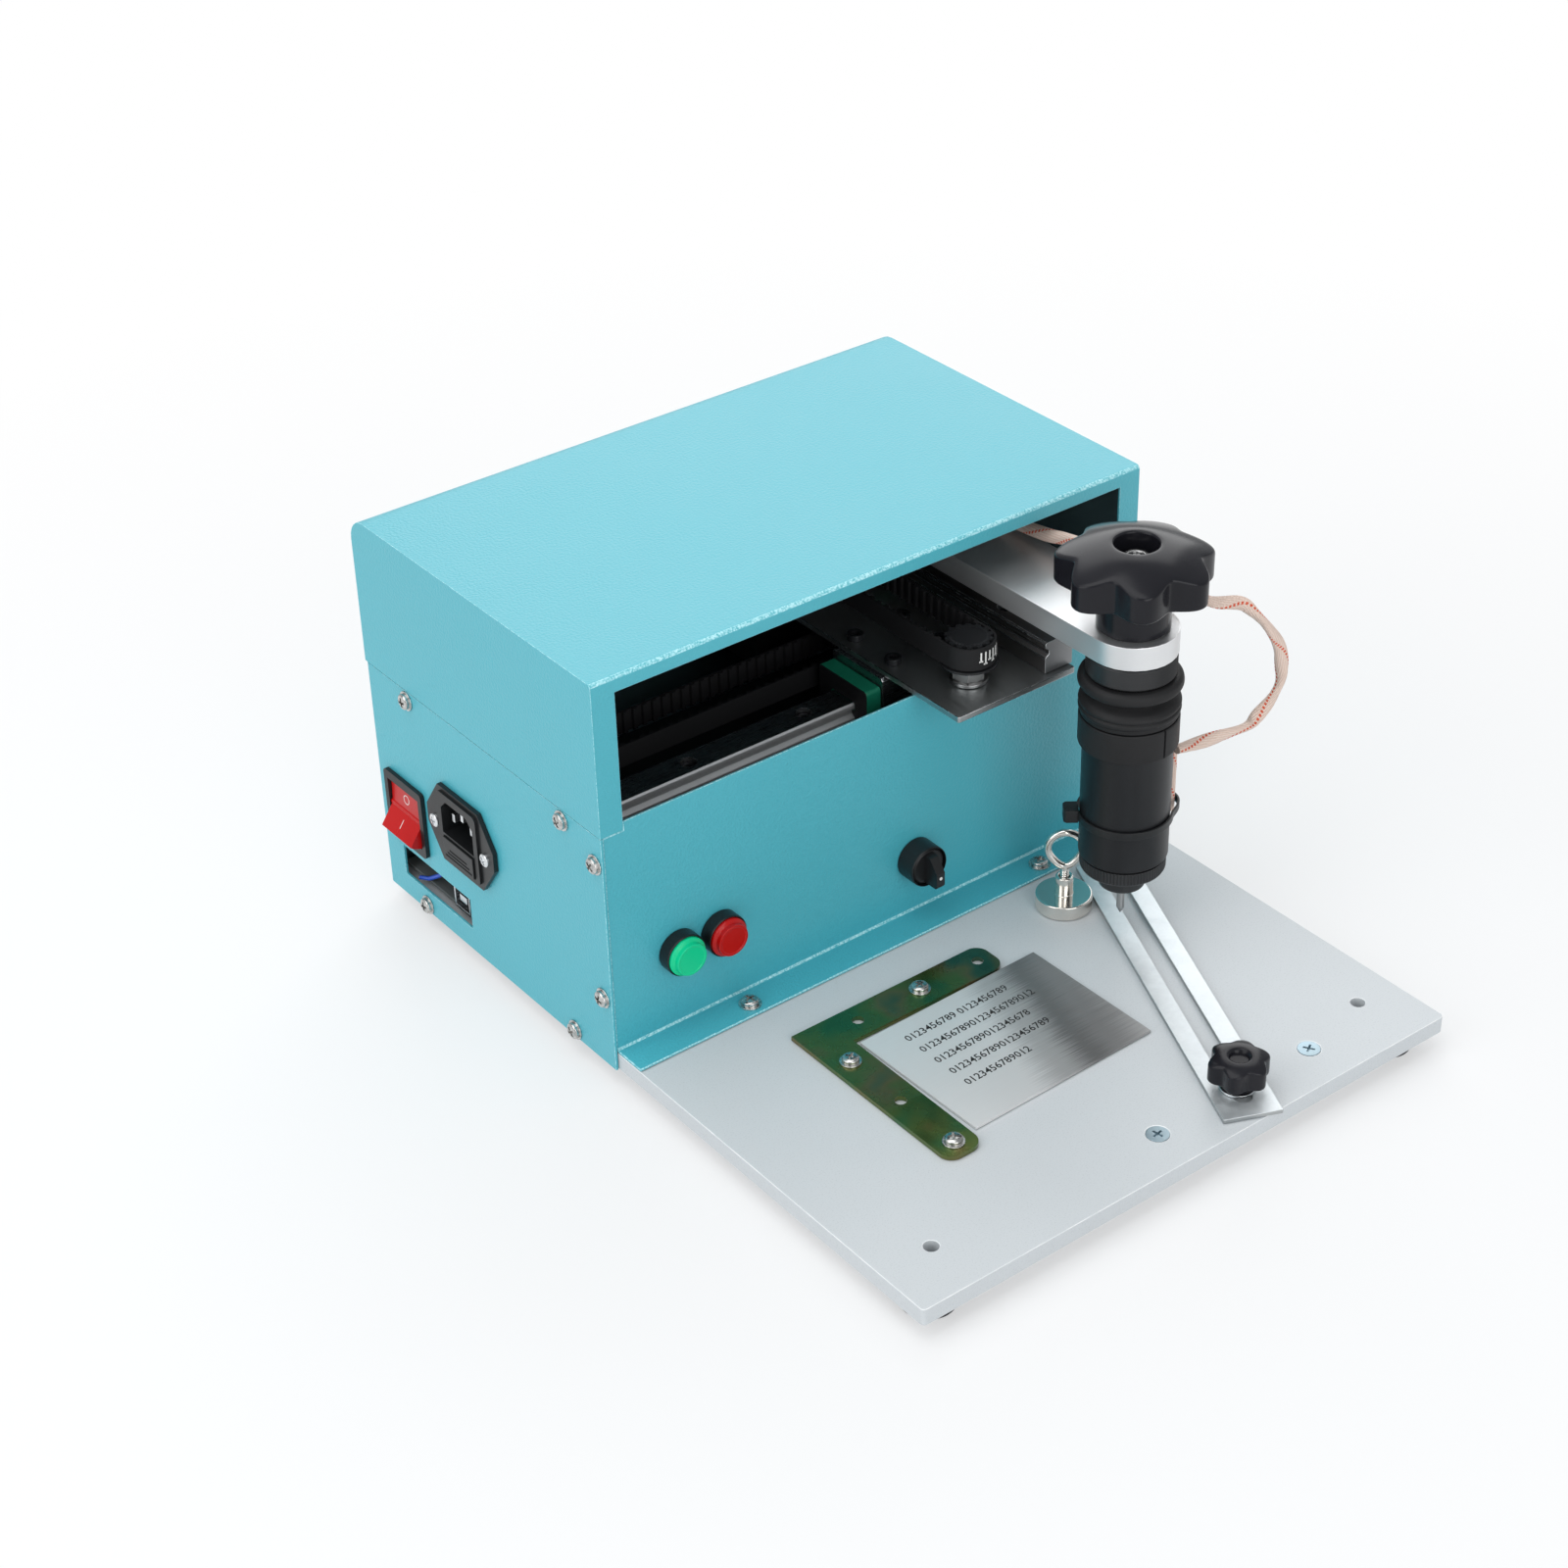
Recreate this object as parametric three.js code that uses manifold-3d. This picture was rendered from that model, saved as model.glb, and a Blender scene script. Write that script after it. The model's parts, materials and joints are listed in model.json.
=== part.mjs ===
// Tabletop nameplate marking machine: a steel base plate, a sheet-metal housing at the back, a belt-driven
// X-Y gantry on profile rails, and a marking head on an arm that reaches over the bed.
// Millimetres, +Z up. The machine is laid out from the left front corner of the base plate's top face:
// X runs to the right, Y to the back. The last lines move it so that the origin is under its middle.
import * as THREE from 'three';
import { mergeVertices } from 'three/addons/utils/BufferGeometryUtils.js';
import Module from 'manifold-3d';

const manifold = await Module();
manifold.setup();

// Fits
const seatGap = 0.3;
const runGap = 0.3;
const cutOverrun = 1;

// Base plate and its holes
const baseWidth = 280;
const baseDepth = 372.5;
const housingDepth = 176.5;
const housingFrontY = baseDepth - housingDepth;
const baseThick = 8;
const baseCornerRadius = 2;
const openHoleRadius = 3.25;
const openHoleLeftX = 25;
const openHoleLeftY = 25.5;
const openHoleRightInset = 21;
const openHoleRightX = baseWidth - openHoleRightInset;
const openHoleRightY = 29;
const sinkHeadRadius = 5.2;
const sinkHoleRadius = 2.4;
const sinkDepth = 2.8;
const sinkHoleLeftX = 136;
const sinkHoleLeftY = 19.5;
const sinkHoleRightX = 221;
const sinkHoleRightY = 20;

// The arm's middle line, which the gantry is laid out from
const armRightInset = 61.9;
const armCentreX = baseWidth - armRightInset;

// Rubber feet
const footRadius = 12.5;
const footHeight = 8;
const footTaper = 1.2;
const footEdge = 0.8;
const footRecessRadius = 5;
const footRecessDepth = 4;
const footInset = 16.4;
const footFrontY = 16.8;
const footRearInset = 35.9;
const footRearY = baseDepth - footRearInset;

// Housing: a bent shell round three sides, a front panel between its walls and a cover on top
const sheet = 1.2;
const partingZ = 106.4;
const housingTopZ = 177;
const housingBendRadius = 2.5;
const coverRearRadius = 11;
const coverFrontRadius = 2;
const windowSideStrip = 11;
const windowTopStrip = 7;
const windowTopZ = housingTopZ - windowTopStrip;
const coverTabLength = 18;
const coverTabDrop = 10;
const coverTabRise = 8;
const coverTabFrontBehind = 18.5;
const coverTabFrontY = housingFrontY + coverTabFrontBehind;
const coverTabRearBehind = 136;
const coverTabRearY = housingFrontY + coverTabRearBehind;

// Front panel
const panelSetback = 0.5;
const panelTopZ = 110.3;
const panelFlange = 16.5;
const panelBendRadius = 2.4;

// Port opening low in the left wall
const portFrontBehind = 107.8;
const portFrontY = housingFrontY + portFrontBehind;
const portRearBehind = 162.5;
const portRearY = housingFrontY + portRearBehind;
const portBottomZ = 3.5;
const portTopZ = 18.9;

// Rocker switch in the left wall
const rockerCentreBehind = 153.8;
const rockerCentreY = housingFrontY + rockerCentreBehind;
const rockerCentreZ = 40.7;
const bezelWidth = 30.5;
const bezelHeight = 33.5;
const bezelRim = 2.2;
const bezelCorner = 2;
const bezelBodyWidth = 28.1;
const bezelBodyHeight = 30.5;
const bezelBodyDepth = 17;
const rockerRadius = 12.3;
const rockerWidth = 24.2;
const rockerOutReach = 7.6;
const rockerInReach = 0.4;
const rockerValley = 0.9;
const rockerBackDepth = 8.6;
const rockerPinRadius = 1.6;
const rockerPinLength = 1.2;

// Mains inlet with a fuse drawer in the left wall
const inletCentreBehind = 106.6;
const inletCentreY = housingFrontY + inletCentreBehind;
const inletCentreZ = 53.2;
const inletHalfWidth = 26;
const inletHalfHeight = 19.3;
const inletTopHalfWidth = 15.6;
const inletEarHalfHeight = 4.5;
const inletFlange = 2.4;
const inletBoss = 3.5;
const inletBossHalfWidth = 15.3;
const inletBossHalfHeight = 17.4;
const inletBossCorner = 3;
const inletBodyHalfWidth = 14;
const inletBodyHalfHeight = 16.4;
const inletBodyDepth = 24;
const socketHalfWidth = 12.2;
const socketHeight = 16.8;
const socketBottom = -3;
const socketCornerCut = 4.2;
const socketDepth = 16;
const contactFloor = 2;
const contactLength = 13;
const contactHalfWidth = 2;
const contactHalfThick = 1;
const contactSpread = 7;
const contactEarthRise = 3.4;
const fuseHalfWidth = 11.6;
const fuseHeight = 10.4;
const fuseBottom = -15;
const fuseDepth = 19;
const fuseFaceProud = 0.8;
const fuseRidgeCount = 3;
const fuseRidge = 0.9;
const fuseRidgeInset = 1.3;

// Push buttons and selector in the front panel, on the same round body
const buttonBezelRadius = 9.6;
const buttonBezelHeight = 6.5;
const buttonBarrelRadius = 7.8;
const buttonBarrelDepth = 24;
const buttonBezelWall = 0.5;
const buttonWellFloor = 0.9;
const buttonStemRadius = 5;
const buttonStemWell = 15;
const buttonTravel = 2.5;
const buttonChamfer = 0.5;
const lensSkirtTop = 7.4;
const lensFaceRadius = 7.3;
const lensFaceTop = 10.3;
const lensEdge = 0.4;
const lensShoulder = 0.8;
const startButtonX = 32.5;
const stopButtonX = 53.5;
const buttonZ = 38.1;
const selectorX = 157.7;
const selectorZ = 28.9;
const selectorBezelHeight = 10.3;
const selectorWellFloor = 4;
const selectorDiscTop = 9.8;
const selectorDiscChamfer = 1.2;
const selectorFinTop = 18;
const selectorFinLength = 15.4;
const selectorFinWidth = 4.6;
const selectorFinCorner = 1.5;

// Boards inside the housing
const boardLeft = 3;
const boardRight = 95;
const boardFrontBehind = 96;
const boardFrontY = housingFrontY + boardFrontBehind;
const boardRearBehind = 170;
const boardRearY = housingFrontY + boardRearBehind;
const boardThick = 1.6;
const boardStandoff = 3;
const standoffRadius = 3;
const standoffInset = 5;
const chipHeight = 4;
const chipSide = 14;
const chipPitch = 20;
const usbCentreBehind = 120.5;
const usbCentreY = housingFrontY + usbCentreBehind;
const usbWidth = 12;
const usbHeight = 11;
const usbDepth = 16;
const usbWall = 0.6;
const usbCavityDepth = 10;
const usbTongueHeight = 3.4;
const usbTongueWidth = 5.6;
const supplyBoardGap = 17;
const supplyLeft = boardRight + supplyBoardGap;
const supplyRightInset = 18;
const supplyRight = baseWidth - supplyRightInset;
const supplyFrontBehind = 104;
const supplyFrontY = housingFrontY + supplyFrontBehind;
const supplyRearBehind = 166;
const supplyRearY = housingFrontY + supplyRearBehind;
const supplyHeight = 38;

// Bridge that carries the X rail, its motor and its idler
const bridgeTopZ = 84;
const bridgeThick = 3;
const bridgeSideGap = 3;
const bridgeFrontBehind = 18;
const bridgeFrontY = housingFrontY + bridgeFrontBehind;
const bridgeRearBehind = 88;
const bridgeRearY = housingFrontY + bridgeRearBehind;
const bridgeFoot = 20;

// Profile rails and blocks, the same section on both axes
const railWidth = 15;
const railHeight = 15;
const railWaist = 11;
const railHeadLow = 12.4;
const railGrooveTop = 11.2;
const railGrooveLow = 9.2;
const railBaseHigh = 7.8;
const railCorner = 0.8;
const railHolePitch = 60;
const railHoleRadius = 3.75;
const railHoleDepth = 5.3;
const blockWidth = 34;
const blockClear = 4.3;
const blockHeight = 28;
const blockLength = 61.4;
const blockEdge = 1.2;
const capLength = 8;
const capDrop = 4;
const capWidth = 32.7;

// X axis
const xRailBehind = 33.7;
const xRailY = housingFrontY + xRailBehind;
const xRailLeft = 6;
const xRailRightInset = 6;
const xRailRight = baseWidth - xRailRightInset;
const xRailFirstHole = 65;
const xBlockCentreOffset = 41.6;
const xBlockCentreX = armCentreX - xBlockCentreOffset;

// Toothed belts and pulleys, the same on both axes
const beltPitch = 5;
const pulleyTeeth = 14;
const pulleyTipRadius = 10.2;
const pulleyRootRadius = 9;
const pulleyLandShare = 0.42;
const pulleyRootShare = 0.3;
const beltInnerRadius = 10.5;
const beltThick = 1;
const beltToothHeight = 1.2;
const beltToothRoot = 2.65;
const beltToothTip = 1.8;
const beltWidth = 10;
const beltSideGap = 0.5;
const beltClearTeeth = 1;
const flangeRadius = 12.5;
const flangeThick = 1;
const hubRadius = 8;
const shaftRadius = 2.5;
const idlerShaftRadius = 4;
const yBeltPulleySpan = 137.5;

// X drive
const xBeltBehind = 65.5;
const xBeltY = housingFrontY + xBeltBehind;
const xBeltZ = 94.2;
const xIdlerX = 25;
const xMotorInset = 30;
const xBeltPitches = Math.floor((baseWidth - xMotorInset - xIdlerX) / beltPitch);
const xBeltPulleySpan = xBeltPitches * beltPitch;

// Motors
const motorSide = 42;
const motorLength = 40;
const motorCorner = 4;
const motorBossRadius = 11;
const motorBossHeight = 2;
const motorBoreDepth = 14;

// Y plate on the X block, with the Y rail on it
const yPlateLeftOffset = 62.5;
const yPlateLeft = armCentreX - yPlateLeftOffset;
const yPlateRightOffset = 1.4;
const yPlateRight = armCentreX + yPlateRightOffset;
const yPlateFrontAhead = 30.5;
const yPlateFrontY = housingFrontY - yPlateFrontAhead;
const yPlateRearBehind = 154;
const yPlateRearY = housingFrontY + yPlateRearBehind;
const yPlateThick = 3;
const yPlateCorner = 1;
const yRailOffset = 5.1;
const yRailX = armCentreX - yRailOffset;
const yRailFrontAhead = 27.3;
const yRailFrontY = housingFrontY - yRailFrontAhead;
const yRailRearBehind = 150;
const yRailRearY = housingFrontY + yRailRearBehind;
const yRailFirstHole = 34;
const yBlockFrontBehind = 69;
const yBlockFrontY = housingFrontY + yBlockFrontBehind;
const xClampLeftOffset = 38.1;
const xClampLeft = armCentreX - xClampLeftOffset;
const clampLength = 14;
const clampJaw = 2.5;
const clampInnerJaw = 3.5;
const clampRoof = 4;
const clampUpright = 4;

// Y drive
const yBeltOffset = 39.7;
const yBeltX = armCentreX - yBeltOffset;
const yIdlerAhead = 9.8;
const yIdlerY = housingFrontY - yIdlerAhead;
const washerRadius = 8.3;
const washerThick = 1.6;
const nutFlats = 13;
const nutHeight = 6.2;
const nutCorners = 6;
const idlerBoreTop = 20;
const idlerSpacerRadius = 6.3;
const idlerSpacer = 0.9;
const idlerBoltDrop = 5;
const idlerHeadRadius = 6.5;
const idlerHeadHeight = 3;
const idlerHubRise = 0.7;
const yBeltZ = 125.7;
const yClampBehind = 107;
const yClampY = housingFrontY + yClampBehind;
const yClampLength = 12;

// Arm
const armWidth = 38.6;
const armThick = 10.8;
const armSeatThick = 8.6;
const armRearBehind = 131;
const armRearY = housingFrontY + armRearBehind;
const anchorRearInset = 27;
const anchorY = armRearY - anchorRearInset;
const anchorLength = 8;
const anchorWidth = 9;
const anchorInset = 5.5;
const anchorHeight = 8;

// Marking head, on the arm's round end
const headAhead = 65.4;
const headY = housingFrontY - headAhead;
const stemRadius = 12;
const ringRadius = 19;
const ringHeight = 9.9;
const ringChamfer = 0.6;
const bellowsHeight = 19.3;
const bellowsBore = 13.6;
const lipRadius = 22;
const lipHeight = 5.6;
const neckRadius = 16;
const neckDrop = 7.9;
const bulgeRadius = 21.4;
const bulgeDrop = 13.3;
const grooveDepth = 0.9;
const grooveHeight = 1;
const ridgeHeight = 2;
const lipEdge = 2;
const bellowsFold = 2;
const cuffRadius = 21.1;
const cuffHeight = 14;
const cuffWall = 1.7;
const cuffChamfer = 0.8;
const bodyBottomZ = 41.9;
const bodyEdge = 0.6;
const bodyStemRise = 24.3;
const screwBoreDepth = 43;
const spigotRadius = 14;
const spigotDrop = 5;
const endCapRadius = 18.5;
const endCapHeight = 7.9;
const endCapRim = 0.9;
const endCapNeckRadius = 17.2;
const endCapNeckHeight = 1;
const knurlCount = 28;
const knurlDepth = 0.5;
const nozzleRadius = 10.5;
const nozzleHeight = 9.4;
const nozzleTaper = 2;
const pinRadius = 1.7;
const pinTipZ = 8.5;
const pinTipHeight = 3.2;
const pinLength = 52;
const pinCollarRadius = 4;
const pinCollarHeight = 3;
const pinTravel = 2;
const pinChamberHeight = 10;

// Height knob and the screw that it turns
const knobRadius = 33;
const knobValleyRadius = 26.3;
const knobLobes = 7;
const knobLobeAngle = 233.1;
const knobLobeSteps = 6;
const lobeFullness = 0.85;
const knobHubRadius = 15.35;
const knobHubHeight = 17.9;
const knobRimHeight = 31;
const knobTopHeight = 37.7;
const knobEdge = 1.4;
const knobShoulderRadius = 26.3;
const knobShoulderHeight = 33.5;
const knobHoleRadius = 9.2;
const knobHoleDepth = 10;
const liftScrewRadius = 5.5;
const liftScrewRise = 32.1;
const liftScrewDrop = 37;
const liftScrewChamfer = 1;

// Cable tie and the lead to the head
const tieZ = 61.2;
const tieWidth = 3.6;
const tieThick = 1.2;
const tieHeadReach = 6.2;
const tieHeadWidth = 8;
const tieHeadHeight = 6.6;
const tieHeadAngle = 142.7;
const tailRadius = 2;
const tailAngle = -16;
const tailBottomDrop = 3;
const leadRadius = 2.2;
const leadSides = 8;
const leadSteps = 44;
// Route of the lead's middle line, from the anchor on the arm to the side of the head: X and Y from the
// head's axis, Z from the base plate
const leadRoute = [
  [13.4, 173, 155.3], [13.5, 159, 155.3], [13.9, 131, 155], [14.5, 99, 155.6], [14.5, 70, 158.8],
  [15.3, 53, 162.7], [18.7, 32, 164.6], [23.1, 13, 161.8], [28.7, 0, 157.2], [35.2, -9, 153.2],
  [45.5, -15, 151.5], [50.4, -18, 146.7], [57.5, -20, 138.1], [64.4, -21, 126.6], [66.5, -21, 115.6],
  [66.1, -21, 108.1], [62.4, -20, 100.6], [56.1, -19, 94.8], [51.4, -18, 91.1], [38, -16, 90.9],
  [28.6, -14, 90.5], [16.7, -11.8, 90.5],
];

// Corner bracket that locates the plates to be marked
const bracketThick = 2;
const bracketCornerX = 60.2;
const bracketCornerAhead = 38.2;
const bracketCornerY = housingFrontY - bracketCornerAhead;
const bracketArm = 18.2;
const bracketLength = 101;
const bracketEndRadius = 6;
const bracketHoleRadius = 2.7;
const bracketBackHoles = [28.2, 61.4, 93.2];
const bracketFrontHoles = [28.3, 60.4, 93.3];
const bracketHoleInset = 8.7;

// Blank nameplate
const blankLength = 96.2;
const blankWidth = 71.4;
const blankThick = 1.2;
const blankTurn = 1.2;
const blankInset = 2;

// Slotted strap and its clamping knob
const strapWidth = 25.4;
const strapThick = 2;
const strapTurn = 23.5;
const strapSlotWidth = 8;
const strapSlotFront = 10;
const strapSlotRear = 22;
const strapBlankGap = 7.57;
const strapStudY = 18.6;
const strapFrontReach = 18;
const strapRearGap = 9.59;
const strapWasherRadius = 7.5;
const strapWasherThick = 1;
const strapHubRadius = 7;
const strapHubHeight = 4;
const strapKnobRadius = 13;
const strapKnobValley = 10.4;
const strapKnobLobes = 6;
const strapKnobSteps = 6;
const strapKnobHeight = 10.5;
const strapKnobEdge = 1.2;
const strapStudRadius = 3;
const strapStudDrop = 6;
const strapKnobDimple = 4;
const strapKnobDimpleDepth = 2;

// Pot magnet with a screwed-in eye
const magnetStrapGap = 1.06;
const magnetAhead = 37.5;
const magnetY = housingFrontY - magnetAhead;
const magnetRadius = 12.5;
const magnetHeight = 6.8;
const magnetEdge = 0.6;
const magnetBossRadius = 3.9;
const magnetBossHeight = 9;
const magnetBossBore = 2.2;
const magnetBossBoreDepth = 7;
const eyeWireRadius = 1.65;
const eyeHalfWidth = 7.6;
const eyeHeight = 19;
const eyeShankRise = 5;
const eyeShankDrop = 5;
const eyeTurn = -37;
const eyeSteps = 22;
const eyeTaperPower = 4;
const eyeSides = 8;

// Faces round a full circle
const fineSides = 24;
const roundSides = 20;
const smallSides = 14;
const tinySides = 10;
const arcSteps = 3;
const holeSteps = 5;

const X = new THREE.Vector3(1, 0, 0);
const Y = new THREE.Vector3(0, 1, 0);
const Z = new THREE.Vector3(0, 0, 1);
const radians = THREE.MathUtils.degToRad;

// Places on the bed: the blank plate rests in the bracket, the strap passes its right front corner and ends
// short of the front panel's flange, and the magnet stands beside the strap
const blankX = bracketCornerX + bracketArm + blankInset;
const blankY = bracketCornerY - bracketArm - blankInset;
const blankSin = Math.sin(radians(blankTurn));
const blankCos = Math.cos(radians(blankTurn));
const blankFrontX = blankX + blankLength * blankCos + blankWidth * blankSin;
const blankFrontY = blankY + blankLength * blankSin - blankWidth * blankCos;
const strapSlope = Math.tan(radians(strapTurn));
const strapLean = Math.cos(radians(strapTurn));
const strapStudSide = (strapWidth / 2 + strapBlankGap) / strapLean;
const strapStudX = blankFrontX + strapStudSide - (blankFrontY - strapStudY) * strapSlope;
const strapRearY = housingFrontY - panelFlange - strapRearGap;
const strapLength = (strapRearY - strapStudY) / strapLean + strapFrontReach;
const magnetSide = (strapWidth / 2 + magnetRadius + magnetStrapGap) / strapLean;
const magnetX = strapStudX + (magnetY - strapStudY) * strapSlope - magnetSide;

// Solids

function triangleIndex(geometry) {
  const source = geometry.index.array;
  const kept = [];
  for (let i = 0; i < source.length; i += 3) {
    const [a, b, c] = [source[i], source[i + 1], source[i + 2]];
    if (a !== b && b !== c && c !== a) kept.push(a, b, c);
  }
  return kept;
}

function signedVolume(points, triangles) {
  let total = 0;
  const [a, b, c] = [new THREE.Vector3(), new THREE.Vector3(), new THREE.Vector3()];
  for (let i = 0; i < triangles.length; i += 3) {
    a.fromArray(points, triangles[i] * 3);
    b.fromArray(points, triangles[i + 1] * 3);
    c.fromArray(points, triangles[i + 2] * 3);
    total += a.dot(b.cross(c));
  }
  return total;
}

// A closed geometry as a solid that can be joined and cut
function solid(geometry) {
  const bare = geometry.clone();
  for (const name of Object.keys(bare.attributes)) {
    if (name !== 'position') bare.deleteAttribute(name);
  }
  const merged = mergeVertices(bare);
  const points = merged.attributes.position.array;
  const triangles = triangleIndex(merged);
  if (signedVolume(points, triangles) < 0) triangles.reverse();
  return new manifold.Manifold(new manifold.Mesh({
    numProp: 3,
    vertProperties: new Float32Array(points),
    triVerts: new Uint32Array(triangles),
  }));
}

function joined(first, ...rest) {
  return rest.reduce((whole, next) => whole.add(next), first);
}

function cut(first, ...tools) {
  return tools.reduce((whole, tool) => whole.subtract(tool), first);
}

function block(x0, x1, y0, y1, z0, z1) {
  const geometry = new THREE.BoxGeometry(x1 - x0, y1 - y0, z1 - z0);
  return solid(geometry.translate((x0 + x1) / 2, (y0 + y1) / 2, (z0 + z1) / 2));
}

// A round bar along Z
function post(radius, z0, z1, x = 0, y = 0, sides = smallSides) {
  const geometry = new THREE.CylinderGeometry(radius, radius, z1 - z0, sides);
  return solid(geometry.rotateX(Math.PI / 2).translate(x, y, (z0 + z1) / 2));
}

// A round bar along X
function crossBar(radius, x0, x1, y, z, sides = smallSides) {
  const geometry = new THREE.CylinderGeometry(radius, radius, x1 - x0, sides);
  return solid(geometry.rotateZ(Math.PI / 2).translate((x0 + x1) / 2, y, z));
}

// A profile of [radius, height] points turned about Z
function turned(profile, sides = roundSides) {
  const points = profile.map(([radius, height]) => new THREE.Vector2(radius, height));
  return solid(new THREE.LatheGeometry(points, sides).rotateX(Math.PI / 2));
}

function extruded(shape, length, steps) {
  return new THREE.ExtrudeGeometry(shape, { depth: length, bevelEnabled: false, curveSegments: steps });
}

// A flat shape in X and Y, raised from z0 to z1
function slab(shape, z0, z1, steps = arcSteps) {
  return solid(extruded(shape, z1 - z0, steps).translate(0, 0, z0));
}

// A shape drawn in Y and Z, run along X
function runAlongX(shape, x0, x1, steps = arcSteps) {
  const turn = new THREE.Matrix4().makeBasis(Y, Z, X);
  return solid(extruded(shape, x1 - x0, steps).applyMatrix4(turn).translate(x0, 0, 0));
}

// A shape drawn in X and Z, run along Y
function runAlongY(shape, y0, y1, steps = arcSteps) {
  const turn = new THREE.Matrix4().makeBasis(X, Z, Y.clone().negate());
  return solid(extruded(shape, y1 - y0, steps).applyMatrix4(turn).translate(0, y1, 0));
}

function outline(points) {
  return new THREE.Shape(points.map(([x, y]) => new THREE.Vector2(x, y)));
}

function roundedBox(x0, x1, y0, y1, radius) {
  const shape = new THREE.Shape();
  shape.moveTo(x0 + radius, y0);
  shape.lineTo(x1 - radius, y0);
  shape.absarc(x1 - radius, y0 + radius, radius, -Math.PI / 2, 0, false);
  shape.lineTo(x1, y1 - radius);
  shape.absarc(x1 - radius, y1 - radius, radius, 0, Math.PI / 2, false);
  shape.lineTo(x0 + radius, y1);
  shape.absarc(x0 + radius, y1 - radius, radius, Math.PI / 2, Math.PI, false);
  shape.lineTo(x0, y0 + radius);
  shape.absarc(x0 + radius, y0 + radius, radius, Math.PI, Math.PI * 1.5, false);
  return shape;
}

function polar(radius, angle) {
  return [radius * Math.cos(angle), radius * Math.sin(angle)];
}

function ringPoints(radius, sides) {
  return Array.from({ length: sides }, (unused, i) => polar(radius, 2 * Math.PI * i / sides));
}

// A round bar that follows a curve
function rope(curve, radius, steps, sides) {
  const section = outline(ringPoints(radius, sides));
  return solid(new THREE.ExtrudeGeometry(section, { steps, bevelEnabled: false, extrudePath: curve }));
}

// The wavy outline of a lobed knob
function lobedOutline(tip, valley, lobes, stepsPerLobe, firstAngle) {
  const count = lobes * stepsPerLobe;
  return outline(Array.from({ length: count }, (unused, i) => {
    const angle = 2 * Math.PI * i / count;
    const rise = (1 + Math.cos(lobes * angle)) / 2;
    return polar(valley + (tip - valley) * rise ** lobeFullness, angle + firstAngle);
  }));
}

// Scene graph

const machine = new THREE.Group();

function groupAt(parent, x, y, z) {
  const group = new THREE.Group();
  group.position.set(x, y, z);
  parent.add(group);
  return group;
}

function look(color, roughness, metalness, opacity = 1) {
  return { color, roughness, metalness, opacity, transparent: opacity < 1 };
}

const looks = {
  turquoise: look(0x4fa9b8, 0.55, 0),
  paleGrey: look(0xc9cfd3, 0.5, 0),
  rubber: look(0x26282a, 0.85, 0),
  blackPlastic: look(0x1d1f21, 0.45, 0),
  glossBlack: look(0x2b2c30, 0.2, 0),
  red: look(0xb3221f, 0.35, 0, 0.9),
  green: look(0x1fb976, 0.35, 0, 0.9),
  capGreen: look(0x1c6b50, 0.45, 0),
  darkSteel: look(0x2f3235, 0.35, 0.9),
  brightSteel: look(0xb9bcbf, 0.3, 1),
  aluminium: look(0xc4c8ca, 0.4, 1),
  zinc: look(0xc3ccd2, 0.35, 1),
  chromate: look(0x4f6b4c, 0.35, 0.8),
  brass: look(0xc9a24b, 0.35, 1),
  board: look(0x1f5a3c, 0.5, 0),
  belt: look(0x17181a, 0.7, 0),
  sleeve: look(0xe3c6b4, 0.7, 0),
};

function add(parent, name, shape, finish) {
  const mesh = shape.getMesh();
  const geometry = new THREE.BufferGeometry();
  geometry.setAttribute('position', new THREE.BufferAttribute(mesh.vertProperties, 3));
  geometry.setIndex(new THREE.BufferAttribute(mesh.triVerts, 1));
  geometry.computeVertexNormals();
  const piece = new THREE.Mesh(geometry, new THREE.MeshStandardMaterial(finish));
  piece.name = name;
  parent.add(piece);
  return piece;
}

// Base plate and feet

const studHoleRadius = strapStudRadius + runGap;

function sinkHole(x, y) {
  const cone = turned([
    [0, -sinkDepth], [sinkHoleRadius, -sinkDepth], [sinkHeadRadius, 0],
    [sinkHeadRadius, cutOverrun], [0, cutOverrun],
  ], smallSides);
  return joined(cone, post(sinkHoleRadius, -baseThick - cutOverrun, 0)).translate([x, y, 0]);
}

function basePlate() {
  const plate = slab(roundedBox(0, baseWidth, 0, baseDepth, baseCornerRadius), -baseThick, 0);
  const through = (radius, x, y) => post(radius, -baseThick - cutOverrun, cutOverrun, x, y);
  return cut(
    plate,
    through(openHoleRadius, openHoleLeftX, openHoleLeftY),
    through(openHoleRadius, openHoleRightX, openHoleRightY),
    through(studHoleRadius, strapStudX, strapStudY),
    sinkHole(sinkHoleLeftX, sinkHoleLeftY),
    sinkHole(sinkHoleRightX, sinkHoleRightY),
  );
}

function foot() {
  return turned([
    [0, footRecessDepth], [footRecessRadius, footRecessDepth], [footRecessRadius, 0],
    [footRadius - footTaper - footEdge, 0], [footRadius - footTaper, footEdge],
    [footRadius, footHeight - seatGap], [0, footHeight - seatGap],
  ]);
}

add(machine, 'base_plate', basePlate(), looks.paleGrey);
const footPlaces = {
  foot_front_left: [footInset, footFrontY],
  foot_front_right: [baseWidth - footInset, footFrontY],
  foot_rear_left: [footInset, footRearY],
  foot_rear_right: [baseWidth - footInset, footRearY],
};
for (const [name, [x, y]] of Object.entries(footPlaces)) {
  add(groupAt(machine, x, y, -baseThick - footHeight), name, foot(), looks.rubber);
}

// Housing

const shellInnerLeft = -seatGap;
const shellInnerRight = baseWidth + seatGap;
const shellOuterLeft = shellInnerLeft - sheet;
const shellOuterRight = shellInnerRight + sheet;
const shellInnerRear = baseDepth + seatGap;
const shellOuterRear = shellInnerRear + sheet;
const panelFaceY = housingFrontY + panelSetback;
const panelBackY = panelFaceY + sheet;

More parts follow.
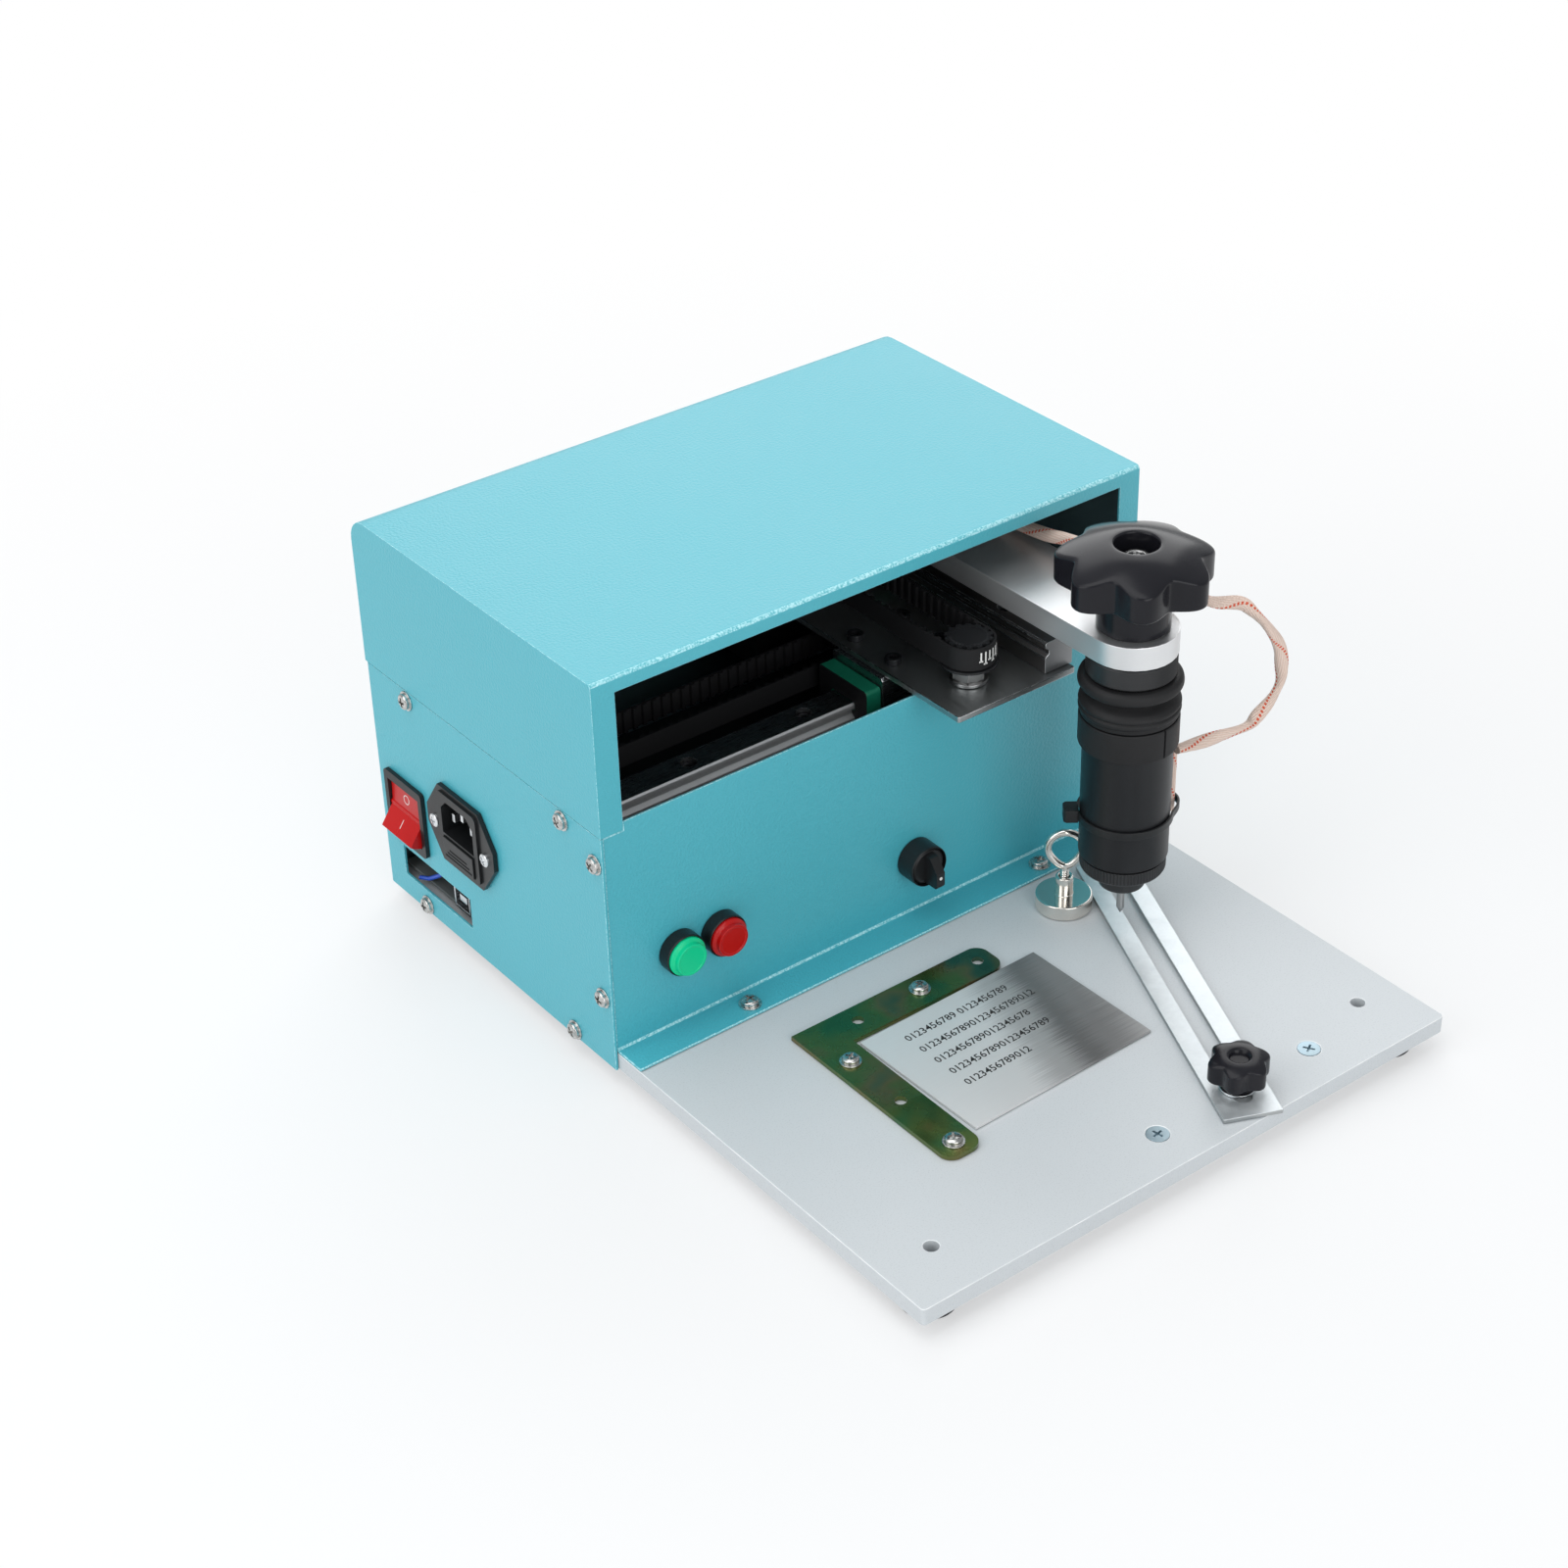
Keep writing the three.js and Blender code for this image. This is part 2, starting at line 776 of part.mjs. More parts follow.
function throughLeftWall(shape, steps) {
  return runAlongX(shape, shellOuterLeft - cutOverrun, shellInnerLeft + cutOverrun, steps);
}

function sideShell() {
  const innerBend = housingBendRadius - sheet;
  const plan = new THREE.Shape();
  plan.moveTo(shellOuterLeft, housingFrontY);
  plan.lineTo(shellInnerLeft, housingFrontY);
  plan.lineTo(shellInnerLeft, shellInnerRear - innerBend);
  plan.absarc(shellInnerLeft + innerBend, shellInnerRear - innerBend, innerBend, Math.PI, Math.PI / 2, true);
  plan.lineTo(shellInnerRight - innerBend, shellInnerRear);
  plan.absarc(shellInnerRight - innerBend, shellInnerRear - innerBend, innerBend, Math.PI / 2, 0, true);
  plan.lineTo(shellInnerRight, housingFrontY);
  plan.lineTo(shellOuterRight, housingFrontY);
  plan.lineTo(shellOuterRight, shellOuterRear - housingBendRadius);
  plan.absarc(
    shellOuterRight - housingBendRadius, shellOuterRear - housingBendRadius, housingBendRadius,
    0, Math.PI / 2, false,
  );
  plan.lineTo(shellOuterLeft + housingBendRadius, shellOuterRear);
  plan.absarc(
    shellOuterLeft + housingBendRadius, shellOuterRear - housingBendRadius, housingBendRadius,
    Math.PI / 2, Math.PI, false,
  );
  const wall = slab(plan, -baseThick, partingZ);
  const rocker = throughLeftWall(roundedBox(
    rockerCentreY - bezelBodyWidth / 2 - seatGap, rockerCentreY + bezelBodyWidth / 2 + seatGap,
    rockerCentreZ - bezelBodyHeight / 2 - seatGap, rockerCentreZ + bezelBodyHeight / 2 + seatGap,
    bezelCorner,
  ));
  const inlet = throughLeftWall(roundedBox(
    inletCentreY - inletBodyHalfWidth - seatGap, inletCentreY + inletBodyHalfWidth + seatGap,
    inletCentreZ - inletBodyHalfHeight - seatGap, inletCentreZ + inletBodyHalfHeight + seatGap,
    inletBossCorner,
  ));
  const port = block(
    shellOuterLeft - cutOverrun, shellInnerLeft + cutOverrun, portFrontY, portRearY, portBottomZ, portTopZ,
  );
  return cut(wall, rocker, inlet, port);
}

function frontPanel() {
  const flangeFrontY = panelFaceY - panelFlange;
  const innerBend = panelBendRadius - sheet;
  const bendZ = seatGap + panelBendRadius;
  const side = new THREE.Shape();
  side.moveTo(flangeFrontY, seatGap);
  side.lineTo(panelBackY - panelBendRadius, seatGap);
  side.absarc(panelBackY - panelBendRadius, bendZ, panelBendRadius, -Math.PI / 2, 0, false);
  side.lineTo(panelBackY, panelTopZ);
  side.lineTo(panelFaceY, panelTopZ);
  side.lineTo(panelFaceY, bendZ);
  side.absarc(panelFaceY - innerBend, bendZ, innerBend, 0, -Math.PI / 2, true);
  side.lineTo(flangeFrontY, seatGap + sheet);
  const panel = runAlongX(side, 0, baseWidth);
  const hole = (x, z) => runAlongY(
    new THREE.Shape().absarc(x, z, buttonBarrelRadius + seatGap, 0, 2 * Math.PI, false),
    panelFaceY - cutOverrun, panelBackY + cutOverrun, roundSides / 2,
  );
  const notch = (x0, x1) => block(
    x0, x1, panelFaceY - cutOverrun, panelBackY + cutOverrun, partingZ, panelTopZ + cutOverrun,
  );
  const notchWidth = shellOuterLeft + windowSideStrip + seatGap;
  return cut(
    panel,
    hole(startButtonX, buttonZ),
    hole(stopButtonX, buttonZ),
    hole(selectorX, selectorZ),
    notch(-cutOverrun, notchWidth),
    notch(baseWidth - notchWidth, baseWidth + cutOverrun),
  );
}

function coverProfile(front, rear, bottom, top, frontRadius, rearRadius) {
  const side = new THREE.Shape();
  side.moveTo(front, bottom);
  side.lineTo(rear, bottom);
  side.lineTo(rear, top - rearRadius);
  side.absarc(rear - rearRadius, top - rearRadius, rearRadius, 0, Math.PI / 2, false);
  side.lineTo(front + frontRadius, top);
  side.absarc(front + frontRadius, top - frontRadius, frontRadius, Math.PI / 2, Math.PI, false);
  return side;
}

function topCover() {
  const bottom = partingZ + seatGap;
  const outer = runAlongX(
    coverProfile(housingFrontY, shellOuterRear, bottom, housingTopZ, coverFrontRadius, coverRearRadius),
    shellOuterLeft, shellOuterRight,
  );
  const inner = runAlongX(
    coverProfile(
      housingFrontY + sheet, shellInnerRear, bottom - cutOverrun, housingTopZ - sheet,
      coverFrontRadius - sheet, coverRearRadius - sheet,
    ),
    shellInnerLeft, shellInnerRight,
  );
  const window = block(
    shellOuterLeft + windowSideStrip, shellOuterRight - windowSideStrip,
    housingFrontY - cutOverrun, housingFrontY + sheet + cutOverrun, bottom - cutOverrun, windowTopZ,
  );
  const tabs = [];
  for (const frontY of [coverTabFrontY, coverTabRearY]) {
    const rearY = frontY + coverTabLength;
    const top = partingZ + coverTabRise;
    tabs.push(
      block(shellInnerLeft - sheet / 2, sheet, frontY, rearY, bottom, top),
      block(0, sheet, frontY, rearY, partingZ - coverTabDrop, top),
      block(baseWidth - sheet, shellInnerRight + sheet / 2, frontY, rearY, bottom, top),
      block(baseWidth - sheet, baseWidth, frontY, rearY, partingZ - coverTabDrop, top),
    );
  }
  return joined(cut(outer, inner, window), ...tabs);
}

add(machine, 'side_shell', sideShell(), looks.turquoise);
add(machine, 'front_panel', frontPanel(), looks.turquoise);
add(machine, 'top_cover', topCover(), looks.turquoise);

// Fittings of the left wall are drawn as seen from outside: x across, y up, z out of the wall

function leftWallGroup(y, z) {
  const group = groupAt(machine, shellOuterLeft, y, z);
  group.quaternion.setFromRotationMatrix(
    new THREE.Matrix4().makeBasis(Y.clone().negate(), Z, X.clone().negate()),
  );
  return group;
}

function switchBezel() {
  const rim = slab(
    roundedBox(-bezelWidth / 2, bezelWidth / 2, -bezelHeight / 2, bezelHeight / 2, bezelCorner),
    seatGap, bezelRim,
  );
  const body = slab(roundedBox(
    -bezelBodyWidth / 2, bezelBodyWidth / 2, -bezelBodyHeight / 2, bezelBodyHeight / 2, bezelCorner,
  ), -bezelBodyDepth, bezelRim);
  const cavityWidth = rockerWidth / 2 + runGap;
  const cavityRadius = rockerRadius + runGap;
  const mouth = block(-cavityWidth, cavityWidth, -cavityRadius, cavityRadius, 0, bezelRim + cutOverrun);
  const pinReach = cavityWidth + rockerPinLength;
  return cut(
    joined(rim, body),
    crossBar(cavityRadius, -cavityWidth, cavityWidth, 0, 0, roundSides),
    mouth,
    crossBar(rockerPinRadius + runGap, -pinReach, pinReach, 0, 0, tinySides),
  );
}

function switchRocker() {
  const lowAngle = -Math.acos(rockerOutReach / rockerRadius);
  const highAngle = Math.acos(rockerInReach / rockerRadius);
  const backAngle = Math.PI - Math.acos(rockerBackDepth / rockerRadius);
  // Drawn with x out of the wall and y up
  const side = new THREE.Shape();
  side.moveTo(...polar(rockerRadius, lowAngle));
  side.lineTo(rockerValley, 0);
  side.lineTo(...polar(rockerRadius, highAngle));
  side.absarc(0, 0, rockerRadius, highAngle, backAngle, false);
  side.lineTo(...polar(rockerRadius, -backAngle));
  side.absarc(0, 0, rockerRadius, -backAngle, lowAngle, false);
  const turn = new THREE.Matrix4().makeBasis(Z, Y, X.clone().negate());
  const body = extruded(side, rockerWidth, holeSteps).translate(0, 0, -rockerWidth / 2).applyMatrix4(turn);
  const pinReach = rockerWidth / 2 + rockerPinLength;
  return joined(solid(body), crossBar(rockerPinRadius, -pinReach, pinReach, 0, 0, tinySides));
}

function inletBody() {
  const flange = slab(outline([
    [-inletTopHalfWidth, -inletHalfHeight], [inletTopHalfWidth, -inletHalfHeight],
    [inletHalfWidth, -inletEarHalfHeight], [inletHalfWidth, inletEarHalfHeight],
    [inletTopHalfWidth, inletHalfHeight], [-inletTopHalfWidth, inletHalfHeight],
    [-inletHalfWidth, inletEarHalfHeight], [-inletHalfWidth, -inletEarHalfHeight],
  ]), seatGap, inletFlange);
  const boss = slab(roundedBox(
    -inletBossHalfWidth, inletBossHalfWidth, -inletBossHalfHeight, inletBossHalfHeight, inletBossCorner,
  ), seatGap, inletBoss);
  const body = slab(roundedBox(
    -inletBodyHalfWidth, inletBodyHalfWidth, -inletBodyHalfHeight, inletBodyHalfHeight, inletBossCorner,
  ), -inletBodyDepth, inletBoss);
  const fuseTop = fuseBottom + fuseHeight + runGap;
  const fuseWell = block(
    -fuseHalfWidth - runGap, fuseHalfWidth + runGap, fuseBottom - runGap, fuseTop,
    inletBoss - fuseDepth - seatGap, inletBoss + cutOverrun,
  );
  return cut(joined(flange, boss, body), socketSpace(0), fuseWell);
}

// The socket's hollow, or what fits in it with a gap all round
function socketSpace(gap, depth = socketDepth, top = inletBoss + cutOverrun) {
  const half = socketHalfWidth - gap;
  const low = socketBottom + gap;
  const high = socketBottom + socketHeight - gap;
  return slab(outline([
    [-half, low], [half, low], [half, high - socketCornerCut], [half - socketCornerCut, high],
    [socketCornerCut - half, high], [-half, high - socketCornerCut],
  ]), inletBoss - depth, top);
}

function inletContacts() {
  const floorTop = inletBoss - socketDepth + seatGap + contactFloor;
  const floor = socketSpace(seatGap, socketDepth - seatGap, floorTop);
  const middle = socketBottom + socketHeight / 2;
  const blade = (x, y) => block(
    x - contactHalfThick, x + contactHalfThick, y - contactHalfWidth, y + contactHalfWidth,
    floorTop - contactFloor / 2, floorTop + contactLength - contactFloor,
  );
  return joined(
    floor, blade(-contactSpread, middle), blade(contactSpread, middle), blade(0, middle + contactEarthRise),
  );
}

function fuseDrawer() {
  const body = block(
    -fuseHalfWidth, fuseHalfWidth, fuseBottom, fuseBottom + fuseHeight,
    inletBoss - fuseDepth, inletBoss + fuseFaceProud,
  );
  const ridges = [];
  for (let i = 0; i < fuseRidgeCount; i += 1) {
    const inset = fuseRidgeInset + i * fuseRidge * 2;
    ridges.push(block(
      inset - fuseHalfWidth, fuseHalfWidth - inset, fuseBottom + inset, fuseBottom + inset + fuseRidge,
      inletBoss + fuseFaceProud / 2, inletBoss + fuseFaceProud + cutOverrun,
    ));
  }
  return cut(body, ...ridges);
}

const switchGroup = leftWallGroup(rockerCentreY, rockerCentreZ);
add(switchGroup, 'switch_bezel', switchBezel(), looks.blackPlastic);
add(switchGroup, 'switch_rocker', switchRocker(), looks.red);
const inletGroup = leftWallGroup(inletCentreY, inletCentreZ);
add(inletGroup, 'inlet_body', inletBody(), looks.blackPlastic);
add(inletGroup, 'inlet_contacts', inletContacts(), looks.brass);
add(inletGroup, 'fuse_drawer', fuseDrawer(), looks.blackPlastic);

// Fittings of the front panel: z points out of the panel

function frontPanelGroup(x, z) {
  const group = groupAt(machine, x, panelFaceY, z);
  group.rotation.x = Math.PI / 2;
  return group;
}

const wellRadius = buttonBezelRadius - buttonBezelWall;
const lensRadius = wellRadius - runGap;

// The body behind a round control: a bezel of the given height with a well down to the given floor
function controlBody(height, floor) {
  return turned([
    [0, -buttonBarrelDepth], [buttonBarrelRadius, -buttonBarrelDepth], [buttonBarrelRadius, seatGap],
    [buttonBezelRadius, seatGap], [buttonBezelRadius, height - buttonChamfer],
    [buttonBezelRadius - buttonChamfer / 2, height], [wellRadius, height],
    [wellRadius, floor], [buttonStemRadius + runGap, floor],
    [buttonStemRadius + runGap, -buttonStemWell], [0, -buttonStemWell],
  ]);
}

function buttonLens() {
  const back = buttonWellFloor + buttonTravel + runGap;
  const stemEnd = buttonTravel + seatGap - buttonStemWell;
  return turned([
    [0, stemEnd], [buttonStemRadius, stemEnd], [buttonStemRadius, back], [lensRadius, back],
    [lensRadius, lensSkirtTop - lensEdge], [lensRadius - lensEdge, lensSkirtTop],
    [lensFaceRadius, lensSkirtTop + lensShoulder], [lensFaceRadius, lensFaceTop - lensEdge],
    [lensFaceRadius - lensEdge, lensFaceTop], [0, lensFaceTop],
  ]);
}

function selectorKnob() {
  const back = selectorWellFloor + runGap;
  const stemEnd = seatGap - buttonStemWell;
  const disc = turned([
    [0, stemEnd], [buttonStemRadius, stemEnd], [buttonStemRadius, back], [lensRadius, back],
    [lensRadius, selectorDiscTop - selectorDiscChamfer], [lensRadius - selectorDiscChamfer, selectorDiscTop],
    [0, selectorDiscTop],
  ]);
  const fin = slab(roundedBox(
    -selectorFinWidth / 2, selectorFinWidth / 2, -selectorFinLength / 2, selectorFinLength / 2,
    selectorFinCorner,
  ), back + buttonChamfer, selectorFinTop);
  return joined(disc, fin);
}

const startGroup = frontPanelGroup(startButtonX, buttonZ);
add(startGroup, 'start_button_body', controlBody(buttonBezelHeight, buttonWellFloor), looks.blackPlastic);
add(startGroup, 'start_button_lens', buttonLens(), looks.green);
const stopGroup = frontPanelGroup(stopButtonX, buttonZ);
add(stopGroup, 'stop_button_body', controlBody(buttonBezelHeight, buttonWellFloor), looks.blackPlastic);
add(stopGroup, 'stop_button_lens', buttonLens(), looks.red);
const selectorGroup = frontPanelGroup(selectorX, selectorZ);
add(selectorGroup, 'selector_body', controlBody(selectorBezelHeight, selectorWellFloor), looks.blackPlastic);
add(selectorGroup, 'selector_knob', selectorKnob(), looks.blackPlastic);

// Electronics on the base plate

function controlBoard() {
  const boardZ = seatGap + boardStandoff;
  const boardTop = boardZ + boardThick;
  const standoffs = [];
  for (const x of [boardLeft + standoffInset, boardRight - standoffInset]) {
    for (const y of [boardFrontY + standoffInset, boardRearY - standoffInset]) {
      standoffs.push(post(standoffRadius, seatGap, boardZ + boardThick / 2, x, y, tinySides));
    }
  }
  const chips = [];
  for (let x = boardLeft + usbDepth + chipSide; x + chipSide < boardRight - standoffInset; x += chipPitch) {
    chips.push(block(
      x, x + chipSide, usbCentreY, usbCentreY + chipSide, boardTop - boardThick / 2, boardTop + chipHeight,
    ));
  }
  const socket = block(
    boardLeft - sheet, boardLeft - sheet + usbDepth, usbCentreY - usbWidth / 2, usbCentreY + usbWidth / 2,
    boardTop - boardThick / 2, boardTop + usbHeight,
  );
  const socketLeft = boardLeft - sheet;
  const hollow = block(
    socketLeft - cutOverrun, socketLeft + usbCavityDepth,
    usbCentreY - usbWidth / 2 + usbWall, usbCentreY + usbWidth / 2 - usbWall,
    boardTop + usbWall, boardTop + usbHeight - usbWall,
  );
  const middle = boardTop + usbHeight / 2;
  const tongue = block(
    socketLeft + usbWall, socketLeft + usbCavityDepth + usbWall,
    usbCentreY - usbTongueWidth / 2, usbCentreY + usbTongueWidth / 2,
    middle - usbTongueHeight / 2, middle + usbTongueHeight / 2,
  );
  const board = block(boardLeft, boardRight, boardFrontY, boardRearY, boardZ, boardTop);
  return joined(cut(joined(board, socket), hollow), tongue, ...standoffs, ...chips);
}

function powerSupply() {
  return slab(
    roundedBox(supplyLeft, supplyRight, supplyFrontY, supplyRearY, boardThick), seatGap, supplyHeight,
  );
}

add(machine, 'control_board', controlBoard(), looks.board);
add(machine, 'power_supply', powerSupply(), looks.zinc);

// Linear guides

const railHalf = railWidth / 2;
const waistHalf = railWaist / 2;

// Half the rail's section as [across, up] points, grown by a gap
function railHalfSection(gap, low) {
  return [
    [railHalf + gap, low], [railHalf + gap, railBaseHigh + gap], [waistHalf + gap, railGrooveLow + gap],
    [waistHalf + gap, railGrooveTop - gap], [railHalf + gap, railHeadLow - gap],
    [railHalf + gap, railHeight - railCorner], [railHalf - railCorner + gap, railHeight + gap],
  ];
}

function railSection(gap, low) {
  const right = railHalfSection(gap, low);
  const left = right.map(([across, up]) => [-across, up]).reverse();
  return outline([...right, ...left]);
}

// A rail along X from its left end, with its bottom at z = 0
function rail(length, firstHole) {
  let body = runAlongX(railSection(0, seatGap), 0, length);
  for (let x = firstHole; x < length - railHoleRadius; x += railHolePitch) {
    body = cut(body, post(railHoleRadius, railHeight - railHoleDepth, railHeight + cutOverrun, x, 0));
  }
  return body;
}

function guideSection(width, top) {
  const half = width / 2;
  return outline([
    [-half, blockClear + blockEdge], [blockEdge - half, blockClear], [half - blockEdge, blockClear],
    [half, blockClear + blockEdge], [half, top - blockEdge], [half - blockEdge, top],
    [blockEdge - half, top], [-half, top - blockEdge],
  ]);
}

function guidePiece(width, top, x0, x1) {
  const slot = runAlongX(railSection(runGap, 0), x0 - cutOverrun, x1 + cutOverrun);
  return cut(runAlongX(guideSection(width, top), x0, x1), slot);
}

// A guide block along X with its end caps, from the rail's bottom
function addGuide(parent, names, x) {
  const group = groupAt(parent, x, 0, 0);
  const bodyHalf = blockLength / 2 - capLength;
  const capTop = blockHeight - capDrop;
  add(group, names.block, guidePiece(blockWidth, blockHeight, -bodyHalf, bodyHalf), looks.brightSteel);
  add(group, names.low, guidePiece(capWidth, capTop, -blockLength / 2, -bodyHalf - seatGap), looks.capGreen);
  add(group, names.high, guidePiece(capWidth, capTop, bodyHalf + seatGap, blockLength / 2), looks.capGreen);
}

// Bridge and X axis

const xIdlerTop = xBeltZ + beltWidth + beltSideGap + flangeThick + beltSideGap;
const xMotorX = xIdlerX + xBeltPulleySpan;

function railBridge() {
  const [left, right] = [bridgeSideGap, baseWidth - bridgeSideGap];
  const profile = outline([
    [left, seatGap], [left + bridgeFoot, seatGap], [left + bridgeFoot, seatGap + bridgeThick],
    [left + bridgeThick, seatGap + bridgeThick], [left + bridgeThick, bridgeTopZ - bridgeThick],
    [right - bridgeThick, bridgeTopZ - bridgeThick], [right - bridgeThick, seatGap + bridgeThick],
    [right - bridgeFoot, seatGap + bridgeThick], [right - bridgeFoot, seatGap], [right, seatGap],
    [right, bridgeTopZ], [left, bridgeTopZ],
  ]);
  const pilot = post(
    motorBossRadius + runGap, bridgeTopZ - bridgeThick - cutOverrun, bridgeTopZ + cutOverrun,
    xMotorX, xBeltY, roundSides,
  );
  const axle = post(idlerShaftRadius, bridgeTopZ - bridgeThick, xIdlerTop, xIdlerX, xBeltY);
  return joined(cut(runAlongY(profile, bridgeFrontY, bridgeRearY), pilot), axle);
}

add(machine, 'rail_bridge', railBridge(), looks.darkSteel);
const xAxis = groupAt(machine, 0, xRailY, bridgeTopZ);
const xRail = rail(xRailRight - xRailLeft, xRailFirstHole - xRailLeft);
add(groupAt(xAxis, xRailLeft, 0, 0), 'x_rail', xRail, looks.brightSteel);
addGuide(xAxis, { block: 'x_block', low: 'x_cap_left', high: 'x_cap_right' }, xBlockCentreX);

// Belt drives

const beltOuterRadius = beltInnerRadius + beltThick;
const beltTipRadius = beltInnerRadius - beltToothHeight;

// A toothed belt round two pulleys, from the first pulley's centre along X
function belt(span) {
  const outer = new THREE.Shape();
  outer.moveTo(0, -beltOuterRadius);
  outer.lineTo(span, -beltOuterRadius);
  outer.absarc(span, 0, beltOuterRadius, -Math.PI / 2, Math.PI / 2, false);
  outer.lineTo(0, beltOuterRadius);
  outer.absarc(0, 0, beltOuterRadius, Math.PI / 2, Math.PI * 1.5, false);
  const teeth = Math.round(span / beltPitch);
  const run = [];
  for (let i = beltClearTeeth; i < teeth - beltClearTeeth; i += 1) {
    const middle = (i + 1 / 2) * span / teeth;
    run.push(
      [middle - beltToothRoot / 2, beltInnerRadius], [middle - beltToothTip / 2, beltTipRadius],
      [middle + beltToothTip / 2, beltTipRadius], [middle + beltToothRoot / 2, beltInnerRadius],
    );
  }
  const arc = (x, from) => Array.from({ length: pulleyTeeth + 1 }, (unused, i) => {
    const [across, up] = polar(beltInnerRadius, from - Math.PI * i / pulleyTeeth);
    return [x + across, up];
  });
  const back = run.map(([x, y]) => [span - x, -y]);
  const loop = [...run, ...arc(span, Math.PI / 2), ...back, ...arc(0, -Math.PI / 2)];
  outer.holes.push(new THREE.Path(loop.map(([x, y]) => new THREE.Vector2(x, y))));
  return slab(outer, 0, beltWidth, pulleyTeeth / 2);
}

// A toothed pulley from the belt's lower edge, bored for its shaft
function toothedWheel(lowFlange, highFlange) {
  const step = 2 * Math.PI / pulleyTeeth;
  const points = [];
  for (let i = 0; i < pulleyTeeth; i += 1) {
    const middle = i * step;
    points.push(
      polar(pulleyRootRadius, middle - step / 2 - step * pulleyRootShare / 2),
      polar(pulleyRootRadius, middle - step / 2 + step * pulleyRootShare / 2),
      polar(pulleyTipRadius, middle - step * pulleyLandShare / 2),
      polar(pulleyTipRadius, middle + step * pulleyLandShare / 2),
    );
  }
  const [low, high] = [-beltSideGap, beltWidth + beltSideGap];
  const flange = (z) => post(flangeRadius, z, z + flangeThick, 0, 0, roundSides);
  const flanges = [];
  if (lowFlange) flanges.push(flange(low - flangeThick));
  if (highFlange) flanges.push(flange(high));
  return joined(slab(outline(points), low, high), ...flanges);
}

// A motor pulley with its shaft, which reaches down into the motor
function drivePulley(hubDrop, shaftDrop) {
  return joined(
    toothedWheel(true, true),
    post(hubRadius, -hubDrop, 0, 0, 0, roundSides),
    post(shaftRadius, -shaftDrop, beltWidth, 0, 0, tinySides),
  );
}

// A stepper motor hanging below z = 0, with its round boss above
function motor() {
  const half = motorSide / 2;
  const side = outline([
    [-half, motorCorner - half], [motorCorner - half, -half], [half - motorCorner, -half],
    [half, motorCorner - half], [half, half - motorCorner], [half - motorCorner, half],
    [motorCorner - half, half], [-half, half - motorCorner],
  ]);
  const boss = post(motorBossRadius, -motorCorner, motorBossHeight, 0, 0, roundSides);
  return cut(
    joined(slab(side, -motorLength, -seatGap), boss),
    post(shaftRadius + runGap, -motorBoreDepth, motorBossHeight + cutOverrun, 0, 0, tinySides),
  );
}

const xDriveDrop = xBeltZ - bridgeTopZ;
const xMotorTop = bridgeTopZ - bridgeThick;
const xBeltGroup = groupAt(machine, xIdlerX, xBeltY, xBeltZ);
add(groupAt(machine, xMotorX, xBeltY, xMotorTop), 'x_motor', motor(), looks.blackPlastic);
add(
  groupAt(machine, xMotorX, xBeltY, xBeltZ), 'x_motor_pulley',
  drivePulley(xDriveDrop - runGap, xDriveDrop + bridgeThick + motorBoreDepth - cutOverrun), looks.aluminium,
);
const xIdler = cut(
  joined(toothedWheel(true, true), post(hubRadius, runGap - xDriveDrop, 0, 0, 0, roundSides)),
  post(idlerShaftRadius + runGap, -xDriveDrop - cutOverrun, idlerBoreTop),
);
add(xBeltGroup, 'x_idler_pulley', xIdler, looks.aluminium);
add(xBeltGroup, 'x_belt', belt(xBeltPulleySpan), looks.belt);

// Y plate, its rail and its drive

const yPlateZ = bridgeTopZ + blockHeight;
const yPlateTop = yPlateZ + yPlateThick;
const yMotorY = yIdlerY + yBeltPulleySpan;

// Jaws that hold the near run of the X belt, folded down from the plate
function xBeltClamp() {
  const outerY = xBeltY - beltOuterRadius - runGap;
  const innerY = xBeltY - beltTipRadius + runGap;
  const right = xClampLeft + clampLength;
  const roof = xBeltZ + beltWidth + runGap;
  const top = yPlateZ + yPlateThick / 2;
  return joined(
    block(xClampLeft, right, outerY - clampJaw, outerY, xBeltZ, top),
    block(xClampLeft, right, innerY, innerY + clampInnerJaw, xBeltZ, top),
    block(xClampLeft, right, outerY - clampJaw, innerY + clampInnerJaw, roof, top),
  );
}

function yPlate() {
  const low = yPlateZ + seatGap;
  const plan = roundedBox(yPlateLeft, yPlateRight, yPlateFrontY, yPlateRearY, yPlateCorner);
  const plate = slab(plan, low, yPlateTop);
  return cut(
    joined(plate, xBeltClamp()),
    post(motorBossRadius + runGap, low - cutOverrun, yPlateTop + cutOverrun, yBeltX, yMotorY, roundSides),
    post(idlerShaftRadius + runGap, low - cutOverrun, yPlateTop + cutOverrun, yBeltX, yIdlerY),
  );
}

const washerTop = seatGap + washerThick;
const nutTop = washerTop + nutHeight;
const idlerSeat = nutTop + idlerSpacer;
const yBeltRise = yBeltZ - yPlateTop;

// Bolt, washer and nut of the belt's idler, from the top of the plate
function idlerBolt() {
  const headTop = yBeltRise + beltWidth + idlerHubRise - runGap;
  const nut = post(nutFlats / Math.sqrt(3), seatGap + washerThick / 2, nutTop, 0, 0, nutCorners);
  return joined(
    turned([
      [0, -idlerBoltDrop], [idlerShaftRadius, -idlerBoltDrop], [idlerShaftRadius, seatGap],
      [washerRadius, seatGap], [washerRadius, washerTop], [idlerSpacerRadius, washerTop],
      [idlerSpacerRadius, idlerSeat], [idlerShaftRadius, idlerSeat],
      [idlerShaftRadius, headTop - idlerHeadHeight], [idlerHeadRadius, headTop - idlerHeadHeight],
      [idlerHeadRadius, headTop], [0, headTop],
    ]),
    nut,
  );
}

